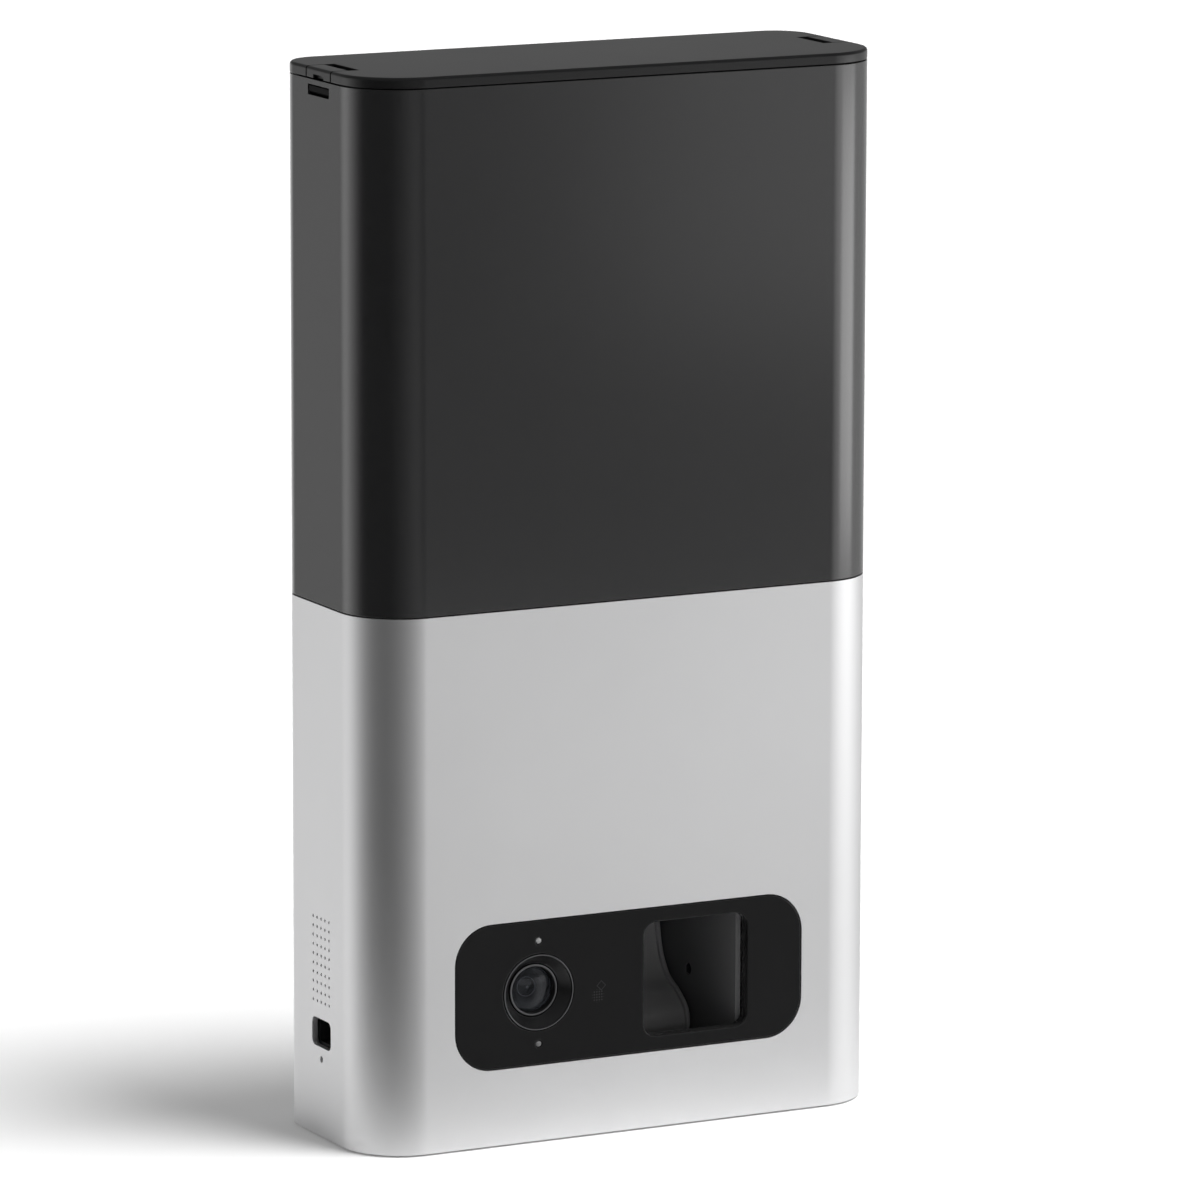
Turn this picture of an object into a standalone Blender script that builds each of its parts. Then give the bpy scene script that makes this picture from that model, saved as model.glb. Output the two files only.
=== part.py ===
"""Treat tossing pet camera: a tall flat box of two metal sleeves that stands on a rubber pad.

The upper sleeve holds the treat bin under a lift-off lid. A star wheel doses treats down a chute,
and a sprung paddle throws them out of the window beside the camera. Metres, +Z up, front at -Y.
"""
import math

import bmesh
import bpy

MM = 0.001

# Driving dimensions of the body
BODY_WIDTH = 145.0 * MM
BODY_DEPTH = 52.0 * MM
BODY_HEIGHT = 270.0 * MM
FRONT_CORNER = 16.0 * MM
REAR_CORNER = 10.0 * MM
SLEEVE_WALL = 1.6 * MM
SEAM_HEIGHT = 136.2 * MM
LID_THICKNESS = 2.7 * MM
PAD_STAND = 0.5 * MM

# Fits that every piece shares
GAP = 0.3 * MM
CLOSE_GAP = 0.15 * MM
RUN_GAP = 0.6 * MM
OVERRUN = 1.0 * MM
WELD = 0.001 * MM

# Facets
CORNER_STEPS = 8
SMALL_CORNER_STEPS = 4
ROUND_STEPS = 20
SMALL_ROUND_STEPS = 12
SCREW_STEPS = 8
COIL_STEPS = 6
SHARP_ANGLE = math.radians(35.0)
FULL_TURN = 2.0 * math.pi
QUARTER = math.pi / 2

HALF_WIDTH = BODY_WIDTH / 2
HALF_DEPTH = BODY_DEPTH / 2
INNER_FRONT = -HALF_DEPTH + SLEEVE_WALL
INNER_BACK = HALF_DEPTH - SLEEVE_WALL
INNER_SIDE = HALF_WIDTH - SLEEVE_WALL
FIT_INSET = SLEEVE_WALL + GAP


def clear_scene():
    for obj in list(bpy.data.objects):
        bpy.data.objects.remove(obj, do_unlink=True)


def new_collection(name):
    group = bpy.data.collections.new(name)
    bpy.context.scene.collection.children.link(group)
    return group


clear_scene()
PARTS = new_collection("treat_tossing_pet_camera")
CUTTERS = new_collection("cutters")


def make_material(name, colour, roughness, metallic=0.0, alpha=1.0):
    mat = bpy.data.materials.new(name)
    mat.use_nodes = True
    shader = mat.node_tree.nodes["Principled BSDF"]
    shader.inputs["Base Color"].default_value = (*colour, 1.0)
    shader.inputs["Roughness"].default_value = roughness
    shader.inputs["Metallic"].default_value = metallic
    shader.inputs["Alpha"].default_value = alpha
    mat.diffuse_color = (*colour, alpha)
    return mat


SILVER = make_material("silver_anodised", (0.62, 0.62, 0.62), 0.38, 1.0)
BLACK_METAL = make_material("black_anodised", (0.045, 0.045, 0.048), 0.42, 0.6)
BLACK_GLOSS = make_material("black_gloss", (0.012, 0.012, 0.013), 0.12)
BLACK_PLASTIC = make_material("black_plastic", (0.03, 0.03, 0.032), 0.55)
GREY_PLASTIC = make_material("grey_plastic", (0.16, 0.16, 0.165), 0.5)
RUBBER = make_material("rubber", (0.025, 0.025, 0.025), 0.85)
SILICONE = make_material("silicone", (0.3, 0.3, 0.31), 0.6)
NYLON = make_material("white_nylon", (0.75, 0.74, 0.7), 0.45)
STEEL = make_material("steel", (0.55, 0.55, 0.56), 0.3, 1.0)
BOARD_GREEN = make_material("circuit_board", (0.02, 0.12, 0.06), 0.45)
LENS_GLASS = make_material("lens_glass", (0.05, 0.05, 0.07), 0.03, 0.0, 0.5)
LIGHT_PIPE = make_material("light_pipe", (0.6, 0.6, 0.6), 0.3)
FLEX_FILM = make_material("flex_film", (0.35, 0.17, 0.04), 0.4)


def round_rect(centre, size, radius, steps=SMALL_CORNER_STEPS):
    """Points of a rectangle with equal round corners, anticlockwise from the lower left."""
    half_u, half_v = size[0] / 2 - radius, size[1] / 2 - radius
    corners = ((-half_u, -half_v), (half_u, -half_v), (half_u, half_v), (-half_u, half_v))
    points = []
    for index, (u, v) in enumerate(corners):
        for step in range(steps + 1):
            angle = math.pi + (index + step / steps) * QUARTER
            points.append((centre[0] + u + radius * math.cos(angle),
                           centre[1] + v + radius * math.sin(angle)))
    return points


def body_outline(inset, steps=CORNER_STEPS):
    """Plan outline of the body, inset from its outer face, anticlockwise from the front left."""
    points = []
    corners = ((-1, -1, FRONT_CORNER), (1, -1, FRONT_CORNER), (1, 1, REAR_CORNER), (-1, 1, REAR_CORNER))
    for index, (side_x, side_y, corner) in enumerate(corners):
        centre_x = side_x * (HALF_WIDTH - corner)
        centre_y = side_y * (HALF_DEPTH - corner)
        radius = corner - inset
        for step in range(steps + 1):
            angle = math.pi + (index + step / steps) * QUARTER
            points.append((centre_x + radius * math.cos(angle), centre_y + radius * math.sin(angle)))
    return points


def circle(centre, radius, steps=SMALL_ROUND_STEPS):
    return [(centre[0] + radius * math.cos(FULL_TURN * step / steps),
             centre[1] + radius * math.sin(FULL_TURN * step / steps)) for step in range(steps)]


def box_outline(low, high):
    return [(low[0], low[1]), (high[0], low[1]), (high[0], high[1]), (low[0], high[1])]


def shade(obj):
    obj.data.shade_smooth()
    obj.data.set_sharp_from_angle(angle=SHARP_ANGLE)


def mesh_from_curve(name, curve, material):
    """Turns a curve object into a closed mesh object in the same place."""
    bpy.context.scene.collection.objects.link(curve)
    graph = bpy.context.evaluated_depsgraph_get()
    mesh = bpy.data.meshes.new_from_object(curve.evaluated_get(graph))
    model = bmesh.new()
    model.from_mesh(mesh)
    bmesh.ops.remove_doubles(model, verts=model.verts, dist=WELD)
    bmesh.ops.recalc_face_normals(model, faces=model.faces)
    model.to_mesh(mesh)
    model.free()
    mesh.name = name
    mesh.materials.clear()
    mesh.materials.append(material)
    location, rotation = curve.location.copy(), curve.rotation_euler.copy()
    bpy.data.objects.remove(curve, do_unlink=True)
    obj = bpy.data.objects.new(name, mesh)
    obj.location = location
    obj.rotation_euler = rotation
    PARTS.objects.link(obj)
    shade(obj)
    return obj


PRISM_TURNS = {"X": (QUARTER, 0.0, QUARTER), "Y": (QUARTER, 0.0, 0.0), "Z": (0.0, 0.0, 0.0)}


def prism(name, loops, start, end, axis="Z", material=BLACK_PLASTIC):
    """Outlines pushed from start to end along an axis; an inner loop leaves a hole.

    The outline's two coordinates are (y, z) on X, (x, z) on Y and (x, y) on Z.
    """
    curve = bpy.data.curves.new(name, "CURVE")
    curve.dimensions = "2D"
    curve.fill_mode = "BOTH"
    curve.extrude = (end - start) / 2
    for points in loops:
        spline = curve.splines.new("POLY")
        spline.points.add(len(points) - 1)
        for point, (u, v) in zip(spline.points, points):
            point.co = (u, v, 0.0, 1.0)
        spline.use_cyclic_u = True
    obj = bpy.data.objects.new(name, curve)
    obj.location["XYZ".index(axis)] = (start + end) / 2
    obj.rotation_euler = PRISM_TURNS[axis]
    return mesh_from_curve(name, obj, material)


def block(name, low, high, material=BLACK_PLASTIC, bevel=0.0, segments=1):
    """A box between two corners, with its edges bevelled if a width is given."""
    mesh = bpy.data.meshes.new(name)
    model = bmesh.new()
    bmesh.ops.create_cube(model, size=1.0)
    bmesh.ops.scale(model, vec=[b - a for a, b in zip(low, high)], verts=model.verts)
    model.to_mesh(mesh)
    model.free()
    mesh.materials.append(material)
    obj = bpy.data.objects.new(name, mesh)
    obj.location = [(a + b) / 2 for a, b in zip(low, high)]
    PARTS.objects.link(obj)
    if bevel:
        add_bevel(obj, bevel, segments)
    return obj


def add_bevel(obj, width, segments=1):
    modifier = obj.modifiers.new("edge_round", "BEVEL")
    modifier.width = width
    modifier.segments = segments
    modifier.limit_method = "ANGLE"
    modifier.angle_limit = SHARP_ANGLE


TURNED_TURNS = {"X": (0.0, QUARTER, 0.0), "FRONT": (QUARTER, 0.0, 0.0), "Z": (0.0, 0.0, 0.0)}


def turned(name, profile, centre, axis="Z", material=BLACK_PLASTIC, steps=ROUND_STEPS):
    """A profile of (radius, place along the axis) points, turned about the axis.

    The profile runs down its outer side. The axis is X, Z, or FRONT for -Y.
    """
    mesh = bpy.data.meshes.new(name)
    points = [(radius, 0.0, place) for radius, place in profile]
    edges = [(index, index + 1) for index in range(len(points) - 1)]
    if profile[0][0] > 0.0:
        edges.append((len(points) - 1, 0))
    mesh.from_pydata(points, edges, [])
    mesh.materials.append(material)
    obj = bpy.data.objects.new(name, mesh)
    obj.location = centre
    obj.rotation_euler = TURNED_TURNS[axis]
    PARTS.objects.link(obj)
    screw = obj.modifiers.new("turn", "SCREW")
    screw.steps = steps
    screw.render_steps = steps
    screw.use_merge_vertices = True
    screw.merge_threshold = WELD
    screw.use_smooth_shade = True
    return obj


def rod(name, centre, radius, start, end, axis="Z", material=STEEL, steps=SMALL_ROUND_STEPS):
    """A plain cylinder from start to end along X, Y or Z; centre holds its other two coordinates."""
    mesh = bpy.data.meshes.new(name)
    model = bmesh.new()
    bmesh.ops.create_cone(model, cap_ends=True, segments=steps, radius1=radius, radius2=radius,
                          depth=end - start)
    model.to_mesh(mesh)
    model.free()
    mesh.materials.append(material)
    obj = bpy.data.objects.new(name, mesh)
    middle = (start + end) / 2
    places = {"X": (middle, *centre), "Y": (centre[0], middle, centre[1]), "Z": (*centre, middle)}
    obj.location = places[axis]
    obj.rotation_euler = PRISM_TURNS[axis]
    PARTS.objects.link(obj)
    shade(obj)
    return obj


def coil(name, centre, radius, wire, start, end, turns, axis="X", material=STEEL):
    """A spring wound about an axis through centre, from start to end."""
    per_turn = COIL_STEPS
    curve = bpy.data.curves.new(name, "CURVE")
    curve.dimensions = "3D"
    curve.bevel_depth = wire
    curve.bevel_resolution = 1
    curve.use_fill_caps = True
    spline = curve.splines.new("POLY")
    count = turns * per_turn
    spline.points.add(count)
    for step in range(count + 1):
        angle = FULL_TURN * step / per_turn
        along = start + (end - start) * step / count
        across = (centre[0] + radius * math.cos(angle), centre[1] + radius * math.sin(angle))
        place = (along, *across) if axis == "X" else (*across, along)
        spline.points[step].co = (*place, 1.0)
    obj = bpy.data.objects.new(name, curve)
    return mesh_from_curve(name, obj, material)


def to_cutters(obj):
    PARTS.objects.unlink(obj)
    CUTTERS.objects.link(obj)
    obj.hide_render = True
    obj.display_type = "WIRE"


def combine(target, others, operation):
    for other in others:
        modifier = target.modifiers.new(other.name, "BOOLEAN")
        modifier.operation = operation
        modifier.solver = "EXACT"
        modifier.object = other
        to_cutters(other)
    return target


def cut(target, *others):
    return combine(target, others, "DIFFERENCE")


def fuse(target, *others):
    return combine(target, others, "UNION")


def joint_empty(name, place, pieces):
    """An empty on a joint's axis that carries the pieces of the moving body."""
    empty = bpy.data.objects.new(name, None)
    empty.location = place
    PARTS.objects.link(empty)
    for piece in pieces:
        piece.parent = empty
        piece.matrix_parent_inverse.translation = [-value for value in place]
    return empty


# Base: the rubber pad stands the body half a millimetre proud of the lower sleeve
PAD_THICKNESS = 1.6 * MM
BASE_THICKNESS = 3.5 * MM
CHASSIS_WALL = 2.0 * MM
BASE_BOTTOM = PAD_THICKNESS + GAP
BASE_TOP = BASE_BOTTOM + BASE_THICKNESS
FLOOR_BOTTOM = BASE_TOP + GAP
FLOOR_TOP = FLOOR_BOTTOM + CHASSIS_WALL

BASE_SCREW_INSET_X = 14.5 * MM
BASE_SCREW_INSET_Y = 9.5 * MM
SCREW_HEAD_RADIUS = 2.5 * MM
SCREW_HEAD_HEIGHT = 1.5 * MM
SCREW_RADIUS = 1.1 * MM
BASE_SCREW_LENGTH = 8.0 * MM
BOSS_WALL = 1.8 * MM
BOSS_HEIGHT = 3.0 * MM
DRIVER_SOCKET_RADIUS = 0.9 * MM
DRIVER_SOCKET_DEPTH = 0.8 * MM
POINT_UP = (math.pi, 0.0, 0.0)
POINT_FRONT = (-QUARTER, 0.0, 0.0)
POINT_BACK = (QUARTER, 0.0, 0.0)

BASE_SCREW_PLACES = [(side_x * (HALF_WIDTH - BASE_SCREW_INSET_X), side_y * (HALF_DEPTH - BASE_SCREW_INSET_Y))
                     for side_x in (-1, 1) for side_y in (-1, 1)]


def make_foot_pad():
    return prism("foot_pad", [body_outline(FIT_INSET)], 0.0, PAD_THICKNESS, material=RUBBER)


def screw(name, place, turn, length):
    """A pan head screw with a hexagon socket. place is on its axis at the outer face of the head.

    Before its turn the screw points down, with its head at the top.
    """
    head = SCREW_HEAD_HEIGHT
    chamfer = head / 3
    profile = [(0.0, -DRIVER_SOCKET_DEPTH), (DRIVER_SOCKET_RADIUS, -DRIVER_SOCKET_DEPTH)]
    profile += [(DRIVER_SOCKET_RADIUS, 0.0), (SCREW_HEAD_RADIUS - chamfer, 0.0)]
    profile += [(SCREW_HEAD_RADIUS, -chamfer), (SCREW_HEAD_RADIUS, -head), (SCREW_RADIUS, -head)]
    profile += [(SCREW_RADIUS, -length), (0.0, -length)]
    fastener = turned(name, profile, place, "Z", STEEL, SCREW_STEPS)
    fastener.rotation_euler = turn
    return fastener


def make_base_cover():
    cover = prism("base_cover", [body_outline(FIT_INSET)], BASE_BOTTOM, BASE_TOP)
    head_room = SCREW_HEAD_HEIGHT + 2 * GAP
    for index, place in enumerate(BASE_SCREW_PLACES):
        recess = rod(f"cut_base_recess_{index}", place, SCREW_HEAD_RADIUS + GAP, BASE_BOTTOM - OVERRUN,
                     BASE_BOTTOM + head_room)
        hole = rod(f"cut_base_hole_{index}", place, SCREW_RADIUS + GAP, BASE_BOTTOM, BASE_TOP + OVERRUN)
        cut(cover, recess, hole)
    return cover


def make_base_screws():
    for index, (x, y) in enumerate(BASE_SCREW_PLACES):
        screw(f"base_screw_{index + 1}", (x, y, BASE_BOTTOM + GAP), POINT_UP, BASE_SCREW_LENGTH)


# Front panel: a gloss plate in the sleeve's window with a wider flange behind the wall
PANEL_SIDE_MARGIN = 23.7 * MM
PANEL_HEIGHT = 37.0 * MM
PANEL_CORNER = 10.0 * MM
PANEL_CENTRE_HEIGHT = 38.6 * MM
PANEL_FLANGE = 2.6 * MM
PANEL_FLANGE_THICKNESS = 1.6 * MM
CAMERA_X = -25.6 * MM
WINDOW_X = 18.7 * MM
WINDOW_WIDTH = 29.4 * MM
WINDOW_HEIGHT = 29.4 * MM
WINDOW_CORNER = 3.5 * MM
RING_RADIUS = 9.7 * MM
DOT_RADIUS = 0.75 * MM
DOT_SPREAD = 13.2 * MM
PANEL_WIDTH = BODY_WIDTH - 2 * PANEL_SIDE_MARGIN
PANEL_BACK = INNER_FRONT + GAP + PANEL_FLANGE_THICKNESS

# Camera: ring, barrel with its glass, mount block and board behind the panel
BARREL_RADIUS = 6.6 * MM
BARREL_RECESS = 3.0 * MM
RING_LIP = 0.7 * MM
RING_DEPTH = 6.0 * MM
BARREL_LENGTH = 16.0 * MM
BARREL_NECK_RADIUS = 5.0 * MM
BARREL_NECK_LENGTH = 5.5 * MM
BARREL_RIM = 0.8 * MM
GLASS_DEPTH = 2.0 * MM
GLASS_THICKNESS = 1.3 * MM
GLASS_CROWN = 0.5 * MM
PUPIL_RADIUS = 2.2 * MM
MOUNT_WIDTH = 14.0 * MM
BOARD_THICKNESS = 1.6 * MM
CAMERA_BOARD_WIDTH = 30.0 * MM
CAMERA_BOARD_HEIGHT = 33.0 * MM
POST_RADIUS = 2.6 * MM
POST_INSET = 3.2 * MM
CAMERA_SCREW_LENGTH = 7.0 * MM

PANEL_FRONT = -HALF_DEPTH
BARREL_FRONT = PANEL_FRONT + BARREL_RECESS
BARREL_BACK = BARREL_FRONT + BARREL_LENGTH
CAMERA_BOARD_FRONT = BARREL_BACK + 2 * GAP
CAMERA_BOARD_BACK = CAMERA_BOARD_FRONT + BOARD_THICKNESS
CAMERA_POSTS = [(CAMERA_X + side * (CAMERA_BOARD_WIDTH / 2 - POST_INSET),
                 PANEL_CENTRE_HEIGHT + side * (CAMERA_BOARD_HEIGHT / 2 - POST_INSET)) for side in (-1, 1)]

# Night light: one diode on its own small board behind the panel
NIGHT_X = -8.1 * MM
NIGHT_DIODE = 3.0 * MM
NIGHT_DIODE_HEIGHT = 2.0 * MM
NIGHT_BOARD_WIDTH = 8.0 * MM
NIGHT_BOARD_HEIGHT = 17.0 * MM
NIGHT_BOARD_THICKNESS = 1.2 * MM
NIGHT_POST_RADIUS = 1.3 * MM
NIGHT_BOARD_FRONT = PANEL_BACK + NIGHT_DIODE_HEIGHT + 2 * GAP
NIGHT_POSTS = [(NIGHT_X, PANEL_CENTRE_HEIGHT + side * (NIGHT_BOARD_HEIGHT / 2 - 2 * NIGHT_POST_RADIUS))
               for side in (-1, 1)]


def make_front_panel():
    face = round_rect((0.0, PANEL_CENTRE_HEIGHT), (PANEL_WIDTH, PANEL_HEIGHT), PANEL_CORNER, CORNER_STEPS)
    flange = round_rect((0.0, PANEL_CENTRE_HEIGHT), (PANEL_WIDTH + 2 * PANEL_FLANGE,
                        PANEL_HEIGHT + 2 * PANEL_FLANGE), PANEL_CORNER + PANEL_FLANGE, SMALL_CORNER_STEPS)
    panel = prism("front_panel", [face], PANEL_FRONT, PANEL_BACK - WELD, "Y", BLACK_GLOSS)
    fuse(panel, prism("fuse_panel_flange", [flange], INNER_FRONT + GAP, PANEL_BACK, "Y"))
    for index, place in enumerate(CAMERA_POSTS):
        post = rod(f"fuse_camera_post_{index}", place, POST_RADIUS, PANEL_BACK - GAP,
                   CAMERA_BOARD_FRONT - GAP, "Y")
        pilot = rod(f"cut_camera_pilot_{index}", place, SCREW_RADIUS + CLOSE_GAP,
                    CAMERA_BOARD_BACK - CAMERA_SCREW_LENGTH, CAMERA_BOARD_FRONT, "Y")
        fuse(panel, post)
        cut(panel, pilot)
    for index, place in enumerate(NIGHT_POSTS):
        fuse(panel, rod(f"fuse_night_post_{index}", place, NIGHT_POST_RADIUS, PANEL_BACK - GAP,
                        NIGHT_BOARD_FRONT - GAP, "Y"))
    window = round_rect((WINDOW_X, PANEL_CENTRE_HEIGHT), (WINDOW_WIDTH, WINDOW_HEIGHT), WINDOW_CORNER)
    cut(panel, prism("cut_window", [window], PANEL_FRONT - OVERRUN, PANEL_BACK + OVERRUN, "Y"))
    cut(panel, rod("cut_camera_hole", (CAMERA_X, PANEL_CENTRE_HEIGHT), RING_RADIUS + CLOSE_GAP,
                   PANEL_FRONT - OVERRUN, PANEL_BACK + OVERRUN, "Y", steps=ROUND_STEPS))
    for side in (-1, 1):
        place = (CAMERA_X, PANEL_CENTRE_HEIGHT + side * DOT_SPREAD)
        cut(panel, rod(f"cut_dot_{side}", place, DOT_RADIUS + CLOSE_GAP, PANEL_FRONT - OVERRUN,
                       PANEL_BACK + OVERRUN, "Y", steps=SMALL_ROUND_STEPS))
    return panel


def make_dot(name, side):
    """A moulded light guide: a thin stem in the panel and a collar behind it."""
    collar_radius = 2 * DOT_RADIUS
    stem_back = PANEL_BACK + GAP
    profile = [(0.0, -PANEL_FRONT), (DOT_RADIUS, -PANEL_FRONT), (DOT_RADIUS, -stem_back)]
    profile += [(collar_radius, -stem_back), (collar_radius, -stem_back - 2 * DOT_RADIUS)]
    profile += [(0.0, -stem_back - 2 * DOT_RADIUS)]
    place = (CAMERA_X, 0.0, PANEL_CENTRE_HEIGHT + side * DOT_SPREAD)
    return turned(name, profile, place, "FRONT", LIGHT_PIPE, SMALL_ROUND_STEPS)


def make_camera():
    centre = (CAMERA_X, 0.0, PANEL_CENTRE_HEIGHT)
    ring_front = -PANEL_FRONT
    ring_inner = BARREL_RADIUS + GAP
    ring_profile = [(RING_RADIUS - RING_LIP, ring_front), (RING_RADIUS, ring_front)]
    ring_profile += [(RING_RADIUS, ring_front - RING_DEPTH), (ring_inner, ring_front - RING_DEPTH)]
    ring_profile += [(ring_inner, -BARREL_FRONT)]
    turned("camera_ring", ring_profile, centre, "FRONT", BLACK_PLASTIC)
    glass_seat = -BARREL_FRONT - GLASS_DEPTH
    glass_bore = BARREL_RADIUS - BARREL_RIM
    neck_start = -BARREL_BACK + BARREL_NECK_LENGTH
    barrel = [(glass_bore, -BARREL_FRONT), (BARREL_RADIUS, -BARREL_FRONT), (BARREL_RADIUS, neck_start)]
    barrel += [(BARREL_NECK_RADIUS, neck_start), (BARREL_NECK_RADIUS, -BARREL_BACK)]
    barrel += [(PUPIL_RADIUS, -BARREL_BACK), (PUPIL_RADIUS, glass_seat - GLASS_DEPTH)]
    barrel += [(glass_bore - BARREL_RIM, glass_seat), (glass_bore, glass_seat)]
    turned("lens_barrel", barrel, centre, "FRONT", BLACK_PLASTIC)
    glass_radius = glass_bore - CLOSE_GAP
    glass_back = glass_seat + CLOSE_GAP
    glass_edge = glass_back + GLASS_THICKNESS - GLASS_CROWN
    glass = [(0.0, glass_edge + GLASS_CROWN)]
    crown_steps = 4
    for step in range(1, crown_steps + 1):
        share = step / crown_steps
        glass.append((glass_radius * share, glass_edge + GLASS_CROWN * (1.0 - share * share)))
    glass += [(glass_radius, glass_back), (0.0, glass_back)]
    turned("lens_glass", glass, centre, "FRONT", LENS_GLASS)
    half = MOUNT_WIDTH / 2
    neck_place = BARREL_BACK - BARREL_NECK_LENGTH + GAP
    mount = block("lens_mount", (CAMERA_X - half, neck_place, PANEL_CENTRE_HEIGHT - half),
                  (CAMERA_X + half, CAMERA_BOARD_FRONT - GAP, PANEL_CENTRE_HEIGHT + half), BLACK_PLASTIC)
    cut(mount, rod("cut_mount_bore", (CAMERA_X, PANEL_CENTRE_HEIGHT), BARREL_NECK_RADIUS + CLOSE_GAP,
                   neck_place - OVERRUN, CAMERA_BOARD_FRONT + OVERRUN, "Y", steps=ROUND_STEPS))
    outline = round_rect((CAMERA_X, PANEL_CENTRE_HEIGHT), (CAMERA_BOARD_WIDTH, CAMERA_BOARD_HEIGHT),
                         BOARD_THICKNESS, 1)
    holes = [circle(place, SCREW_RADIUS + GAP) for place in CAMERA_POSTS]
    prism("camera_board", [outline, *holes], CAMERA_BOARD_FRONT, CAMERA_BOARD_BACK, "Y", BOARD_GREEN)
    for index, (x, z) in enumerate(CAMERA_POSTS):
        head = CAMERA_BOARD_BACK + GAP + SCREW_HEAD_HEIGHT
        screw(f"camera_screw_{index + 1}", (x, head, z), POINT_FRONT, CAMERA_SCREW_LENGTH)


def make_night_light():
    outline = round_rect((NIGHT_X, PANEL_CENTRE_HEIGHT), (NIGHT_BOARD_WIDTH, NIGHT_BOARD_HEIGHT),
                         NIGHT_POST_RADIUS, 1)
    prism("night_light_board", [outline], NIGHT_BOARD_FRONT, NIGHT_BOARD_FRONT + NIGHT_BOARD_THICKNESS,
          "Y", BOARD_GREEN)
    diode = circle((NIGHT_X, PANEL_CENTRE_HEIGHT), NIGHT_DIODE * math.sqrt(0.5), 4)
    prism("night_light", [diode], PANEL_BACK + GAP, PANEL_BACK + GAP + NIGHT_DIODE_HEIGHT, "Y", LENS_GLASS)


# Lower sleeve: an extruded aluminium tube with the panel's window, speaker holes and the power port
GRILLE_COLUMNS = 5
GRILLE_ROWS = 10
GRILLE_PITCH_Y = 2.3 * MM
GRILLE_PITCH_Z = 2.37 * MM
GRILLE_HOLE_RADIUS = 0.55 * MM
GRILLE_CENTRE_Y = 2.0 * MM
GRILLE_HOLE_SIDES = 6
PORT_WIDTH = 10.8 * MM
PORT_HEIGHT = 7.2 * MM
PORT_CORNER = 1.6 * MM
RESET_HOLE_RADIUS = 0.6 * MM
RESET_HEIGHT = 20.4 * MM
PORT_RISE = 6.7 * MM
GRILLE_RISE = 18.7 * MM
PORT_CENTRE_HEIGHT = RESET_HEIGHT + PORT_RISE
GRILLE_CENTRE_HEIGHT = PORT_CENTRE_HEIGHT + GRILLE_RISE
LOWER_TOP = SEAM_HEIGHT
UPPER_BOTTOM = SEAM_HEIGHT + GAP


def make_lower_sleeve():
    sleeve = prism("lower_sleeve", [body_outline(0.0), body_outline(SLEEVE_WALL)], PAD_STAND, LOWER_TOP,
                   material=SILVER)
    opening = round_rect((0.0, PANEL_CENTRE_HEIGHT), (PANEL_WIDTH + 2 * CLOSE_GAP,
                         PANEL_HEIGHT + 2 * CLOSE_GAP), PANEL_CORNER + CLOSE_GAP, CORNER_STEPS)
    cut(sleeve, prism("cut_panel_opening", [opening], -HALF_DEPTH - OVERRUN, INNER_FRONT + OVERRUN, "Y"))
    port = round_rect((GRILLE_CENTRE_Y, PORT_CENTRE_HEIGHT), (PORT_WIDTH, PORT_HEIGHT), PORT_CORNER)
    cut(sleeve, prism("cut_port", [port], -HALF_WIDTH - OVERRUN, -INNER_SIDE + OVERRUN, "X"))
    cut(sleeve, rod("cut_reset_hole", (GRILLE_CENTRE_Y, RESET_HEIGHT), RESET_HOLE_RADIUS,
                    -HALF_WIDTH - OVERRUN, -INNER_SIDE + OVERRUN, "X"))
    mesh = bpy.data.meshes.new("cut_grille")
    model = bmesh.new()
    for column in range(GRILLE_COLUMNS):
        for row in range(GRILLE_ROWS):
            y = GRILLE_CENTRE_Y + (column - (GRILLE_COLUMNS - 1) / 2) * GRILLE_PITCH_Y
            z = GRILLE_CENTRE_HEIGHT + (row - (GRILLE_ROWS - 1) / 2) * GRILLE_PITCH_Z
            drill = bmesh.ops.create_cone(model, cap_ends=True, segments=GRILLE_HOLE_SIDES,
                                          radius1=GRILLE_HOLE_RADIUS, radius2=GRILLE_HOLE_RADIUS,
                                          depth=SLEEVE_WALL + 2 * OVERRUN)
            bmesh.ops.translate(model, vec=(y, z, 0.0), verts=drill["verts"])
    model.to_mesh(mesh)
    model.free()
    drills = bpy.data.objects.new("cut_grille", mesh)
    drills.location = (-HALF_WIDTH + SLEEVE_WALL / 2, 0.0, 0.0)
    drills.rotation_euler = PRISM_TURNS["X"]
    PARTS.objects.link(drills)
    return cut(sleeve, drills)


# Lid: a plate with a skirt inside the upper sleeve, a liner, a seal and a sprung latch at each end
LID_BOTTOM = BODY_HEIGHT - LID_THICKNESS
UPPER_TOP = LID_BOTTOM - GAP
LID_EDGE_ROUND = 0.8 * MM
SKIRT_WALL = 1.4 * MM
SKIRT_DROP = 7.0 * MM
LINER_THICKNESS = 1.4 * MM
SEAL_THICKNESS = 0.8 * MM
SEAL_WIDTH = 2.2 * MM
LATCH_Y = 1.7 * MM
LATCH_TAB_WIDTH = 13.4 * MM
LATCH_TAB_LENGTH = 4.9 * MM
LATCH_TRAVEL = 2.3 * MM
LATCH_SIDE_GAP = 0.5 * MM
LATCH_WEB_LENGTH = 12.5 * MM
LATCH_TOOTH_WIDTH = 11.4 * MM
LATCH_TOOTH_HEIGHT = 2.0 * MM
LATCH_TOOTH_DROP = 2.6 * MM
LATCH_SPRING_LENGTH = 8.0 * MM
LATCH_SPRING_RADIUS = 1.6 * MM
LATCH_SPRING_WIRE = 0.25 * MM
LATCH_SPRING_TURNS = 5
RIB_WALL = 1.4 * MM

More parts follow.
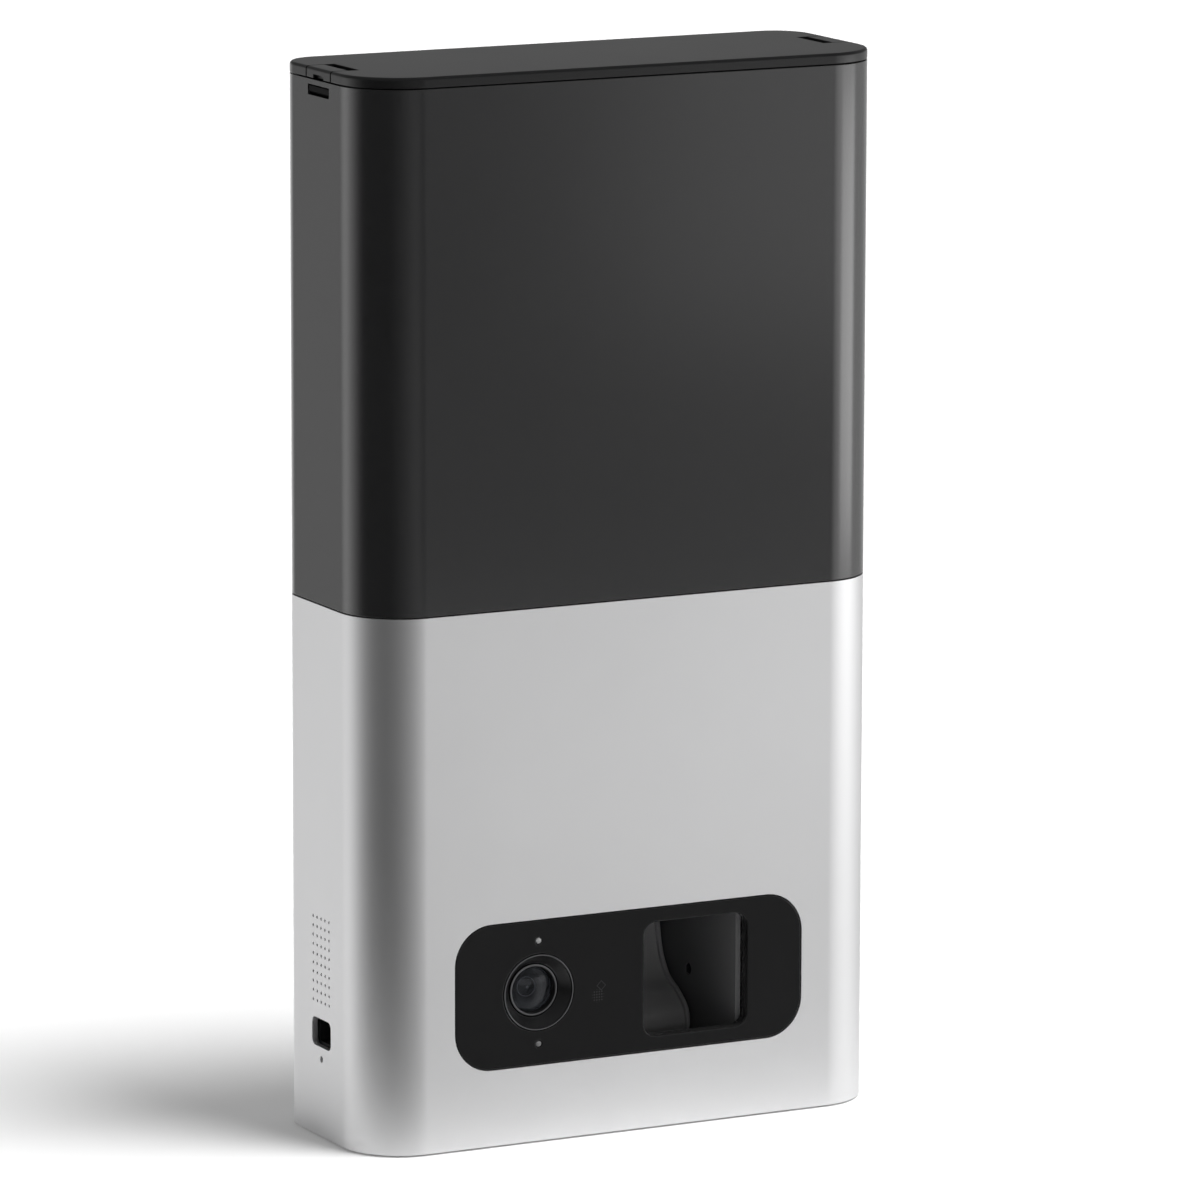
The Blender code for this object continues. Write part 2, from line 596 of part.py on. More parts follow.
SKIRT_BOTTOM = LID_BOTTOM - SKIRT_DROP
LINER_INSET = FIT_INSET + SKIRT_WALL + GAP
LINER_TOP = SKIRT_BOTTOM + LINER_THICKNESS
SEAL_TOP = SKIRT_BOTTOM - GAP
BIN_TOP = SEAL_TOP - SEAL_THICKNESS - GAP
WEB_TOP = LID_BOTTOM - GAP
WEB_BOTTOM = LINER_TOP + GAP
TOOTH_TOP = UPPER_TOP - LATCH_TOOTH_DROP + LATCH_TOOTH_HEIGHT / 2
TOOTH_BOTTOM = TOOTH_TOP - LATCH_TOOTH_HEIGHT
WEB_OUTER = INNER_SIDE - GAP - CLOSE_GAP
WEB_INNER = WEB_OUTER - LATCH_WEB_LENGTH
SPRING_STOP = WEB_INNER - LATCH_SPRING_LENGTH - 2 * GAP
NOTCH_INNER = HALF_WIDTH - LATCH_TAB_LENGTH - LATCH_TRAVEL - RUN_GAP


def mirrored(side, low, high):
    """Corners of a box given for the right end (side 1), turned over for the left end (side -1)."""
    if side > 0:
        return low, high
    return (-high[0], low[1], low[2]), (-low[0], high[1], high[2])


def latch_span(width):
    return LATCH_Y - width / 2, LATCH_Y + width / 2


def make_upper_sleeve():
    sleeve = prism("upper_sleeve", [body_outline(0.0), body_outline(SLEEVE_WALL)], UPPER_BOTTOM, UPPER_TOP,
                   material=BLACK_METAL)
    slot = box_outline((LATCH_Y - LATCH_TOOTH_WIDTH / 2 - GAP, TOOTH_BOTTOM - GAP),
                       (LATCH_Y + LATCH_TOOTH_WIDTH / 2 + GAP, TOOTH_TOP + GAP))
    reach = HALF_WIDTH + OVERRUN
    return cut(sleeve, prism("cut_latch_slots", [slot], -reach, reach, "X"))


def make_lid():
    plate = prism("lid_cover", [body_outline(0.0)], LID_BOTTOM, BODY_HEIGHT, material=BLACK_METAL)
    add_bevel(plate, LID_EDGE_ROUND, 2)
    skirt_inner = FIT_INSET + SKIRT_WALL
    fuse(plate, prism("fuse_skirt", [body_outline(FIT_INSET), body_outline(skirt_inner)], SKIRT_BOTTOM,
                      BODY_HEIGHT - LID_EDGE_ROUND, material=BLACK_METAL))
    low_y, high_y = latch_span(LATCH_TAB_WIDTH + 2 * LATCH_SIDE_GAP)
    for side in (-1, 1):
        end = "left" if side < 0 else "right"
        low, high = mirrored(side, (SPRING_STOP - RIB_WALL, low_y - RIB_WALL, LINER_TOP + GAP),
                             (HALF_WIDTH - FIT_INSET - WELD, high_y + RIB_WALL, LID_BOTTOM + GAP))
        fuse(plate, block(f"fuse_guide_{end}", low, high))
        low, high = mirrored(side, (SPRING_STOP, low_y, SKIRT_BOTTOM - OVERRUN),
                             (HALF_WIDTH + OVERRUN, high_y, LID_BOTTOM))
        cut(plate, block(f"cut_guide_{end}", low, high))
        low, high = mirrored(side, (NOTCH_INNER, low_y, LID_BOTTOM - OVERRUN),
                             (HALF_WIDTH + OVERRUN, high_y, BODY_HEIGHT + OVERRUN))
        cut(plate, block(f"cut_notch_{end}", low, high))
    liner = prism("lid_liner", [body_outline(LINER_INSET)], SKIRT_BOTTOM, LINER_TOP, material=GREY_PLASTIC)
    seal = prism("lid_seal", [body_outline(FIT_INSET + GAP), body_outline(FIT_INSET + GAP + SEAL_WIDTH)],
                 SEAL_TOP - SEAL_THICKNESS, SEAL_TOP, material=SILICONE)
    joint_empty("lid_joint", (0.0, 0.0, LID_BOTTOM), [plate, liner, seal])


def make_latch(side):
    end = "left" if side < 0 else "right"
    tab_low, tab_high = latch_span(LATCH_TAB_WIDTH)
    tooth_low, tooth_high = latch_span(LATCH_TOOTH_WIDTH)
    low, high = mirrored(side, (HALF_WIDTH - LATCH_TAB_LENGTH, tab_low, LID_BOTTOM),
                         (HALF_WIDTH, tab_high, BODY_HEIGHT))
    latch = block(f"latch_{end}", low, high, BLACK_METAL)
    low, high = mirrored(side, (WEB_INNER, tab_low, WEB_BOTTOM), (WEB_OUTER, tab_high, WEB_TOP))
    web = block(f"fuse_web_{end}", low, high)
    low, high = mirrored(side, (HALF_WIDTH - LATCH_TAB_LENGTH, tooth_low, WEB_TOP - OVERRUN),
                         (WEB_OUTER - CLOSE_GAP, tooth_high, LID_BOTTOM + OVERRUN))
    neck = block(f"fuse_neck_{end}", low, high)
    low, high = mirrored(side, (WEB_OUTER - OVERRUN, tooth_low, TOOTH_BOTTOM),
                         (HALF_WIDTH - CLOSE_GAP, tooth_high, TOOTH_TOP))
    tooth = block(f"fuse_tooth_{end}", low, high)
    fuse(latch, web, neck, tooth)
    spring_height = (WEB_TOP + WEB_BOTTOM) / 2
    start, finish = SPRING_STOP + GAP + LATCH_SPRING_WIRE, WEB_INNER - GAP - LATCH_SPRING_WIRE
    coil(f"latch_spring_{end}", (LATCH_Y, spring_height), LATCH_SPRING_RADIUS, LATCH_SPRING_WIRE,
         side * start, side * finish, LATCH_SPRING_TURNS)
    joint_empty(f"latch_{end}_joint", (side * WEB_OUTER, LATCH_Y, LID_BOTTOM), [latch])


# Throw chamber: side walls, sloped floor and drop tube between the window and the star wheel
CHAMBER_STEP = 1.4 * MM
CHUTE_WALL = 1.4 * MM
CHASSIS_BACK_WALL = 1.7 * MM
ROOF_RISE = 4.2 * MM
SILL_DROP = 0.6 * MM
PIVOT_RISE = 7.5 * MM
PIVOT_STANDOFF = 13.4 * MM
CHAMBER_FLOOR_GAP = 4.8 * MM
CHAMBER_FLOOR_SLOPE_DROP = 6.0 * MM
TUBE_HALF_DEPTH = 14.5 * MM
DROP_TUBE_LENGTH = 21.6 * MM

CHAMBER_LEFT = WINDOW_X - WINDOW_WIDTH / 2 + CHAMBER_STEP
CHAMBER_RIGHT = WINDOW_X + WINDOW_WIDTH / 2 - CHAMBER_STEP
CHUTE_LEFT = CHAMBER_LEFT - CHUTE_WALL
CHUTE_RIGHT = CHAMBER_RIGHT + CHUTE_WALL
CHUTE_FRONT = PANEL_BACK + GAP
CHASSIS_BACK = INNER_BACK - GAP
CHASSIS_FRONT = CHASSIS_BACK - CHASSIS_BACK_WALL
CHUTE_BACK = CHASSIS_FRONT - GAP
CHUTE_BOTTOM = FLOOR_TOP + GAP
SILL_HEIGHT = PANEL_CENTRE_HEIGHT - WINDOW_HEIGHT / 2 - SILL_DROP
ROOF_HEIGHT = PANEL_CENTRE_HEIGHT + WINDOW_HEIGHT / 2 + ROOF_RISE
TUBE_TOP = ROOF_HEIGHT + CHUTE_WALL + DROP_TUBE_LENGTH
PIVOT_Y = CHASSIS_FRONT - PIVOT_STANDOFF
PIVOT_HEIGHT = CHUTE_BOTTOM + PIVOT_RISE

# Star wheel that doses the treats, in a drum above the drop tube and under the frame
DRUM_SPACE = 3.8 * MM
DRUM_WALL = 1.5 * MM
COLLAR_DROP = 2.6 * MM
SHAFT_RADIUS = 2.5 * MM
FRAME_FLOOR = 2.0 * MM
FRAME_HEIGHT = 18.5 * MM
DRUM_RADIUS = INNER_BACK - DRUM_SPACE - DRUM_WALL
WHEEL_RADIUS = DRUM_RADIUS - RUN_GAP
COLLAR_BOTTOM = TUBE_TOP + GAP
WHEEL_HEIGHT = COLLAR_BOTTOM + COLLAR_DROP + DRUM_WALL + DRUM_RADIUS
COLLAR_TOP = WHEEL_HEIGHT + DRUM_RADIUS + DRUM_WALL + COLLAR_DROP
CHASSIS_TOP = COLLAR_TOP
FRAME_BOTTOM = CHASSIS_TOP + GAP
FRAME_TOP_HEIGHT = FRAME_BOTTOM + FRAME_HEIGHT
WHEEL_VANES = 6
VANE_THICKNESS = 1.8 * MM
WHEEL_HUB_RADIUS = 4.6 * MM

# Paddle: an S-shaped scoop on a shaft across the bottom of the chamber
BLADE_LEAD = 7.0 * MM
BLADE_LIFT = 1.7 * MM
BLADE_RUN = 17.9 * MM
BLADE_RISE = 32.8 * MM
BLADE_THICKNESS = 1.4 * MM
BLADE_SHARES = ((0.03, 0.0), (0.0, 0.05), (0.02, 0.13), (0.105, 0.19), (0.316, 0.27), (0.6, 0.35),
                (0.79, 0.48), (0.88, 0.60), (0.925, 0.71), (0.97, 0.85), (1.0, 1.0))
WEB_JOIN_INDEX = 5
HUB_JOIN_ANGLE = math.radians(20.0)
HUB_STEPS = 8
RIM_WIDTH = 1.1 * MM
RIM_PROUD = 1.0 * MM
PADDLE_SHAFT_RADIUS = 2.0 * MM
PADDLE_HUB_RADIUS = 3.8 * MM
PADDLE_THROW = math.radians(60.0)

# Gears of both trains
PRESSURE_ANGLE = math.radians(25.0)
ADDENDUM_SHARE = 0.8
DEDENDUM_SHARE = 1.1
BACKLASH = 0.3 * MM
COARSE_FLANK_TEETH = 20
DRIVE_MODULE = 1.0 * MM
MOTOR_MODULE = 0.8 * MM
GEAR_WIDTH = 4.0 * MM
SECTOR_TEETH = 24
IDLER_SMALL_TEETH = 12
IDLER_LARGE_TEETH = 30
PINION_TEETH = 10
WHEEL_GEAR_TEETH = 30
SECTOR_HUB_RADIUS = 4.4 * MM
IDLER_DIRECTION = math.radians(108.0)
MOTOR_DIRECTION = math.radians(95.0)
IDLER_PIN_RADIUS = 1.5 * MM
BRACKET_WALL = 1.6 * MM
MOTOR_RADIUS = 10.0 * MM
MOTOR_LENGTH = 12.0 * MM
MOTOR_BOSS_RADIUS = 3.2 * MM
MOTOR_BOSS_LENGTH = 1.3 * MM
MOTOR_SHAFT_RADIUS = 1.0 * MM
MOTOR_SHAFT_DEPTH = 6.0 * MM

PIVOT = (PIVOT_Y, PIVOT_HEIGHT)
WHEEL_AXIS = (0.0, WHEEL_HEIGHT)
BLADE_BOTTOM_Y = PIVOT_Y - BLADE_LEAD
BLADE_BOTTOM_HEIGHT = PIVOT_HEIGHT + BLADE_LIFT
CHAMBER_FLOOR_END_Y = BLADE_BOTTOM_Y - CHAMBER_FLOOR_GAP


def pitch_radius(teeth, module):
    return teeth * module / 2


def polar(centre, radius, angle):
    return (centre[0] + radius * math.cos(angle), centre[1] + radius * math.sin(angle))


IDLER_AXIS = polar(PIVOT, pitch_radius(SECTOR_TEETH + IDLER_SMALL_TEETH, DRIVE_MODULE), IDLER_DIRECTION)
LAUNCH_MOTOR_AXIS = polar(IDLER_AXIS, pitch_radius(IDLER_LARGE_TEETH + PINION_TEETH, MOTOR_MODULE),
                          MOTOR_DIRECTION)
DOSING_MOTOR_AXIS = polar(WHEEL_AXIS, pitch_radius(WHEEL_GEAR_TEETH + PINION_TEETH, DRIVE_MODULE),
                          -QUARTER)

FIRST_GEAR_START = CHUTE_RIGHT + 2 * RUN_GAP
FIRST_GEAR_END = FIRST_GEAR_START + GEAR_WIDTH
SECOND_GEAR_START = FIRST_GEAR_END + RUN_GAP
SECOND_GEAR_END = SECOND_GEAR_START + GEAR_WIDTH
LAUNCH_WEB_START = SECOND_GEAR_END + 2 * RUN_GAP
LAUNCH_WEB_END = LAUNCH_WEB_START + BRACKET_WALL
DOSING_WEB_START = FIRST_GEAR_END + 2 * RUN_GAP
DOSING_WEB_END = DOSING_WEB_START + BRACKET_WALL


def involute(angle):
    return math.tan(angle) - angle


def tooth_points(centre, teeth, module, middle):
    """One gear tooth with involute flanks, from its right foot over the tip to its left foot."""
    pitch = pitch_radius(teeth, module)
    base = pitch * math.cos(PRESSURE_ANGLE)
    root = pitch - DEDENDUM_SHARE * module
    tip = pitch + ADDENDUM_SHARE * module
    half_angle = math.pi / (2 * teeth) - BACKLASH / (4 * pitch)
    foot = max(root, base)
    radii = [foot, (foot + tip) / 2, tip] if teeth < COARSE_FLANK_TEETH else [foot, tip]
    flank = []
    for radius in radii:
        opening = half_angle + involute(PRESSURE_ANGLE) - involute(math.acos(base / radius))
        flank.append((radius, opening))
    if root < base:
        flank.insert(0, (root, flank[0][1]))
    right = [polar(centre, radius, middle - opening) for radius, opening in flank]
    left = [polar(centre, radius, middle + opening) for radius, opening in reversed(flank)]
    return right + left


def gear_outline(centre, teeth, module, first_middle):
    points = []
    for index in range(teeth):
        points += tooth_points(centre, teeth, module, first_middle + FULL_TURN * index / teeth)
    return points


def sector_outline(centre, teeth, module, first_middle, count, hub_radius):
    """A run of teeth on a wedge that grows out of a round hub."""
    pitch_angle = FULL_TURN / teeth
    points = []
    for index in range(count):
        points += tooth_points(centre, teeth, module, first_middle + pitch_angle * index)
    start = first_middle + pitch_angle * count
    sweep = FULL_TURN - pitch_angle * (count + 1)
    for step in range(HUB_STEPS + 1):
        points.append(polar(centre, hub_radius, start + sweep * step / HUB_STEPS))
    return points


def blade_points(offset):
    """The scoop's front face from its bottom lip to its top, moved by an offset along its normal."""
    base = [(BLADE_BOTTOM_Y + y_share * BLADE_RUN, BLADE_BOTTOM_HEIGHT + z_share * BLADE_RISE)
            for y_share, z_share in BLADE_SHARES]
    moved = []
    for index, (y, z) in enumerate(base):
        before = base[max(index - 1, 0)]
        after = base[min(index + 1, len(base) - 1)]
        run, rise = after[0] - before[0], after[1] - before[1]
        length = math.hypot(run, rise)
        moved.append((y - offset * rise / length, z + offset * run / length))
    return moved


def paddle_outline():
    """Side view of the paddle's rims: raised front edge, blade, web and round hub in one outline."""
    front = blade_points(RIM_PROUD)
    back = blade_points(-BLADE_THICKNESS)[WEB_JOIN_INDEX:]
    arc = [polar(PIVOT, PADDLE_HUB_RADIUS, HUB_JOIN_ANGLE - (math.pi + HUB_JOIN_ANGLE) * step / HUB_STEPS)
           for step in range(HUB_STEPS + 1)]
    return front + back[::-1] + arc


def make_launch_chute():
    side = box_outline((CHUTE_FRONT, CHUTE_BOTTOM), (CHUTE_BACK, ROOF_HEIGHT + CHUTE_WALL))
    chute = prism("launch_chute", [side], CHUTE_LEFT, CHUTE_RIGHT, "X", BLACK_PLASTIC)
    tube = block("fuse_drop_tube", (CHUTE_LEFT, -TUBE_HALF_DEPTH, ROOF_HEIGHT),
                 (CHUTE_RIGHT, TUBE_HALF_DEPTH, TUBE_TOP))
    fuse(chute, tube)
    floor_end_height = SILL_HEIGHT - CHAMBER_FLOOR_SLOPE_DROP
    tray = CHUTE_BOTTOM + CHUTE_WALL
    chamber = [(CHUTE_FRONT - OVERRUN, SILL_HEIGHT), (CHAMBER_FLOOR_END_Y, floor_end_height)]
    chamber += [(CHAMBER_FLOOR_END_Y, tray), (CHUTE_BACK + OVERRUN, tray)]
    chamber += [(CHUTE_BACK + OVERRUN, ROOF_HEIGHT), (CHUTE_FRONT - OVERRUN, ROOF_HEIGHT)]
    cut(chute, prism("cut_chamber", [chamber], CHAMBER_LEFT, CHAMBER_RIGHT, "X"))
    under = [(CHUTE_FRONT + CHUTE_WALL, CHUTE_BOTTOM - OVERRUN)]
    under += [(CHAMBER_FLOOR_END_Y - CHUTE_WALL, CHUTE_BOTTOM - OVERRUN)]
    under += [(CHAMBER_FLOOR_END_Y - CHUTE_WALL, floor_end_height - CHUTE_WALL)]
    under += [(CHUTE_FRONT + CHUTE_WALL, SILL_HEIGHT - 2 * CHUTE_WALL)]
    cut(chute, prism("cut_under_floor", [under], CHAMBER_LEFT, CHAMBER_RIGHT, "X"))
    tube_inner = TUBE_HALF_DEPTH - CHUTE_WALL
    cut(chute, block("cut_drop_tube", (CHAMBER_LEFT, -tube_inner, ROOF_HEIGHT - OVERRUN),
                     (CHAMBER_RIGHT, tube_inner, TUBE_TOP + OVERRUN)))
    cut(chute, rod("cut_paddle_bearing", PIVOT, PADDLE_SHAFT_RADIUS + CLOSE_GAP, CHUTE_LEFT - OVERRUN,
                   CHUTE_RIGHT + OVERRUN, "X"))
    cut(chute, rod("cut_idler_bearing", IDLER_AXIS, IDLER_PIN_RADIUS + CLOSE_GAP, CHAMBER_RIGHT - OVERRUN,
                   CHUTE_RIGHT + OVERRUN, "X"))
    return chute


def make_paddle():
    left, right = CHAMBER_LEFT + RUN_GAP, CHAMBER_RIGHT - RUN_GAP
    paddle = prism("launch_paddle", [paddle_outline()], left, right, "X", GREY_PLASTIC)
    scoop = blade_points(0.0)
    low, high = scoop[0][1] - OVERRUN, scoop[-1][1] + OVERRUN
    hollow = [(scoop[0][0], low), *scoop, (scoop[-1][0], high), (CHUTE_FRONT, high), (CHUTE_FRONT, low)]
    cut(paddle, prism("cut_scoop", [hollow], left + RIM_WIDTH, right - RIM_WIDTH, "X"))
    cut(paddle, rod("cut_paddle_bore", PIVOT, PADDLE_SHAFT_RADIUS + CLOSE_GAP, left - OVERRUN,
                    right + OVERRUN, "X"))
    shaft_start = CHUTE_LEFT - 2 * GAP - 2 * PADDLE_SPRING_WIRE - PADDLE_SPRING_LENGTH
    shaft = rod("paddle_shaft", PIVOT, PADDLE_SHAFT_RADIUS, shaft_start, LAUNCH_WEB_END, "X")
    pitch_angle = FULL_TURN / SECTOR_TEETH
    spare_teeth = 2
    below = math.ceil(PADDLE_THROW / pitch_angle) + spare_teeth
    outline = sector_outline(PIVOT, SECTOR_TEETH, DRIVE_MODULE, IDLER_DIRECTION - below * pitch_angle,
                             below + spare_teeth + 1, SECTOR_HUB_RADIUS)
    bore = circle(PIVOT, PADDLE_SHAFT_RADIUS + CLOSE_GAP)
    gear = prism("paddle_gear", [outline, bore], FIRST_GEAR_START, FIRST_GEAR_END, "X", NYLON)
    joint_empty("launch_paddle_joint", (WINDOW_X, *PIVOT), [paddle, shaft, gear])


def make_launch_train():
    small = gear_outline(IDLER_AXIS, IDLER_SMALL_TEETH, DRIVE_MODULE,
                         IDLER_DIRECTION + math.pi + math.pi / IDLER_SMALL_TEETH)
    large = gear_outline(IDLER_AXIS, IDLER_LARGE_TEETH, MOTOR_MODULE, MOTOR_DIRECTION)
    idler = prism("launch_idler", [large], SECOND_GEAR_START, SECOND_GEAR_END, "X", NYLON)
    fuse(idler, prism("fuse_idler_small", [small], FIRST_GEAR_START, SECOND_GEAR_START + RUN_GAP, "X"))
    cut(idler, rod("cut_idler_bore", IDLER_AXIS, IDLER_PIN_RADIUS + CLOSE_GAP, FIRST_GEAR_START - OVERRUN,
                   SECOND_GEAR_END + OVERRUN, "X"))
    joint_empty("launch_idler_joint", (SECOND_GEAR_START, *IDLER_AXIS), [idler])
    rod("idler_pin", IDLER_AXIS, IDLER_PIN_RADIUS, CHAMBER_RIGHT + CLOSE_GAP, LAUNCH_WEB_END, "X")
    make_motor_pinion("launch_pinion", LAUNCH_MOTOR_AXIS, MOTOR_MODULE,
                      MOTOR_DIRECTION + math.pi + math.pi / PINION_TEETH, SECOND_GEAR_START,
                      SECOND_GEAR_END, LAUNCH_WEB_END)
    make_motor("launch_motor", LAUNCH_MOTOR_AXIS, LAUNCH_WEB_END + GAP)


def make_motor_pinion(name, axis, module, first_middle, start, end, web_end):
    """A pinion made in one with its motor shaft, which runs back into the motor."""
    outline = gear_outline(axis, PINION_TEETH, module, first_middle)
    pinion = prism(name, [outline], start, end, "X", STEEL)
    fuse(pinion, rod(f"fuse_{name}_shaft", axis, MOTOR_SHAFT_RADIUS, end - RUN_GAP,
                     web_end + GAP + MOTOR_SHAFT_DEPTH - 2 * GAP, "X"))
    joint_empty(f"{name}_joint", (start, *axis), [pinion])


def make_motor(name, axis, front):
    """A can motor with a round boss at its shaft end and a smaller cap at its back."""
    bore = MOTOR_SHAFT_RADIUS + CLOSE_GAP
    shoulder = MOTOR_RADIUS / 8
    back = front + MOTOR_LENGTH
    profile = [(0.0, back), (MOTOR_RADIUS / 2, back), (MOTOR_RADIUS / 2, back - shoulder)]
    profile += [(MOTOR_RADIUS - shoulder, back - shoulder), (MOTOR_RADIUS, back - 2 * shoulder)]
    profile += [(MOTOR_RADIUS, front), (MOTOR_BOSS_RADIUS, front)]
    profile += [(MOTOR_BOSS_RADIUS, front - MOTOR_BOSS_LENGTH), (bore, front - MOTOR_BOSS_LENGTH)]
    profile += [(bore, front + MOTOR_SHAFT_DEPTH), (0.0, front + MOTOR_SHAFT_DEPTH)]
    return turned(name, profile, (0.0, *axis), "X", STEEL, ROUND_STEPS)


def make_bracket(name, web_start, web_end, low, high, bearings, motor_axis):
    """An L-shaped steel bracket: a web square to the gear shafts and a flange on the chassis."""
    flange_end = web_end + MOTOR_LENGTH - BRACKET_WALL
    angle = [(web_start, low[0]), (web_end, low[0]), (web_end, high[0] - BRACKET_WALL)]
    angle += [(flange_end, high[0] - BRACKET_WALL), (flange_end, high[0]), (web_start, high[0])]
    bracket = prism(name, [angle], low[1], high[1], material=STEEL)
    holes = [(axis, radius + CLOSE_GAP) for axis, radius in bearings]
    holes.append((motor_axis, MOTOR_BOSS_RADIUS + GAP))
    for index, (axis, radius) in enumerate(holes):
        cut(bracket, rod(f"cut_{name}_{index}", axis, radius, web_start - OVERRUN, web_end + OVERRUN, "X"))
    return bracket


def make_launch_bracket():
    low = (LAUNCH_MOTOR_AXIS[0] - MOTOR_RADIUS, FLOOR_TOP + BOSS_HEIGHT + GAP)
    high = (CHUTE_BACK, LAUNCH_MOTOR_AXIS[1] + MOTOR_RADIUS)
    bearings = [(PIVOT, PADDLE_SHAFT_RADIUS), (IDLER_AXIS, IDLER_PIN_RADIUS)]
    make_bracket("launch_bracket", LAUNCH_WEB_START, LAUNCH_WEB_END, low, high, bearings,
                 LAUNCH_MOTOR_AXIS)


def make_bumper():
    """A rubber stop on the chassis that the paddle leans back against."""
    back = blade_points(-BLADE_THICKNESS - CLOSE_GAP - GAP)
    low_point, high_point = back[WEB_JOIN_INDEX + 1], back[WEB_JOIN_INDEX + 2]
    outline = [low_point, (CHUTE_BACK, low_point[1]), (CHUTE_BACK, high_point[1]), high_point]
    half = WINDOW_WIDTH / 6
    prism("paddle_bumper", [outline], WINDOW_X - half, WINDOW_X + half, "X", RUBBER)


PADDLE_SPRING_TURNS = 4
PADDLE_SPRING_WIRE = 0.4 * MM
PADDLE_SPRING_LENGTH = 5.0 * MM


def make_paddle_spring():
    """A torsion spring about the shaft, outside the chute's left wall."""
    end = CHUTE_LEFT - GAP - PADDLE_SPRING_WIRE
    flat_radius = PADDLE_SHAFT_RADIUS + PADDLE_SPRING_WIRE + GAP
    coil("paddle_spring", PIVOT, flat_radius / math.cos(math.pi / COIL_STEPS), PADDLE_SPRING_WIRE,
         end - PADDLE_SPRING_LENGTH, end, PADDLE_SPRING_TURNS)


def make_dosing_housing():
    """The drum round the star wheel, with a collar above for the bin and one below for the tube."""
    outer = DRUM_RADIUS + DRUM_WALL
    housing = rod("dosing_housing", WHEEL_AXIS, outer, CHUTE_LEFT, CHUTE_RIGHT, "X", BLACK_PLASTIC,
                  ROUND_STEPS)
    fuse(housing, block("fuse_collars", (CHUTE_LEFT + WELD, -TUBE_HALF_DEPTH, COLLAR_BOTTOM),
                        (CHUTE_RIGHT - WELD, TUBE_HALF_DEPTH, COLLAR_TOP)))
    cut(housing, rod("cut_drum", WHEEL_AXIS, DRUM_RADIUS, CHUTE_LEFT - OVERRUN, CHAMBER_RIGHT, "X",
                     steps=ROUND_STEPS))
    tube_inner = TUBE_HALF_DEPTH - CHUTE_WALL
    cut(housing, block("cut_collars", (CHAMBER_LEFT, -tube_inner, COLLAR_BOTTOM - OVERRUN),
                       (CHAMBER_RIGHT - WELD, tube_inner, COLLAR_TOP + OVERRUN)))
    cut(housing, rod("cut_housing_bearing", WHEEL_AXIS, SHAFT_RADIUS + CLOSE_GAP, CHAMBER_RIGHT - OVERRUN,
                     CHUTE_RIGHT + OVERRUN, "X"))
    return housing


COVER_FLANGE = 1.5 * MM


def make_dosing_cover():
    """The lid of the drum: a disc that plugs into it, with a wider flange outside."""
    plug = DRUM_RADIUS - CLOSE_GAP
    flange = DRUM_RADIUS + DRUM_WALL
    bore = SHAFT_RADIUS + CLOSE_GAP
    inner = CHUTE_LEFT + CHUTE_WALL
    outer_face = CHUTE_LEFT - GAP - COVER_FLANGE
    profile = [(bore, inner), (plug, inner), (plug, CHUTE_LEFT - GAP), (flange, CHUTE_LEFT - GAP)]
    profile += [(flange, outer_face), (bore, outer_face)]
    return turned("dosing_cover", profile, (0.0, *WHEEL_AXIS), "X", BLACK_PLASTIC)


def star_outline():
    """Six straight vanes that widen into a round hub."""
    points = []
    tip_half = VANE_THICKNESS / 2
    hub_half = math.asin(VANE_THICKNESS / 2 / WHEEL_HUB_RADIUS)
    for index in range(WHEEL_VANES):
        middle = QUARTER + FULL_TURN * index / WHEEL_VANES
        across = (-math.sin(middle) * tip_half, math.cos(middle) * tip_half)
        tip = polar(WHEEL_AXIS, WHEEL_RADIUS, middle)
        points.append(polar(WHEEL_AXIS, WHEEL_HUB_RADIUS, middle - hub_half))
        points.append((tip[0] - across[0], tip[1] - across[1]))
        points.append((tip[0] + across[0], tip[1] + across[1]))
        points.append(polar(WHEEL_AXIS, WHEEL_HUB_RADIUS, middle + hub_half))
        points.append(polar(WHEEL_AXIS, WHEEL_HUB_RADIUS, middle + math.pi / WHEEL_VANES))
    return points


def make_dosing_wheel():
    bore = circle(WHEEL_AXIS, SHAFT_RADIUS + CLOSE_GAP)
    wheel = prism("dosing_wheel", [star_outline(), bore], CHAMBER_LEFT + RUN_GAP,
                  CHAMBER_RIGHT - RUN_GAP, "X", SILICONE)
    shaft = rod("dosing_shaft", WHEEL_AXIS, SHAFT_RADIUS, CHUTE_LEFT - GAP - COVER_FLANGE, DOSING_WEB_END,
                "X")
    outline = gear_outline(WHEEL_AXIS, WHEEL_GEAR_TEETH, DRIVE_MODULE, -QUARTER)
    gear = prism("dosing_gear", [outline, bore], FIRST_GEAR_START, FIRST_GEAR_END, "X", NYLON)
    joint_empty("dosing_wheel_joint", (WINDOW_X, *WHEEL_AXIS), [wheel, shaft, gear])


def make_dosing_drive():
    make_motor_pinion("dosing_pinion", DOSING_MOTOR_AXIS, DRIVE_MODULE,
                      QUARTER + math.pi / PINION_TEETH, FIRST_GEAR_START, FIRST_GEAR_END, DOSING_WEB_END)
    make_motor("dosing_motor", DOSING_MOTOR_AXIS, DOSING_WEB_END + GAP)
    low = (-MOTOR_RADIUS, DOSING_MOTOR_AXIS[1] - MOTOR_RADIUS)
    high = (CHUTE_BACK, WHEEL_AXIS[1] + MOTOR_RADIUS)
    make_bracket("dosing_bracket", DOSING_WEB_START, DOSING_WEB_END, low, high,
                 [(WHEEL_AXIS, SHAFT_RADIUS)], DOSING_MOTOR_AXIS)


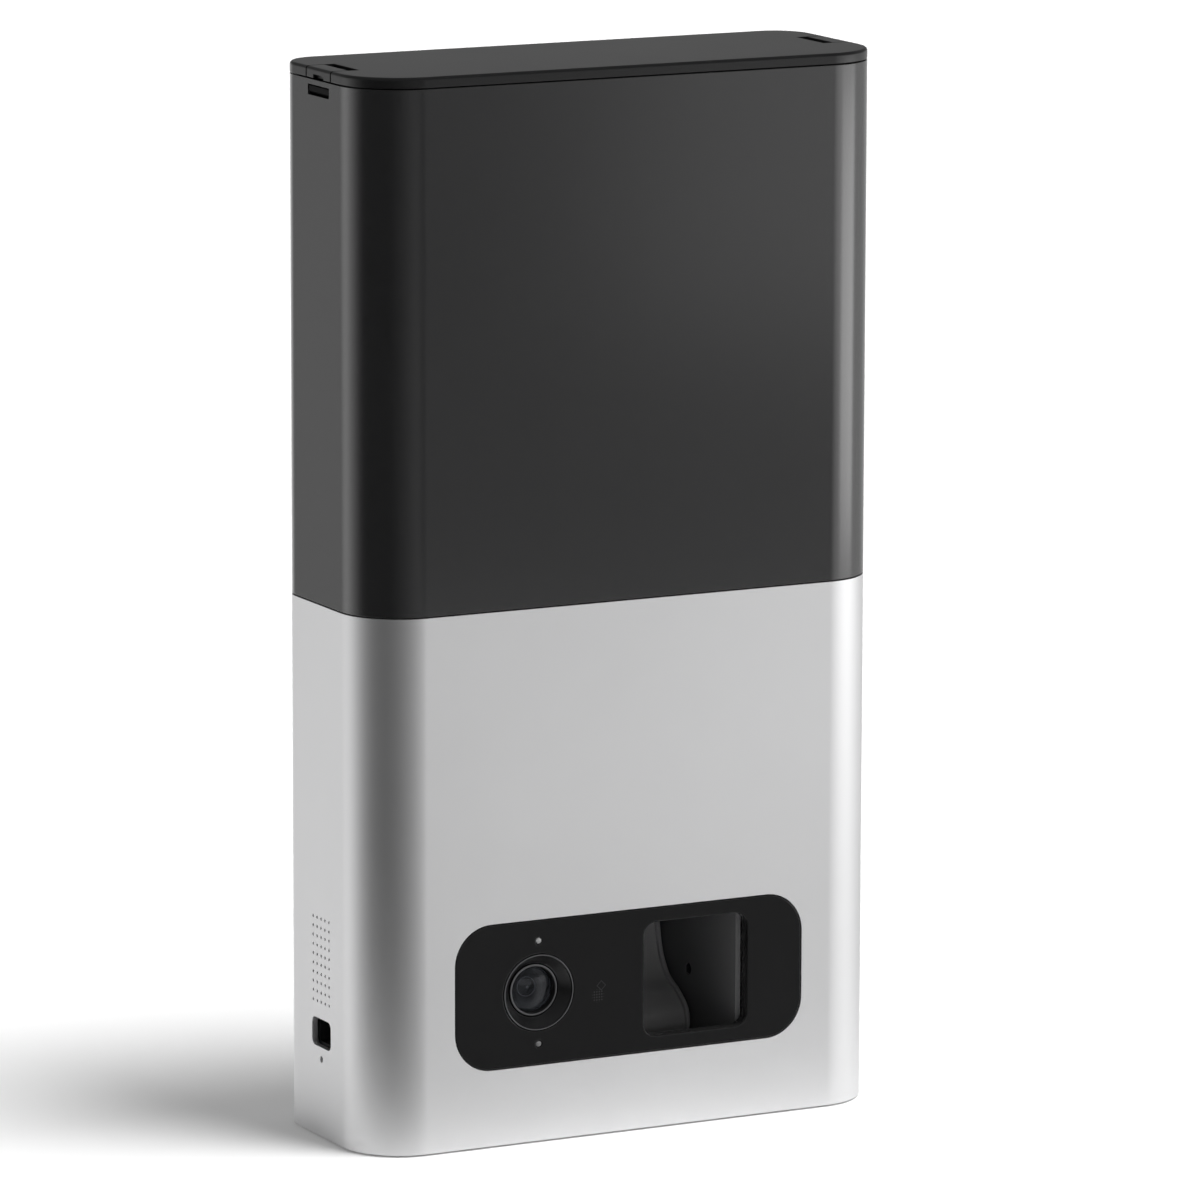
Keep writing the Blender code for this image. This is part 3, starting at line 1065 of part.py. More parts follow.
# Frame at the seam and the treat bin on it
FRAME_WALL = 2.0 * MM
BIN_WALL = 1.5 * MM
BIN_INSET = FIT_INSET + CLOSE_GAP
FUNNEL_WALL = 1.2 * MM
FUNNEL_FOOT = 0.7 * MM
FUNNEL_RISE = 53.0 * MM
SPOUT_CORNER = 2.0 * MM
SPOUT_LAP = 3.0 * MM
BIN_BOTTOM = FRAME_TOP_HEIGHT + GAP
FUNNEL_BOTTOM = BIN_BOTTOM + FUNNEL_FOOT
FUNNEL_TOP = FUNNEL_BOTTOM + FUNNEL_RISE
SPOUT_WIDTH = CHAMBER_RIGHT - CHAMBER_LEFT - 2 * GAP
SPOUT_DEPTH = 2 * (TUBE_HALF_DEPTH - CHUTE_WALL - GAP)


def make_mid_frame():
    frame = prism("mid_frame", [body_outline(FIT_INSET)], FRAME_BOTTOM, FRAME_TOP_HEIGHT)
    cut(frame, prism("cut_frame_inside", [body_outline(FIT_INSET + FRAME_WALL)],
                     FRAME_BOTTOM + FRAME_FLOOR, FRAME_TOP_HEIGHT + OVERRUN))
    hole = round_rect((WINDOW_X, 0.0), (SPOUT_WIDTH + 2 * GAP, SPOUT_DEPTH + 2 * GAP), SPOUT_CORNER)
    return cut(frame, prism("cut_frame_hole", [hole], FRAME_BOTTOM - OVERRUN,
                            FRAME_BOTTOM + FRAME_FLOOR + OVERRUN))


def make_treat_bin():
    tube = prism("treat_bin", [body_outline(BIN_INSET), body_outline(BIN_INSET + BIN_WALL)], BIN_BOTTOM,
                 BIN_TOP, material=GREY_PLASTIC)
    steps = SMALL_CORNER_STEPS
    throat = round_rect((WINDOW_X, 0.0), (SPOUT_WIDTH - 2 * FUNNEL_WALL, SPOUT_DEPTH - 2 * FUNNEL_WALL),
                        SPOUT_CORNER, steps)
    rings = [(body_outline(BIN_INSET + BIN_WALL - CLOSE_GAP, steps), FUNNEL_TOP)]
    rings += [(throat, FUNNEL_BOTTOM), (throat, COLLAR_TOP - SPOUT_LAP)]
    mesh = bpy.data.meshes.new("fuse_funnel")
    count = len(throat)
    points = [(x, y, height) for ring, height in rings for x, y in ring]
    faces = []
    for level in range(len(rings) - 1):
        for index in range(count):
            after = (index + 1) % count
            upper, lower = level * count, (level + 1) * count
            faces.append((lower + index, lower + after, upper + after, upper + index))
    mesh.from_pydata(points, [], faces)
    funnel = bpy.data.objects.new("fuse_funnel", mesh)
    PARTS.objects.link(funnel)
    wall = funnel.modifiers.new("wall", "SOLIDIFY")
    wall.thickness = FUNNEL_WALL
    wall.offset = 1.0
    wall.use_even_offset = True
    return fuse(tube, funnel)


# Main board on standoffs of the chassis
MAIN_BOARD_SIDE_GAP = 8.5 * MM
MAIN_BOARD_DRUM_GAP = 6.0 * MM
MAIN_BOARD_TOP_GAP = 5.2 * MM
MAIN_BOARD_HEIGHT = 58.0 * MM
STANDOFF = 6.5 * MM
STANDOFF_INSET = 4.5 * MM
MAIN_SCREW_LENGTH = 7.0 * MM
SHIELD_WIDTH = 24.0 * MM
SHIELD_HEIGHT = 28.0 * MM
SHIELD_DEPTH = 2.6 * MM
MAIN_BOARD_LEFT = MAIN_BOARD_SIDE_GAP - HALF_WIDTH
MAIN_BOARD_RIGHT = CHUTE_LEFT - MAIN_BOARD_DRUM_GAP
MAIN_BOARD_HIGH = CHASSIS_TOP - MAIN_BOARD_TOP_GAP
MAIN_BOARD_LOW = MAIN_BOARD_HIGH - MAIN_BOARD_HEIGHT
MAIN_BOARD_BACK = CHASSIS_FRONT - STANDOFF
MAIN_BOARD_FRONT = MAIN_BOARD_BACK - BOARD_THICKNESS
STANDOFF_PLACES = [(MAIN_BOARD_LEFT + STANDOFF_INSET, MAIN_BOARD_LOW + STANDOFF_INSET),
                   (MAIN_BOARD_RIGHT - STANDOFF_INSET, MAIN_BOARD_HIGH - STANDOFF_INSET),
                   (MAIN_BOARD_LEFT + STANDOFF_INSET, MAIN_BOARD_HIGH - STANDOFF_INSET),
                   (MAIN_BOARD_RIGHT - STANDOFF_INSET, MAIN_BOARD_LOW + STANDOFF_INSET)]
SCREWED_STANDOFFS = STANDOFF_PLACES[:2]
CHASSIS_SIDE_INSET = 12.0 * MM


def make_chassis():
    chassis = prism("chassis", [body_outline(FIT_INSET + GAP)], FLOOR_BOTTOM, FLOOR_TOP)
    half = HALF_WIDTH - CHASSIS_SIDE_INSET
    back = block("fuse_chassis_back", (-half, CHASSIS_FRONT, FLOOR_BOTTOM + GAP),
                 (half, CHASSIS_BACK - CLOSE_GAP, CHASSIS_TOP))
    fuse(chassis, back)
    for index, place in enumerate(BASE_SCREW_PLACES):
        fuse(chassis, rod(f"fuse_base_boss_{index}", place, SCREW_RADIUS + BOSS_WALL, FLOOR_TOP - GAP,
                          FLOOR_TOP + BOSS_HEIGHT))
        cut(chassis, rod(f"cut_base_pilot_{index}", place, SCREW_RADIUS + CLOSE_GAP,
                         FLOOR_BOTTOM - OVERRUN, FLOOR_TOP + BOSS_HEIGHT + OVERRUN))
    for index, place in enumerate(STANDOFF_PLACES):
        fuse(chassis, rod(f"fuse_standoff_{index}", place, POST_RADIUS, MAIN_BOARD_BACK + GAP,
                          CHASSIS_FRONT + GAP, "Y"))
    for index, place in enumerate(SCREWED_STANDOFFS):
        cut(chassis, rod(f"cut_standoff_{index}", place, SCREW_RADIUS + CLOSE_GAP, MAIN_BOARD_BACK - OVERRUN,
                         MAIN_BOARD_FRONT + MAIN_SCREW_LENGTH, "Y"))
    return chassis


def make_main_board():
    holes = [circle(place, SCREW_RADIUS + GAP) for place in SCREWED_STANDOFFS]
    outline = box_outline((MAIN_BOARD_LEFT, MAIN_BOARD_LOW), (MAIN_BOARD_RIGHT, MAIN_BOARD_HIGH))
    prism("main_board", [outline, *holes], MAIN_BOARD_FRONT, MAIN_BOARD_BACK, "Y", BOARD_GREEN)
    for index, (x, z) in enumerate(SCREWED_STANDOFFS):
        head = MAIN_BOARD_FRONT - GAP - SCREW_HEAD_HEIGHT
        screw(f"main_board_screw_{index + 1}", (x, head, z), POINT_BACK, MAIN_SCREW_LENGTH)
    centre_x = (MAIN_BOARD_LEFT + MAIN_BOARD_RIGHT) / 2
    centre_z = (MAIN_BOARD_LOW + MAIN_BOARD_HIGH) / 2
    block("radio_shield", (centre_x - SHIELD_WIDTH / 2, MAIN_BOARD_FRONT - GAP - SHIELD_DEPTH,
                           centre_z - SHIELD_HEIGHT / 2),
          (centre_x + SHIELD_WIDTH / 2, MAIN_BOARD_FRONT - GAP, centre_z + SHIELD_HEIGHT / 2), STEEL,
          SHIELD_DEPTH / 8)


# Side board with the power socket and the reset switch
SIDE_BOARD_INSET = 15.5 * MM
SIDE_BOARD_WIDTH = 14.0 * MM
SIDE_BOARD_LAP = 6.9 * MM
SOCKET_SHELL = 1.2 * MM
SOCKET_DEPTH = 7.5 * MM
TONGUE_LENGTH = 3.0 * MM
TONGUE_THICKNESS = 1.0 * MM
TONGUE_SIDE = 1.6 * MM
SWITCH_SIZE = 5.0 * MM
SWITCH_DEPTH = 4.0 * MM
BUTTON_RADIUS = 1.4 * MM
BUTTON_LENGTH = 6.0 * MM
BUTTON_TRAVEL = 0.4 * MM
BUTTON_BORE_DEPTH = 2.0 * MM
SIDE_BOARD_X = SIDE_BOARD_INSET - HALF_WIDTH
SIDE_BOARD_TOP = PORT_CENTRE_HEIGHT + SIDE_BOARD_LAP


def make_side_board():
    low_z = FLOOR_TOP + GAP
    block("side_board", (SIDE_BOARD_X, GRILLE_CENTRE_Y - SIDE_BOARD_WIDTH / 2, low_z),
          (SIDE_BOARD_X + BOARD_THICKNESS, GRILLE_CENTRE_Y + SIDE_BOARD_WIDTH / 2, SIDE_BOARD_TOP),
          BOARD_GREEN)
    mouth = -INNER_SIDE + GAP
    port_centre = (GRILLE_CENTRE_Y, PORT_CENTRE_HEIGHT)
    outer = round_rect(port_centre, (PORT_WIDTH + 2 * GAP, PORT_HEIGHT + 2 * GAP), PORT_CORNER)
    socket = prism("power_socket", [outer], mouth, SIDE_BOARD_X - GAP, "X", BLACK_PLASTIC)
    cavity_size = (PORT_WIDTH - SOCKET_SHELL, PORT_HEIGHT - SOCKET_SHELL)
    cavity = round_rect(port_centre, cavity_size, PORT_CORNER - SOCKET_SHELL / 2)
    cut(socket, prism("cut_socket", [cavity], mouth - OVERRUN, mouth + SOCKET_DEPTH, "X"))
    tongue_half = cavity_size[0] / 2 - TONGUE_SIDE
    fuse(socket, block("fuse_tongue", (mouth + SOCKET_DEPTH - TONGUE_LENGTH, GRILLE_CENTRE_Y - tongue_half,
                                       PORT_CENTRE_HEIGHT - TONGUE_THICKNESS / 2),
                       (mouth + SOCKET_DEPTH + OVERRUN, GRILLE_CENTRE_Y + tongue_half,
                        PORT_CENTRE_HEIGHT + TONGUE_THICKNESS / 2)))
    half = SWITCH_SIZE / 2
    switch_face = SIDE_BOARD_X - GAP - SWITCH_DEPTH
    switch = block("reset_switch", (switch_face, GRILLE_CENTRE_Y - half, RESET_HEIGHT - half),
                   (SIDE_BOARD_X - GAP, GRILLE_CENTRE_Y + half, RESET_HEIGHT + half), BLACK_PLASTIC)
    bore = (GRILLE_CENTRE_Y, RESET_HEIGHT)
    cut(switch, rod("cut_switch_bore", bore, BUTTON_RADIUS + CLOSE_GAP, switch_face - OVERRUN,
                    switch_face + BUTTON_BORE_DEPTH, "X"))
    button_end = switch_face + BUTTON_BORE_DEPTH - BUTTON_TRAVEL - GAP
    button = rod("reset_button", bore, BUTTON_RADIUS, button_end - BUTTON_LENGTH, button_end, "X",
                 GREY_PLASTIC)
    joint_empty("reset_button_joint", (button_end, *bore), [button])


# Speaker behind the grille holes
SPEAKER_WIDTH = 16.0 * MM
SPEAKER_HEIGHT = 26.0 * MM
SPEAKER_CORNER = 5.0 * MM
SPEAKER_FLANGE = 1.6 * MM
SPEAKER_CONE_DEPTH = 3.0 * MM
SPEAKER_BOX_DEPTH = 7.5 * MM
SPEAKER_RIM = 1.6 * MM


def make_speaker():
    front = -INNER_SIDE + GAP
    centre = (GRILLE_CENTRE_Y, GRILLE_CENTRE_HEIGHT)
    size = (SPEAKER_WIDTH, SPEAKER_HEIGHT)
    back = front + SPEAKER_FLANGE + SPEAKER_CONE_DEPTH
    driver = prism("speaker_driver", [round_rect(centre, size, SPEAKER_CORNER)], front, back, "X",
                   BLACK_PLASTIC)
    dish_size = [value - 2 * SPEAKER_RIM for value in size]
    dish = prism("cut_speaker_dish", [round_rect(centre, dish_size, SPEAKER_CORNER - SPEAKER_RIM)],
                 front - OVERRUN, front + SPEAKER_FLANGE, "X")
    cut(driver, dish)
    box = prism("speaker_box", [round_rect(centre, size, SPEAKER_CORNER)], back + GAP,
                back + GAP + SPEAKER_BOX_DEPTH, "X", BLACK_PLASTIC)
    add_bevel(box, SPEAKER_RIM / 2)


# Flat cable from the camera board up to the main board
RIBBON_WIDTH = 8.0 * MM
RIBBON_THICKNESS = 0.3 * MM
RIBBON_LAP = 6.0 * MM
RIBBON_STEPS = 10


def make_ribbon():
    """The cable lies against the back of one board, swings across, and ends on the front of the other."""
    near = CAMERA_BOARD_BACK + GAP
    far = MAIN_BOARD_FRONT - GAP - RIBBON_THICKNESS
    low = PANEL_CENTRE_HEIGHT + CAMERA_BOARD_HEIGHT / 2
    high = MAIN_BOARD_LOW + RIBBON_LAP
    middle = [(near, low - RIBBON_LAP)]
    for step in range(RIBBON_STEPS + 1):
        share = step / RIBBON_STEPS
        swing = (1.0 - math.cos(math.pi * share)) / 2
        middle.append((near + (far - near) * swing, low + (high - RIBBON_LAP - low) * share))
    middle.append((far, high))
    lifted = [(y + RIBBON_THICKNESS, z) for y, z in middle]
    prism("camera_ribbon", [middle + lifted[::-1]], CAMERA_X - RIBBON_WIDTH / 2,
          CAMERA_X + RIBBON_WIDTH / 2, "X", FLEX_FILM)


def build():
    make_foot_pad()
    make_base_cover()
    make_base_screws()
    make_lower_sleeve()
    make_upper_sleeve()
    make_chassis()
    make_mid_frame()
    make_front_panel()
    make_dot("status_light", 1)
    make_dot("light_sensor", -1)
    make_camera()
    make_night_light()
    make_launch_chute()
    make_paddle()
    make_launch_train()
    make_launch_bracket()
    make_bumper()
    make_paddle_spring()
    make_dosing_housing()
    make_dosing_cover()
    make_dosing_wheel()
    make_dosing_drive()
    make_treat_bin()
    make_lid()
    make_latch(-1)
    make_latch(1)
    make_main_board()
    make_side_board()
    make_speaker()
    make_ribbon()


build()
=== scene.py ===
"""Looks of the treat tossing pet camera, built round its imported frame. Metres, +Z up, front at -Y."""
import math

import bmesh
import bpy
from mathutils import Matrix, Vector


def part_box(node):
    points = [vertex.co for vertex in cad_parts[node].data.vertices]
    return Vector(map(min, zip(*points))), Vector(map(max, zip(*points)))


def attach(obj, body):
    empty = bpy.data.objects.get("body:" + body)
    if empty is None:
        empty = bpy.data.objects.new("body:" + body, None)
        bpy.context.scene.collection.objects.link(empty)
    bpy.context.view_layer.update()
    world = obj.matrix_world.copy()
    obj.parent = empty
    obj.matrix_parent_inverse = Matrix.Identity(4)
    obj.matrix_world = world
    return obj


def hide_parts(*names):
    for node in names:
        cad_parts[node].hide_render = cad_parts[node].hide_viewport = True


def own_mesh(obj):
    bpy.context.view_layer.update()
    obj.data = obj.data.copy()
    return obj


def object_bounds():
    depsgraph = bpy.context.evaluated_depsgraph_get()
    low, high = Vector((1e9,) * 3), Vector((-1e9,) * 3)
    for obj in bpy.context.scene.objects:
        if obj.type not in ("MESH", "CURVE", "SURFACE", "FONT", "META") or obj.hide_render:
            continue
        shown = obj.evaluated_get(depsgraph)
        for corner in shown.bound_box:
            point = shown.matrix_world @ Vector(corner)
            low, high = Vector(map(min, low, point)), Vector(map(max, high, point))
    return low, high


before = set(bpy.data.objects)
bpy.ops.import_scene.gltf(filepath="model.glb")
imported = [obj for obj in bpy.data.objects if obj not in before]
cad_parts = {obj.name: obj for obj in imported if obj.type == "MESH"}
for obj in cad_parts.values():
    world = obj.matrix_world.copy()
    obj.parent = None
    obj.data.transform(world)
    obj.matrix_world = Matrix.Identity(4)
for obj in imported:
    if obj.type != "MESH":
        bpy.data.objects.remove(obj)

frame_low, frame_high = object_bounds()
MM = 0.001
DEGREE = math.radians(1.0)

# Studio
# A plain white floor under soft light from the right and front. The room is bright on the right and
# behind and dim on the left, which metal shows as a dark band down its left corner. Shiny surfaces see
# three small cards too, and the floor only near the foot.
CAMERA_PLACE = (-0.93345, -1.82770, 0.51296)
CAMERA_AZIMUTH = -27.169 * DEGREE
CAMERA_DROP = 10.520 * DEGREE
CAMERA_ROLL = 0.139 * DEGREE
CAMERA_LENS = 248.68
SENSOR_WIDTH = 36.0
# The walls: (bearing in degrees from the front, brightness). They fade to the ceiling over a rise.
ROOM_STOPS = ((-180, 1.5), (-158, 0.56), (-150, 0.6), (-140, 1.5), (-130, 1.8), (-120, 1.3), (-100, 0.3),
              (-90, 0.06), (-40, 0.03), (-20, 0.14), (8, 0.38), (20, 0.15), (29, 0.22), (39, 1.55), (56, 1.2),
              (86, 1.2), (108, 0.8), (130, 0.8), (155, 1.4), (180, 1.5))
ROOM_RISE = (-0.08, 0.2)
ROOM_ABOVE = 0.21
ROOM_FILL = 0.34
FLOOR_WIDTH = 12.0
FLOOR_COLOUR = 0.86
FLOOR_GLOW = 0.11
MIRRORED_FLOOR = (0.02, 0.09)
FOOT_SHAPE = (0.4, 1.0, 0.0)
TARGET = (0.06, -0.02, 0.2)
KEY_PLACE = (0.693, -0.653, 2.21)
KEY_ANGLE = 27 * DEGREE
KEY_POWER = 3.3
# The cards: name, place, size and power.
CARDS = (("bounce_card", (0.34, -0.45, 0.22), (0.22, 0.2), 0.06),
         ("strip_light", (0.50, -0.25, 0.13), (0.28, 0.15), 0.31),
         ("low_card", (0.12, -0.29, 0.035), (0.26, 0.05), 0.03))

studio = bpy.context.scene
studio.view_settings.view_transform = "Standard"


def feed(tree, socket, value):
    """Sets a socket to a plain value, or joins another node's output to it."""
    if isinstance(value, bpy.types.NodeSocket):
        tree.links.new(value, socket)
    else:
        socket.default_value = value


def node_in(tree, kind, inputs=None, **settings):
    """Adds a node with its own settings. Its inputs are named or numbered, and get values or sockets."""
    node = tree.nodes.new(kind)
    for label, value in settings.items():
        setattr(node, label, value)
    for label, value in (inputs or {}).items():
        feed(tree, node.inputs[label], value)
    return node


def maths(tree, operation, *values):
    """The result of a Math node on sockets or plain numbers."""
    return node_in(tree, "ShaderNodeMath", dict(enumerate(values)), operation=operation).outputs[0]


def mixed(tree, factor, first, second, kind="FLOAT", **settings):
    """The first value where the factor is 0 and the second where it is 1."""
    values = {"Factor": factor, "A": first, "B": second}
    return node_in(tree, "ShaderNodeMix", values, data_type=kind, **settings).outputs["Result"]


def faded(tree, value, start, end):
    """A smooth rise from 0 to 1 while a value goes from start to end."""
    limits = {"Value": value, "From Min": start, "From Max": end}
    return node_in(tree, "ShaderNodeMapRange", limits, interpolation_type="SMOOTHSTEP").outputs[0]


def grey(value):
    return (value, value, value, 1.0)


def from_model(name, model, skin=None):
    """Turns a bmesh into an object of the scene."""
    mesh = bpy.data.meshes.new(name)
    model.to_mesh(mesh)
    model.free()
    if skin:
        mesh.materials.append(skin)
    obj = bpy.data.objects.new(name, mesh)
    studio.collection.objects.link(obj)
    return obj


def build_room():
    """Shiny surfaces see the walls and the ceiling, matt ones an even fill and the camera plain white."""
    world = bpy.data.worlds.new("studio_room")
    world.use_nodes = True
    tree = world.node_tree
    tree.nodes.clear()
    direction = node_in(tree, "ShaderNodeTexCoord").outputs["Generated"]
    split = node_in(tree, "ShaderNodeSeparateXYZ", {0: direction}).outputs
    bearing = maths(tree, "ARCTAN2", split["X"], maths(tree, "MULTIPLY", split["Y"], -1.0))
    share = maths(tree, "ADD", maths(tree, "DIVIDE", bearing, 2 * math.pi), 0.5)
    brightest = max(value for angle, value in ROOM_STOPS)
    ramp = node_in(tree, "ShaderNodeValToRGB", {0: share})
    elements = ramp.color_ramp.elements
    while len(elements) < len(ROOM_STOPS):
        elements.new(0.5)
    for element, (angle, value) in zip(elements, ROOM_STOPS):
        element.position = angle / 360 + 0.5
        element.color = grey(value / brightest)
    walls = maths(tree, "MULTIPLY", ramp.outputs[0], brightest)
    mirrored = mixed(tree, faded(tree, split["Z"], *ROOM_RISE), walls, ROOM_ABOVE)
    path = node_in(tree, "ShaderNodeLightPath").outputs
    light = mixed(tree, path["Is Glossy Ray"], ROOM_FILL, mirrored)
    seen = maths(tree, "MAXIMUM", path["Is Camera Ray"], path["Is Transmission Ray"])
    sky = node_in(tree, "ShaderNodeBackground", {"Strength": mixed(tree, seen, light, 1.0)})
    node_in(tree, "ShaderNodeOutputWorld", {"Surface": sky.outputs[0]})
    studio.world = world


def build_floor():
    """A white floor that keeps shadows. Shiny surfaces see it near the foot, and past that the room."""
    paper = bpy.data.materials.new("white_floor")
    paper.use_nodes = True
    tree = paper.node_tree
    tree.nodes.clear()
    path = node_in(tree, "ShaderNodeLightPath").outputs
    matt = node_in(tree, "ShaderNodeBsdfDiffuse", {"Color": grey(FLOOR_COLOUR)})
    glow = node_in(tree, "ShaderNodeEmission",
                   {"Strength": maths(tree, "MULTIPLY", path["Is Camera Ray"], FLOOR_GLOW)})
    lit = node_in(tree, "ShaderNodeAddShader", {0: matt.outputs[0], 1: glow.outputs[0]})
    clear = node_in(tree, "ShaderNodeBsdfTransparent")
    place = node_in(tree, "ShaderNodeTexCoord").outputs["Object"]
    shape = node_in(tree, "ShaderNodeVectorMath", {0: place, 1: FOOT_SHAPE}, operation="MULTIPLY")
    away = node_in(tree, "ShaderNodeVectorMath", {0: shape.outputs[0]}, operation="LENGTH").outputs["Value"]
    share = maths(tree, "MULTIPLY", path["Is Glossy Ray"], faded(tree, away, *MIRRORED_FLOOR))
    choice = node_in(tree, "ShaderNodeMixShader", {0: share, 1: lit.outputs[0], 2: clear.outputs[0]})
    node_in(tree, "ShaderNodeOutputMaterial", {"Surface": choice.outputs[0]})
    model = bmesh.new()
    bmesh.ops.create_grid(model, x_segments=1, y_segments=1, size=FLOOR_WIDTH / 2)
    floor = from_model("studio_floor", model, paper)


def lamp(name, kind, place, power, target=TARGET):
    """A light at a place that faces a target."""
    light = bpy.data.lights.new(name, kind)
    light.energy = power
    holder = bpy.data.objects.new(name, light)
    holder.location = place
    holder.rotation_euler = (Vector(place) - Vector(target)).to_track_quat("Z", "Y").to_euler()
    studio.collection.objects.link(holder)
    return holder


camera = bpy.data.objects.new("photo_camera", bpy.data.cameras.new("photo_camera"))
camera.data.lens = CAMERA_LENS
camera.data.sensor_width = SENSOR_WIDTH
camera.location = CAMERA_PLACE
camera_turn = Matrix.Rotation(CAMERA_AZIMUTH, 3, "Z") @ Matrix.Rotation(90 * DEGREE - CAMERA_DROP, 3, "X")
camera.rotation_euler = (camera_turn @ Matrix.Rotation(CAMERA_ROLL, 3, "Z")).to_euler()
studio.collection.objects.link(camera)
studio.camera = camera
build_room()
build_floor()
key_light = lamp("key_light", "SUN", KEY_PLACE, KEY_POWER)
key_light.data.angle = KEY_ANGLE
key_light.visible_glossy = False
for card_name, card_place, card_size, card_power in CARDS:
    card = lamp(card_name, "AREA", card_place, card_power, (TARGET[0], TARGET[1], card_place[2]))
    card.data.shape = "RECTANGLE"
    card.data.size, card.data.size_y = card_size
    card.visible_diffuse = False
    card.visible_camera = False

# Lower sleeve
# An extruded aluminium tube, sawn to length, with the panel's window, the speaker holes, the power
# port and the reset hole machined in it. It is bead blasted and anodised in its own silver colour.
BODY_WIDTH = frame_high.x - frame_low.x
BODY_DEPTH = frame_high.y - frame_low.y
FRONT_CORNER = 16.0 * MM
REAR_CORNER = 10.0 * MM
SLEEVE_WALL = 1.6 * MM
CORNER_POINTS = 28
SLEEVE_EDGE = 0.1 * MM
WELD = 0.001 * MM
OVERRUN = 1.0 * MM
SHARP = 32 * DEGREE
SMOOTH_UNDER = 50 * DEGREE
GRAIN_SCALE = 5200.0
GRAIN_DEPTH = 0.02 * MM
CLOUD_SCALE = 22.0
CLOUD_SPREAD = 0.08
NOISE_DETAIL = 3.0
panel_low, panel_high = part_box("front_panel")
PANEL_MIDDLE = 38.6 * MM
PANEL_CENTRE = ((panel_low.x + panel_high.x) / 2, PANEL_MIDDLE)
PANEL_SIZE = (97.6 * MM, 37.0 * MM)
PANEL_CORNER = 10.0 * MM
PANEL_FIT = 0.15 * MM
SIDE_MIDDLE_Y = 2.0 * MM
GRILLE_MIDDLE = 45.8 * MM
GRILLE_COUNT = (5, 10)
GRILLE_PITCH = (2.3 * MM, 2.37 * MM)
GRILLE_HOLE = 0.37 * MM
GRILLE_SIDES = 16
PORT_SIZE = (10.8 * MM, 7.2 * MM)
PORT_MIDDLE = 27.1 * MM
PORT_CORNER = 1.6 * MM
RESET_MIDDLE = 20.4 * MM
RESET_HOLE = 0.8 * MM


def noise_in(tree, scale):
    """Noise on Object coordinates, at so many ripples a metre."""
    place = node_in(tree, "ShaderNodeTexCoord").outputs["Object"]
    values = {"Vector": place, "Scale": scale, "Detail": NOISE_DETAIL}
    return node_in(tree, "ShaderNodeTexNoise", values).outputs["Fac"]


def build_grain_group():
    """The fine pits of a blasted or spark-eroded face, with slow clouds of handling over them."""
    tree = bpy.data.node_groups.new("surface_grain", "ShaderNodeTree")
    for label, value in (("Grain", GRAIN_SCALE), ("Clouds", CLOUD_SCALE), ("Spread", CLOUD_SPREAD)):
        socket = tree.interface.new_socket(label, in_out="INPUT", socket_type="NodeSocketFloat")
        socket.default_value = value
    for label in ("Height", "Tone", "Polish"):
        tree.interface.new_socket(label, in_out="OUTPUT", socket_type="NodeSocketFloat")
    given = node_in(tree, "NodeGroupInput").outputs
    pits = noise_in(tree, given["Grain"])
    clouds = maths(tree, "SUBTRACT", noise_in(tree, given["Clouds"]), 0.5)
    speckle = maths(tree, "ADD", maths(tree, "SUBTRACT", pits, 0.5), clouds)
    tone = maths(tree, "ADD", maths(tree, "MULTIPLY", clouds, given["Spread"]), 1.0)
    polish = maths(tree, "MULTIPLY", speckle, given["Spread"])
    node_in(tree, "NodeGroupOutput", {"Height": pits, "Tone": tone, "Polish": polish})
    return tree


surface_grain = build_grain_group()


def finish(name, colour, roughness, metallic=0.0, grain=GRAIN_SCALE, depth=GRAIN_DEPTH, bump=0.15,
           spread=CLOUD_SPREAD, **plain):
    """A surface finish: a Principled shader fed by the grain group. Plain values go on its own sockets."""
    skin = bpy.data.materials.new(name)
    skin.use_nodes = True
    skin.diffuse_color = (*colour, 1.0)
    tree = skin.node_tree
    effect = node_in(tree, "ShaderNodeGroup", {"Grain": grain, "Spread": spread},
                     node_tree=surface_grain).outputs
    relief = node_in(tree, "ShaderNodeBump",
                     {"Strength": bump, "Distance": depth, "Height": effect["Height"]})
    rough = maths(tree, "ADD", maths(tree, "MULTIPLY", effect["Polish"], roughness), roughness)
    tint = mixed(tree, 1.0, (*colour, 1.0), effect["Tone"], "RGBA", blend_type="MULTIPLY")
    values = {"Metallic": metallic, "Base Color": tint, "Roughness": rough, "Normal": relief.outputs[0]}
    values.update({label.replace("_", " "): value for label, value in plain.items()})
    for label, value in values.items():
        feed(tree, tree.nodes["Principled BSDF"].inputs[label], value)
    return skin


def geometry_tree(name, **inputs):
    """An empty geometry tree with named inputs and a finish, and the sockets that give them."""
    tree = bpy.data.node_groups.new(name, "GeometryNodeTree")
    tree.interface.new_socket("Geometry", in_out="OUTPUT", socket_type="NodeSocketGeometry")
    for label, kind in (*inputs.items(), ("Finish", "Material")):
        tree.interface.new_socket(label, in_out="INPUT", socket_type=f"NodeSocket{kind}")
    return tree, node_in(tree, "NodeGroupInput").outputs


def end_tree(tree, given, geometry):
    """Every tree ends in real meshes that carry their finish."""
    real = node_in(tree, "GeometryNodeRealizeInstances", {"Geometry": geometry}).outputs[0]
    painted = node_in(tree, "GeometryNodeSetMaterial", {"Geometry": real, "Material": given["Finish"]})
    node_in(tree, "NodeGroupOutput", {0: painted.outputs[0]})
    return tree


def baked(obj):
    """The evaluated mesh of an object with its modifiers, kept in the object's own place."""
    graph = bpy.context.evaluated_depsgraph_get()
    mesh = bpy.data.meshes.new_from_object(obj.evaluated_get(graph))
    obj.modifiers.clear()
    obj.data = mesh
    return obj


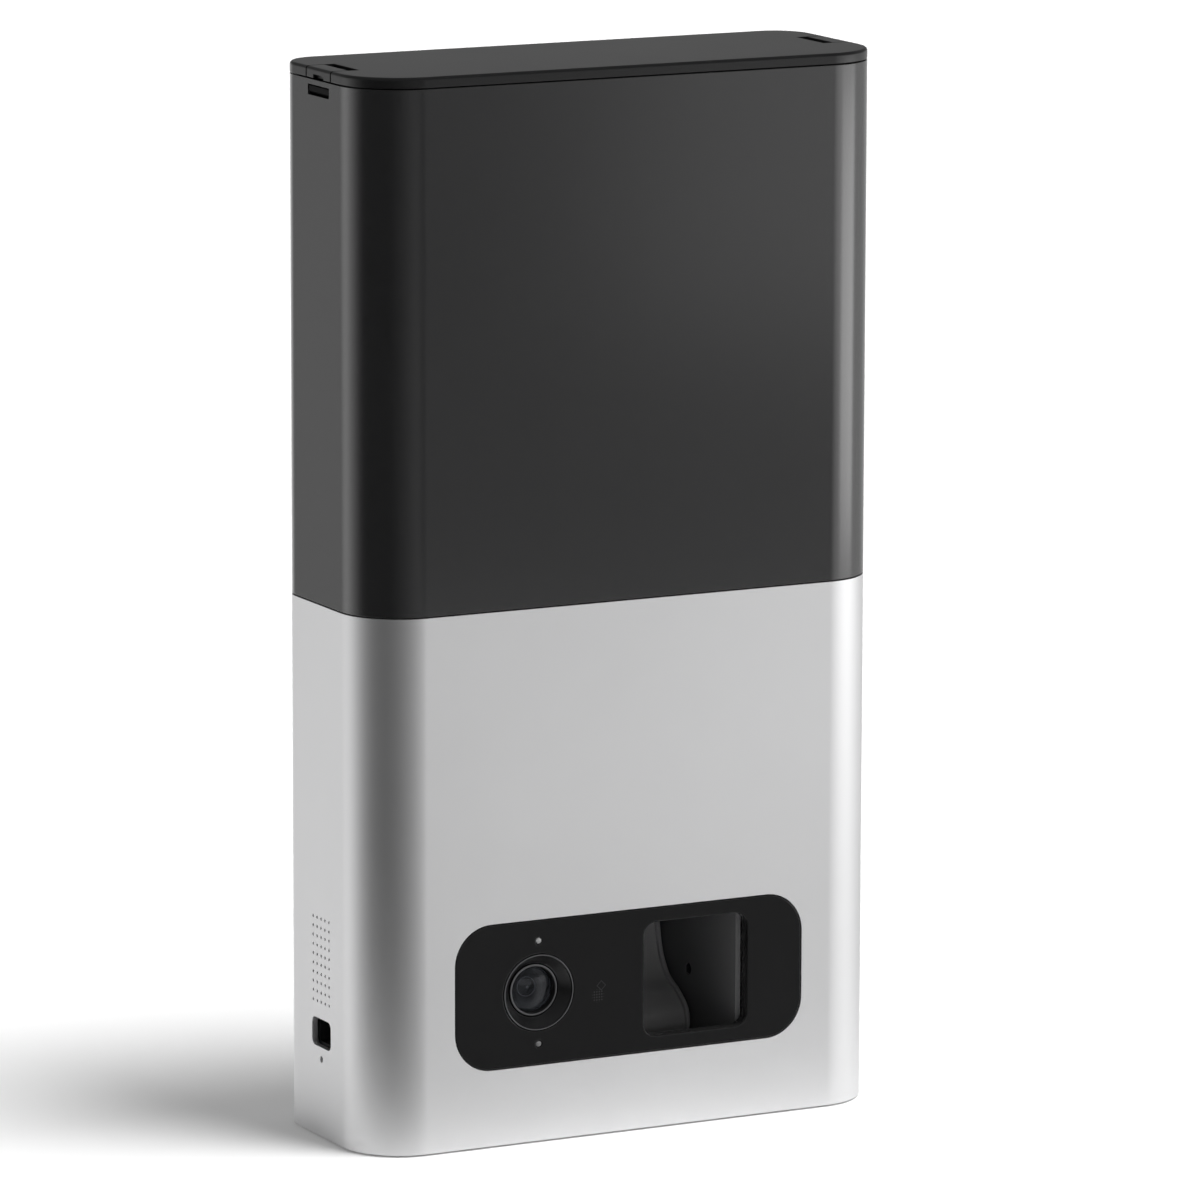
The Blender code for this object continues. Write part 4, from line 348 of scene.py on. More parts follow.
def grown(name, tree, start=None, **sizes):
    """Runs a geometry tree with its inputs set and keeps the result as a plain mesh object."""
    obj = bpy.data.objects.new(name, start or bpy.data.meshes.new(name))
    studio.collection.objects.link(obj)
    modifier = obj.modifiers.new("tree", "NODES")
    modifier.node_group = tree
    for item in tree.interface.items_tree:
        if item.in_out == "INPUT" and item.name.lower() in sizes:
            modifier[item.identifier] = sizes[item.name.lower()]
    return baked(obj)


def lifted(tree, geometry, height):
    """Geometry moved up by a height."""
    shift = node_in(tree, "ShaderNodeCombineXYZ", {"Z": height}).outputs[0]
    return node_in(tree, "GeometryNodeTransform", {"Geometry": geometry, "Translation": shift}).outputs[0]


def rounded_plan(tree, trim):
    """The body's plan as a curve, drawn in by a trim: wide round corners in front, tighter ones behind."""
    both = maths(tree, "MULTIPLY", trim, 2.0)
    outline = node_in(tree, "GeometryNodeCurvePrimitiveQuadrilateral",
                      {"Width": maths(tree, "SUBTRACT", BODY_WIDTH, both),
                       "Height": maths(tree, "SUBTRACT", BODY_DEPTH, both)})
    place = node_in(tree, "ShaderNodeSeparateXYZ", {0: node_in(tree, "GeometryNodeInputPosition").outputs[0]})
    in_front = maths(tree, "LESS_THAN", place.outputs["Y"], 0.0)
    extra = maths(tree, "MULTIPLY", in_front, FRONT_CORNER - REAR_CORNER)
    radius = maths(tree, "SUBTRACT", maths(tree, "ADD", extra, REAR_CORNER), trim)
    values = {"Curve": outline.outputs[0], "Radius": radius, "Count": CORNER_POINTS}
    return node_in(tree, "GeometryNodeFilletCurve", values, mode="POLY").outputs[0]


def build_tube_tree():
    """A straight wall that follows the body's plan, from one height to another."""
    tree, given = geometry_tree("body_tube", Inset="Float", Wall="Float", Low="Float", High="Float")
    plan = rounded_plan(tree, maths(tree, "ADD", given["Inset"], maths(tree, "MULTIPLY", given["Wall"], 0.5)))
    upright = node_in(tree, "GeometryNodeSetCurveNormal", {"Curve": plan}, mode="Z_UP")
    height = maths(tree, "SUBTRACT", given["High"], given["Low"])
    section = node_in(tree, "GeometryNodeCurvePrimitiveQuadrilateral",
                      {"Width": given["Wall"], "Height": height})
    sweep = node_in(tree, "GeometryNodeCurveToMesh",
                    {"Curve": upright.outputs[0], "Profile Curve": section.outputs[0]})
    middle = maths(tree, "MULTIPLY", maths(tree, "ADD", given["High"], given["Low"]), 0.5)
    return end_tree(tree, given, lifted(tree, sweep.outputs[0], middle))


body_tube = build_tube_tree()


def on_circle(centre, radius, angle):
    """The point of a circle at an angle."""
    return (centre[0] + radius * math.cos(angle), centre[1] + radius * math.sin(angle))


def corner_arcs(corners, points):
    """Points of an outline with four round corners, each (its arc's middle, radius), anticlockwise."""
    outline = []
    for index, (u, v, radius) in enumerate(corners):
        for step in range(points + 1):
            angle = (180 + 90 * (index + step / points)) * DEGREE
            outline.append(on_circle((u, v), radius, angle))
    return outline


def round_rect(centre, size, radius, points=10):
    """Points of a rectangle with round corners, anticlockwise."""
    across, up = size[0] / 2 - radius, size[1] / 2 - radius
    return corner_arcs([(centre[0] + side_u * across, centre[1] + side_v * up, radius)
                        for side_u, side_v in ((-1, -1), (1, -1), (1, 1), (-1, 1))], points)


def loft(name, rings, skin, closed=False):
    """Skins a run of outlines that have as many points each. Its ends are joined or closed flat."""
    model = bmesh.new()
    made = [[model.verts.new(point) for point in ring] for ring in rings]
    pairs = list(zip(made, made[1:]))
    if closed:
        pairs.append((made[-1], made[0]))
    else:
        model.faces.new(made[0])
        model.faces.new(made[-1])
    count = len(rings[0])
    for first, second in pairs:
        for index in range(count):
            after = (index + 1) % count
            model.faces.new((first[index], first[after], second[after], second[index]))
    bmesh.ops.recalc_face_normals(model, faces=model.faces)
    return from_model(name, model, skin)


def solid_outline(name, outline, start, end, axis, skin=None):
    """A closed solid between two places on an axis, with the outline across the other two."""
    order = {"X": (2, 0, 1), "Y": (0, 2, 1), "Z": (0, 1, 2)}[axis]
    return loft(name, [[[(u, v, along)[index] for index in order] for u, v in outline]
                       for along in (start, end)], skin)


def drill(outline, start, end, axis="X"):
    """A tool that cuts an outline right through between two places, with some overrun."""
    return solid_outline("drill", outline, start - OVERRUN, end + OVERRUN, axis)


def carve(obj, *tools, operation="DIFFERENCE"):
    """Cuts tools out of an object, or joins them to it, and removes them."""
    for tool in tools:
        modifier = obj.modifiers.new("carve", "BOOLEAN")
        modifier.operation = operation
        modifier.solver = "EXACT"
        modifier.object = tool
    baked(obj)
    for tool in tools:
        bpy.data.objects.remove(tool)
    return obj


def smooth_off(obj, edge=0.0, segments=2):
    """Rounds the sharp edges, shades the rest smooth and keeps the large faces flat."""
    clean = bmesh.new()
    clean.from_mesh(obj.data)
    bmesh.ops.remove_doubles(clean, verts=clean.verts, dist=WELD)
    bmesh.ops.dissolve_degenerate(clean, edges=clean.edges, dist=WELD)
    bmesh.ops.holes_fill(clean, edges=[side for side in clean.edges if side.is_boundary])
    clean.to_mesh(obj.data)
    clean.free()
    if edge:
        modifier = obj.modifiers.new("edge", "BEVEL")
        modifier.width = edge
        modifier.segments = segments
        modifier.limit_method = "ANGLE"
        modifier.angle_limit = SHARP
        modifier.use_clamp_overlap = False
        baked(obj)
    obj.data.shade_smooth()
    obj.data.set_sharp_from_angle(angle=SMOOTH_UNDER)
    weigh = obj.modifiers.new("even", "WEIGHTED_NORMAL")
    weigh.keep_sharp = True
    return baked(obj)


def place_piece(obj, body, slot, *nodes):
    """Puts a finished piece on its body in place of the frame's nodes."""
    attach(obj, body)
    if nodes:
        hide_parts(*nodes)
    return obj


def build_drill_tree():
    """A grid of round drills along X for the speaker holes."""
    tree, given = geometry_tree("speaker_drills", Pitch_Y="Float", Pitch_Z="Float", Columns="Int", Rows="Int",
                                Radius="Float", Length="Float", Centre="Vector")
    sizes = {"Vertices X": given["Columns"], "Vertices Y": given["Rows"]}
    for count, pitch, size in (("Columns", "Pitch_Y", "Size X"), ("Rows", "Pitch_Z", "Size Y")):
        sizes[size] = maths(tree, "MULTIPLY", maths(tree, "SUBTRACT", given[count], 1.0), given[pitch])
    grid = node_in(tree, "GeometryNodeMeshGrid", sizes)
    cutter = node_in(tree, "GeometryNodeMeshCylinder",
                     {"Vertices": GRILLE_SIDES, "Radius": given["Radius"], "Depth": given["Length"]})
    copies = node_in(tree, "GeometryNodeInstanceOnPoints",
                     {"Points": grid.outputs["Mesh"], "Instance": cutter.outputs["Mesh"]})
    stand = node_in(tree, "GeometryNodeTransform",
                    {"Geometry": copies.outputs[0], "Translation": given["Centre"],
                     "Rotation": (90 * DEGREE, 0.0, 90 * DEGREE)})
    return end_tree(tree, given, stand.outputs[0])


silver_skin = finish("silver_metal", (0.90, 0.90, 0.905), 0.52, 1.0, grain=4200.0, bump=0.22, spread=0.10)

lower_low, lower_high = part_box("lower_sleeve")
silver_sleeve = grown("silver_sleeve", body_tube, inset=0.0, wall=SLEEVE_WALL, low=lower_low.z,
                      high=lower_high.z, finish=silver_skin)
window_size = [value + 2 * PANEL_FIT for value in PANEL_SIZE]
side_cuts = [drill(round_rect((SIDE_MIDDLE_Y, middle), size, corner, points), frame_low.x,
                   frame_low.x + SLEEVE_WALL)
             for middle, size, corner, points in ((PORT_MIDDLE, PORT_SIZE, PORT_CORNER, 10),
                                                  (RESET_MIDDLE, (2 * RESET_HOLE, 2 * RESET_HOLE),
                                                   RESET_HOLE - WELD, 5))]
carve(silver_sleeve,
      drill(round_rect(PANEL_CENTRE, window_size, PANEL_CORNER + PANEL_FIT, 16), frame_low.y,
            frame_low.y + SLEEVE_WALL, "Y"),
      *side_cuts,
      grown("grille_tool", build_drill_tree(), pitch_y=GRILLE_PITCH[0], pitch_z=GRILLE_PITCH[1],
            columns=GRILLE_COUNT[0], rows=GRILLE_COUNT[1], radius=GRILLE_HOLE,
            length=SLEEVE_WALL + 2 * OVERRUN,
            centre=(frame_low.x + SLEEVE_WALL / 2, SIDE_MIDDLE_Y, GRILLE_MIDDLE), finish=silver_skin))
smooth_off(silver_sleeve, SLEEVE_EDGE)
place_piece(silver_sleeve, "housing", "silver_anodised", "lower_sleeve")

# Upper sleeve
# The same tube in black, with a slot through each end for the lid's latch teeth. Its black oxide is
# dense and glassy, so it shines more than plastic does.
OXIDE_INDEX = 1.77
SLOT_MIDDLE = (1.7 * MM, 264.4 * MM)
SLOT_SIZE = (12.0 * MM, 2.6 * MM)
SLOT_CORNER = 0.3 * MM
black_skin = finish("black_metal", (0.012, 0.012, 0.0124), 0.2, grain=4200.0, bump=0.07, spread=0.10,
                    IOR=OXIDE_INDEX)
upper_low, upper_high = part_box("upper_sleeve")
black_sleeve = grown("black_sleeve", body_tube, inset=0.0, wall=SLEEVE_WALL, low=upper_low.z,
                     high=upper_high.z, finish=black_skin)
carve(black_sleeve, drill(round_rect(SLOT_MIDDLE, SLOT_SIZE, SLOT_CORNER, 4), frame_low.x, frame_high.x))
smooth_off(black_sleeve, SLEEVE_EDGE)
place_piece(black_sleeve, "housing", "black_anodised", "upper_sleeve")

# Foot pad
# A moulded rubber sheet glued under the base, half a millimetre proud of the sleeve. Two grooves
# that follow its edge give it grip.
PAD_EDGE = 0.3 * MM
GROOVE_INSETS = (3.5 * MM, 6.0 * MM)
GROOVE_WIDTH = 1.2 * MM
GROOVE_DEPTH = 0.5 * MM


def build_plate_tree():
    """A flat plate cut to the body's plan, between two heights."""
    tree, given = geometry_tree("body_plate", Inset="Float", Low="Float", High="Float")
    plan = rounded_plan(tree, given["Inset"])
    sheet = node_in(tree, "GeometryNodeFillCurve", {"Curve": plan}, mode="NGONS").outputs[0]
    height = maths(tree, "SUBTRACT", given["High"], given["Low"])
    raised = node_in(tree, "GeometryNodeExtrudeMesh",
                     {"Mesh": sheet, "Offset Scale": height, "Individual": False}, mode="FACES")
    under = node_in(tree, "GeometryNodeFlipFaces", {"Mesh": sheet})
    both_sides = node_in(tree, "GeometryNodeJoinGeometry", {0: raised.outputs["Mesh"]})
    feed(tree, both_sides.inputs[0], under.outputs[0])
    welded = node_in(tree, "GeometryNodeMergeByDistance",
                     {"Geometry": both_sides.outputs[0], "Distance": WELD})
    return end_tree(tree, given, lifted(tree, welded.outputs[0], given["Low"]))


body_plate = build_plate_tree()
rubber_skin = finish("black_rubber", (0.018, 0.018, 0.018), 0.78, grain=2600.0, bump=0.35,
                     depth=2 * GRAIN_DEPTH)
pad_low, pad_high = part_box("foot_pad")
foot_pad = grown("rubber_foot", body_plate, inset=pad_low.x - frame_low.x, low=pad_low.z, high=pad_high.z,
                 finish=rubber_skin)
carve(foot_pad, *[grown("groove_tool", body_tube, inset=inset, wall=GROOVE_WIDTH, low=pad_low.z - OVERRUN,
                        high=pad_low.z + GROOVE_DEPTH, finish=rubber_skin) for inset in GROOVE_INSETS])
smooth_off(foot_pad, PAD_EDGE)
place_piece(foot_pad, "housing", "rubber", "foot_pad")

# Base plate and its screws
# A moulded plate that closes the sleeve from below. Four pan head steel screws in round recesses pull
# it up against the frame inside.
HEAD_RADIUS = 2.5 * MM
HEAD_HEIGHT = 1.5 * MM
SHANK_RADIUS = 1.1 * MM
THREAD_PITCH = 0.6 * MM
THREAD_DEPTH = 0.16 * MM
DRIVE_RADIUS = 0.95 * MM
DRIVE_DEPTH = 0.9 * MM
SCREW_CLEARANCE = 0.3 * MM
TURN_STEPS = 32
SCREW_STEPS = 20
HEAD_SHAPE = ((0.0, 0.0), (0.62, 0.0), (0.88, 0.2), (1.0, 0.55), (1.0, 1.0))
TIP_SHARE = 0.6
BASE_EDGE = 0.25 * MM
BASE_SCREW_LENGTH = 8.0 * MM
black_plastic = finish("moulded_black", (0.013, 0.013, 0.0135), 0.5, grain=3400.0, bump=0.18)
steel_skin = finish("turned_steel", (0.52, 0.52, 0.53), 0.3, 1.0, grain=6000.0, bump=0.08, spread=0.12)


def middle_of(node, axes="yz"):
    """The middle of one of the frame's nodes, across two axes."""
    low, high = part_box(node)
    return tuple((low["xyz".index(axis)] + high["xyz".index(axis)]) / 2 for axis in axes)


def circle(centre, radius, steps=TURN_STEPS):
    """Points of a circle, anticlockwise."""
    return [on_circle(centre, radius, 360 * DEGREE * step / steps) for step in range(steps)]


AXIS_TURNS = {"X": Matrix.Rotation(90 * DEGREE, 4, "Y"), "FRONT": Matrix.Rotation(90 * DEGREE, 4, "X"),
              "BACK": Matrix.Rotation(-90 * DEGREE, 4, "X"), "UP": Matrix.Identity(4),
              "DOWN": Matrix.Rotation(180 * DEGREE, 4, "X")}


def lathe(name, profile, centre, axis, skin, steps=TURN_STEPS, closed=False):
    """Turns a profile of (radius, place along the axis) points about an axis through centre."""
    model = bmesh.new()
    rings = []
    for radius, along in profile:
        if radius <= 0.0:
            rings.append([model.verts.new((0.0, 0.0, along))])
        else:
            rings.append([model.verts.new((u, v, along)) for u, v in circle((0.0, 0.0), radius, steps)])
    pairs = list(zip(rings, rings[1:] + rings[:1])) if closed else list(zip(rings, rings[1:]))
    for first, second in pairs:
        for step in range(steps):
            after = (step + 1) % steps
            corners = [first[step % len(first)], first[after % len(first)],
                       second[after % len(second)], second[step % len(second)]]
            unique = list(dict.fromkeys(corners))
            if len(unique) > 2:
                model.faces.new(unique)
    bmesh.ops.recalc_face_normals(model, faces=model.faces)
    model.transform(Matrix.Translation(centre) @ AXIS_TURNS[axis])
    return from_model(name, model, skin)


def screw_model(length):
    """A pan head screw with a socket and rolled threads, head up at the origin."""
    profile = [(HEAD_RADIUS * across, -HEAD_HEIGHT * down) for across, down in HEAD_SHAPE]
    profile.append((SHANK_RADIUS, -HEAD_HEIGHT))
    along = HEAD_HEIGHT + THREAD_PITCH
    while along < length - THREAD_PITCH:
        profile.append((SHANK_RADIUS, -along))
        profile.append((SHANK_RADIUS - THREAD_DEPTH, -along - THREAD_PITCH / 2))
        along += THREAD_PITCH
    profile += [(SHANK_RADIUS * TIP_SHARE, -length), (0.0, -length)]
    model = lathe("screw_model", profile, (0.0, 0.0, 0.0), "UP", steel_skin, SCREW_STEPS)
    socket = solid_outline("socket_tool", circle((0.0, 0.0), DRIVE_RADIUS, 6), -DRIVE_DEPTH, OVERRUN, "Z")
    carve(model, socket)
    return smooth_off(model)


def build_set_tree():
    """Copies of one model on the points that the tree is given, all turned alike."""
    tree, given = geometry_tree("set_of_copies", Geometry="Geometry", Model="Object", Turn="Rotation")
    model = node_in(tree, "GeometryNodeObjectInfo", {"Object": given["Model"]})
    copies = node_in(tree, "GeometryNodeInstanceOnPoints",
                     {"Points": given["Geometry"], "Instance": model.outputs["Geometry"],
                      "Rotation": given["Turn"]})
    return end_tree(tree, given, copies.outputs[0])


set_of_copies = build_set_tree()


def copies_at(name, model, places, skin, turn=(0.0, 0.0, 0.0)):
    """One mesh of a model repeated at places, through the geometry tree; the model itself is removed."""
    points = bpy.data.meshes.new(name)
    points.from_pydata([tuple(place) for place in places], [], [])
    result = grown(name, set_of_copies, start=points, model=model, turn=turn, finish=skin)
    bpy.data.objects.remove(model)
    return result


def fit_screws(name, nodes, length, axis):
    """A set of screws, head out along the axis, in place of the frame's plain ones."""
    places = []
    for node in nodes:
        low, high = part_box(node)
        middle = (low + high) / 2
        head = {"FRONT": (middle.x, low.y, middle.z), "BACK": (middle.x, high.y, middle.z),
                "DOWN": (middle.x, middle.y, low.z)}[axis]
        places.append(head)
    screws = copies_at(name, screw_model(length), places, steel_skin, AXIS_TURNS[axis].to_euler())
    return place_piece(screws, "housing", "steel", *nodes)


base_low, base_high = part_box("base_cover")
base_screw_nodes = [f"base_screw_{index}" for index in range(1, 5)]
base_plate = grown("base_plate", body_plate, inset=base_low.x - frame_low.x, low=base_low.z, high=base_high.z,
                   finish=black_plastic)
base_tools = []
for screw_node in base_screw_nodes:
    spot = middle_of(screw_node, "xy")
    recess_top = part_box(screw_node)[0].z + HEAD_HEIGHT + SCREW_CLEARANCE
    base_tools.append(solid_outline("recess_tool", circle(spot, HEAD_RADIUS + SCREW_CLEARANCE),
                                    base_low.z - OVERRUN, recess_top, "Z"))
    base_tools.append(solid_outline("hole_tool", circle(spot, SHANK_RADIUS + SCREW_CLEARANCE),
                                    recess_top - SCREW_CLEARANCE, base_high.z + OVERRUN, "Z"))
carve(base_plate, *base_tools)
smooth_off(base_plate, BASE_EDGE)
place_piece(base_plate, "housing", "black_plastic", "base_cover")
fit_screws("base_screws", base_screw_nodes, BASE_SCREW_LENGTH, "DOWN")

# Inner frame
# A black moulding of one floor and one back wall, with screw bosses and board standoffs. Its shape is
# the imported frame's own, in a plain moulded finish.


def dress(skin, *nodes):
    """Gives the frame's own nodes a finish."""
    for node in nodes:
        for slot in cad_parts[node].material_slots:
            slot.material = skin


dress(black_plastic, "chassis")

# Front panel
# A gloss black moulding that sits flush in the sleeve's window, with a wider flange behind the metal.
# It has the throw window, the camera's hole, two pin holes for lights, and posts for the boards.
PANEL_BACK = -22.5 * MM
CAMERA_X = -25.6 * MM
WINDOW_MIDDLE = (18.7 * MM, 38.6 * MM)
WINDOW_SIZE = (29.4 * MM, 29.4 * MM)
WINDOW_CORNER = 3.5 * MM
FLANGE_REACH = 2.6 * MM
FLANGE_THICKNESS = 1.6 * MM
CAMERA_HOLE = 9.85 * MM
DOT_HOLE = 0.9 * MM
DOT_SPREAD = 13.2 * MM
POST_RADIUS = 2.6 * MM
PANEL_EDGE = 0.35 * MM
NIGHT_X = -8.1 * MM
NIGHT_POST_GAP = 0.3 * MM
PILOT_FIT = 0.15 * MM
NIGHT_POST_RADIUS = 1.3 * MM
NIGHT_POST_SPREAD = 5.9 * MM
gloss_skin = finish("gloss_black", (0.009, 0.009, 0.0092), 0.1, grain=900.0, bump=0.002, spread=0.3,
                    Specular_IOR_Level=0.24)
LAMP_HALF = 1.2 * MM
LAMP_LINE = 0.14 * MM
SPOTS_MIDDLE = (-9.0 * MM, 36.0 * MM)
SPOTS_REACH = 1.7 * MM
SPOTS_STEP = 0.7 * MM
SPOT_SHARE = 0.3
SEEN_THROUGH = (0.03, 0.03, 0.0305)


def shows_lamp(skin):
    """The night light's square lens and the spots of its spreader show faintly through the panel."""
    tree = skin.node_tree
    shader = tree.nodes["Principled BSDF"]
    place = node_in(tree, "ShaderNodeTexCoord").outputs["Object"]
    split = node_in(tree, "ShaderNodeSeparateXYZ", {0: place}).outputs

    def squared_sum(across, up):
        return maths(tree, "ADD", maths(tree, "MULTIPLY", across, across), maths(tree, "MULTIPLY", up, up))

    across = maths(tree, "SUBTRACT", split["X"], NIGHT_X)
    up = maths(tree, "SUBTRACT", split["Z"], PANEL_MIDDLE)
    reach = maths(tree, "ADD", maths(tree, "ABSOLUTE", across), maths(tree, "ABSOLUTE", up))
    from_line = maths(tree, "ABSOLUTE", maths(tree, "SUBTRACT", reach, LAMP_HALF))
    outline = maths(tree, "LESS_THAN", from_line, LAMP_LINE)
    away = [maths(tree, "SUBTRACT", split[axis], middle) for axis, middle in zip("XZ", SPOTS_MIDDLE)]
    inside = maths(tree, "LESS_THAN", squared_sum(*away), SPOTS_REACH ** 2)
    cells = [maths(tree, "SUBTRACT", maths(tree, "FRACT", maths(tree, "DIVIDE", run, SPOTS_STEP)), 0.5)
             for run in away]
    spots = maths(tree, "LESS_THAN", squared_sum(*cells), SPOT_SHARE ** 2)
    mask = maths(tree, "MAXIMUM", outline, maths(tree, "MULTIPLY", inside, spots))
    plain = shader.inputs["Base Color"].links[0].from_socket
    feed(tree, shader.inputs["Base Color"], mixed(tree, mask, plain, (*SEEN_THROUGH, 1.0), "RGBA"))
    return skin


panel_skin = shows_lamp(finish("gloss_panel", (0.0115, 0.0115, 0.0117), 0.1, grain=900.0, bump=0.002,
                               spread=0.3, Specular_IOR_Level=0.24))
gloss_panel_piece = solid_outline("gloss_panel_plate", round_rect(PANEL_CENTRE, PANEL_SIZE, PANEL_CORNER, 20),
                                  panel_low.y, PANEL_BACK, "Y", panel_skin)
flange_size = [value + 2 * FLANGE_REACH for value in PANEL_SIZE]
flange_outline = round_rect(PANEL_CENTRE, flange_size, PANEL_CORNER + FLANGE_REACH, 12)
board_screws = ("camera_screw_1", "camera_screw_2")
night_posts_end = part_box("night_light_board")[0].y - NIGHT_POST_GAP
additions = [solid_outline("flange_part", flange_outline, PANEL_BACK - FLANGE_THICKNESS,
                           PANEL_BACK + WELD, "Y")]
for board_screw in board_screws:
    additions.append(solid_outline("post_part", circle(middle_of(board_screw, "xz"), POST_RADIUS),
                                   PANEL_BACK - OVERRUN / 2, panel_high.y, "Y"))
for side in (-1, 1):
    spot = (NIGHT_X, PANEL_MIDDLE + side * NIGHT_POST_SPREAD)
    additions.append(solid_outline("night_post_part", circle(spot, NIGHT_POST_RADIUS, 20),
                                   PANEL_BACK - OVERRUN / 2, night_posts_end, "Y"))
carve(gloss_panel_piece, *additions, operation="UNION")
openings = [drill(outline, panel_low.y, PANEL_BACK, "Y")
            for outline in (round_rect(WINDOW_MIDDLE, WINDOW_SIZE, WINDOW_CORNER),
                            circle((CAMERA_X, PANEL_MIDDLE), CAMERA_HOLE, 64),
                            circle((CAMERA_X, PANEL_MIDDLE - DOT_SPREAD), DOT_HOLE, 20),
                            circle((CAMERA_X, PANEL_MIDDLE + DOT_SPREAD), DOT_HOLE, 20))]
for board_screw in board_screws:
    pilot = circle(middle_of(board_screw, "xz"), SHANK_RADIUS + PILOT_FIT, 20)
    openings.append(solid_outline("pilot_tool", pilot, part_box(board_screw)[0].y, panel_high.y + OVERRUN,
                                  "Y"))
carve(gloss_panel_piece, *openings)
smooth_off(gloss_panel_piece, PANEL_EDGE, 3)
place_piece(gloss_panel_piece, "housing", "black_gloss", "front_panel")

# Pin lights
# Two clear moulded light guides. Each has a thin stem with a domed end in the panel and a collar behind
# it: a status light above the camera and a light sensor's guide below.
DOT_RADIUS = 0.75 * MM
DOT_COLLAR = 1.5 * MM
DOT_DOME = 0.15 * MM
DOT_EDGE = 0.08 * MM
DOME_SHAPE = (0.6, 0.4)
COLLAR_GAP = 0.3 * MM
DOT_STEPS = 28
# The guides' own pale finish. The lens's pupil reuses it for its painted highlights.
guide_and_glint_skin = finish("light_guide", (0.3, 0.3, 0.3), 0.28, grain=2000.0, bump=0.03)
dim_guide_skin = finish("sensor_guide", (0.14, 0.14, 0.14), 0.28, grain=2000.0, bump=0.03)
for guide_node, guide_piece, skin in (("status_light", "status_guide", guide_and_glint_skin),
                                      ("light_sensor", "sensor_guide", dim_guide_skin)):
    dot_low, dot_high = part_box(guide_node)
    dot_centre = (CAMERA_X, 0.0, middle_of(guide_node)[1])
    dot_front, collar_front = -dot_low.y, -PANEL_BACK - COLLAR_GAP
    guide_profile = [(0.0, dot_front), (DOT_RADIUS * DOME_SHAPE[0], dot_front - DOT_DOME * DOME_SHAPE[1]),
                     (DOT_RADIUS, dot_front - DOT_DOME), (DOT_RADIUS, collar_front),
                     (DOT_COLLAR, collar_front), (DOT_COLLAR, -dot_high.y), (0.0, -dot_high.y)]
    light_guide = lathe(guide_piece, guide_profile, dot_centre, "FRONT", skin, DOT_STEPS)
    smooth_off(light_guide, DOT_EDGE)
    place_piece(light_guide, "housing", "light_pipe", guide_node)

# Camera
# A wide angle lens in a black barrel, set back behind a coned ring. Ring and barrel each have a thin bright
# lip. In the pupil, a pale ring and a pale disc on its crown are painted highlights. The barrel's neck is
# clamped in a square mount on the camera board behind the panel.
RING_RADIUS = 9.7 * MM
RING_LIP = 0.35 * MM
RING_BORE = 6.9 * MM
BARREL_RADIUS = 6.6 * MM
BARREL_FRONT = -23.0 * MM
GLASS_SEAT = -21.0 * MM
IRIS_RADIUS = 2.2 * MM
NECK_RADIUS = 5.0 * MM
NECK_LENGTH = 5.5 * MM
NECK_THREAD = (5.0 * MM, 0.8 * MM)
NECK_PITCH = 0.5 * MM
NECK_GROOVE = 0.2 * MM
PUPIL_FRONT = 18.6 * MM
PUPIL_RADIUS = 2.1 * MM
PUPIL_CROWN = 0.7 * MM
PUPIL_STEPS = 8
PUPIL_LIP = 0.16 * MM
PUPIL_FOOT = 0.6 * MM
LIP_SPAN = (0.3 * MM, 0.2 * MM)
GLINT_RADIUS = 0.35 * MM
GLINT_SPAN = (0.05 * MM, 0.2 * MM)
GLASS_CROWN = 0.9 * MM
GLASS_STEPS = 14
GLASS_COAT = (0.5, 0.51, 0.54, 1.0)
LENS_STEPS = 72
CONE_STEP = 0.2 * MM
CONE_FLARE = 0.45 * MM
CONE_DROP = 0.5 * MM
RING_EDGE = 0.1 * MM
RING_LIP_DEPTH = 0.12 * MM
BARREL_EDGE = 0.06 * MM
BARREL_LIP = 0.5 * MM
BARREL_LIP_DEPTH = 0.1 * MM
# The barrel's inside from the iris out: (radius, how far behind the glass's seat), in millimetres.
BARREL_INSIDE = ((3.4, 1.6), (3.5, 1.2), (4.7, 0.3), (4.9, 0.0), (5.8, 0.0))
IRIS_DEPTH = 2.4 * MM
ring_skin = finish("satin_ring", (0.008, 0.008, 0.0085), 0.34, grain=5200.0, bump=0.1)
lip_skin = finish("bright_lip", (0.16, 0.16, 0.165), 0.3, 1.0, grain=6000.0, bump=0.05)
lens_axis = (CAMERA_X, 0.0, PANEL_MIDDLE)
ring_low, ring_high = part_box("camera_ring")
ring_front, ring_rear = -ring_low.y, -ring_high.y
ring_profile = [(RING_RADIUS - RING_LIP, ring_front), (RING_RADIUS, ring_front), (RING_RADIUS, ring_rear),
                (RING_BORE, ring_rear), (RING_BORE, -BARREL_FRONT - CONE_STEP),
                (RING_BORE + CONE_FLARE, -BARREL_FRONT), (RING_RADIUS - RING_LIP, ring_front - CONE_DROP)]


def join_into(target, *others):
    """Puts other objects' meshes into one, with their materials."""
    joined = bmesh.new()
    joined.from_mesh(target.data)
    for other in others:
        slots = []
        for skin in other.data.materials:
            if skin.name not in target.data.materials:
                target.data.materials.append(skin)
            slots.append(target.data.materials.find(skin.name))
        known = len(joined.faces)
        joined.from_mesh(other.data)
        joined.faces.ensure_lookup_table()
        for face in joined.faces[known:]:
            face.material_index = slots[face.material_index]
        bpy.data.objects.remove(other)
    joined.to_mesh(target.data)
    joined.free()
    return target


def paint_faces(obj, skin, chosen):
    """Gives a second finish to the faces whose middles pass a test."""
    obj.data.materials.append(skin)
    for face in obj.data.polygons:
        if chosen(face.center):
            face.material_index = 1


def brighten_lip(obj, behind, reach):
    """Gives a round part's front faces past a radius the bright finish."""
    paint_faces(obj, lip_skin, lambda spot: spot.y < behind
                and math.hypot(spot.x - CAMERA_X, spot.z - PANEL_MIDDLE) > reach)


def dome(radius, top, crown, steps):
    """A profile that falls by its crown from the middle out to its radius."""
    return [(radius * step / steps, top - crown * (step / steps) ** 2) for step in range(steps + 1)]


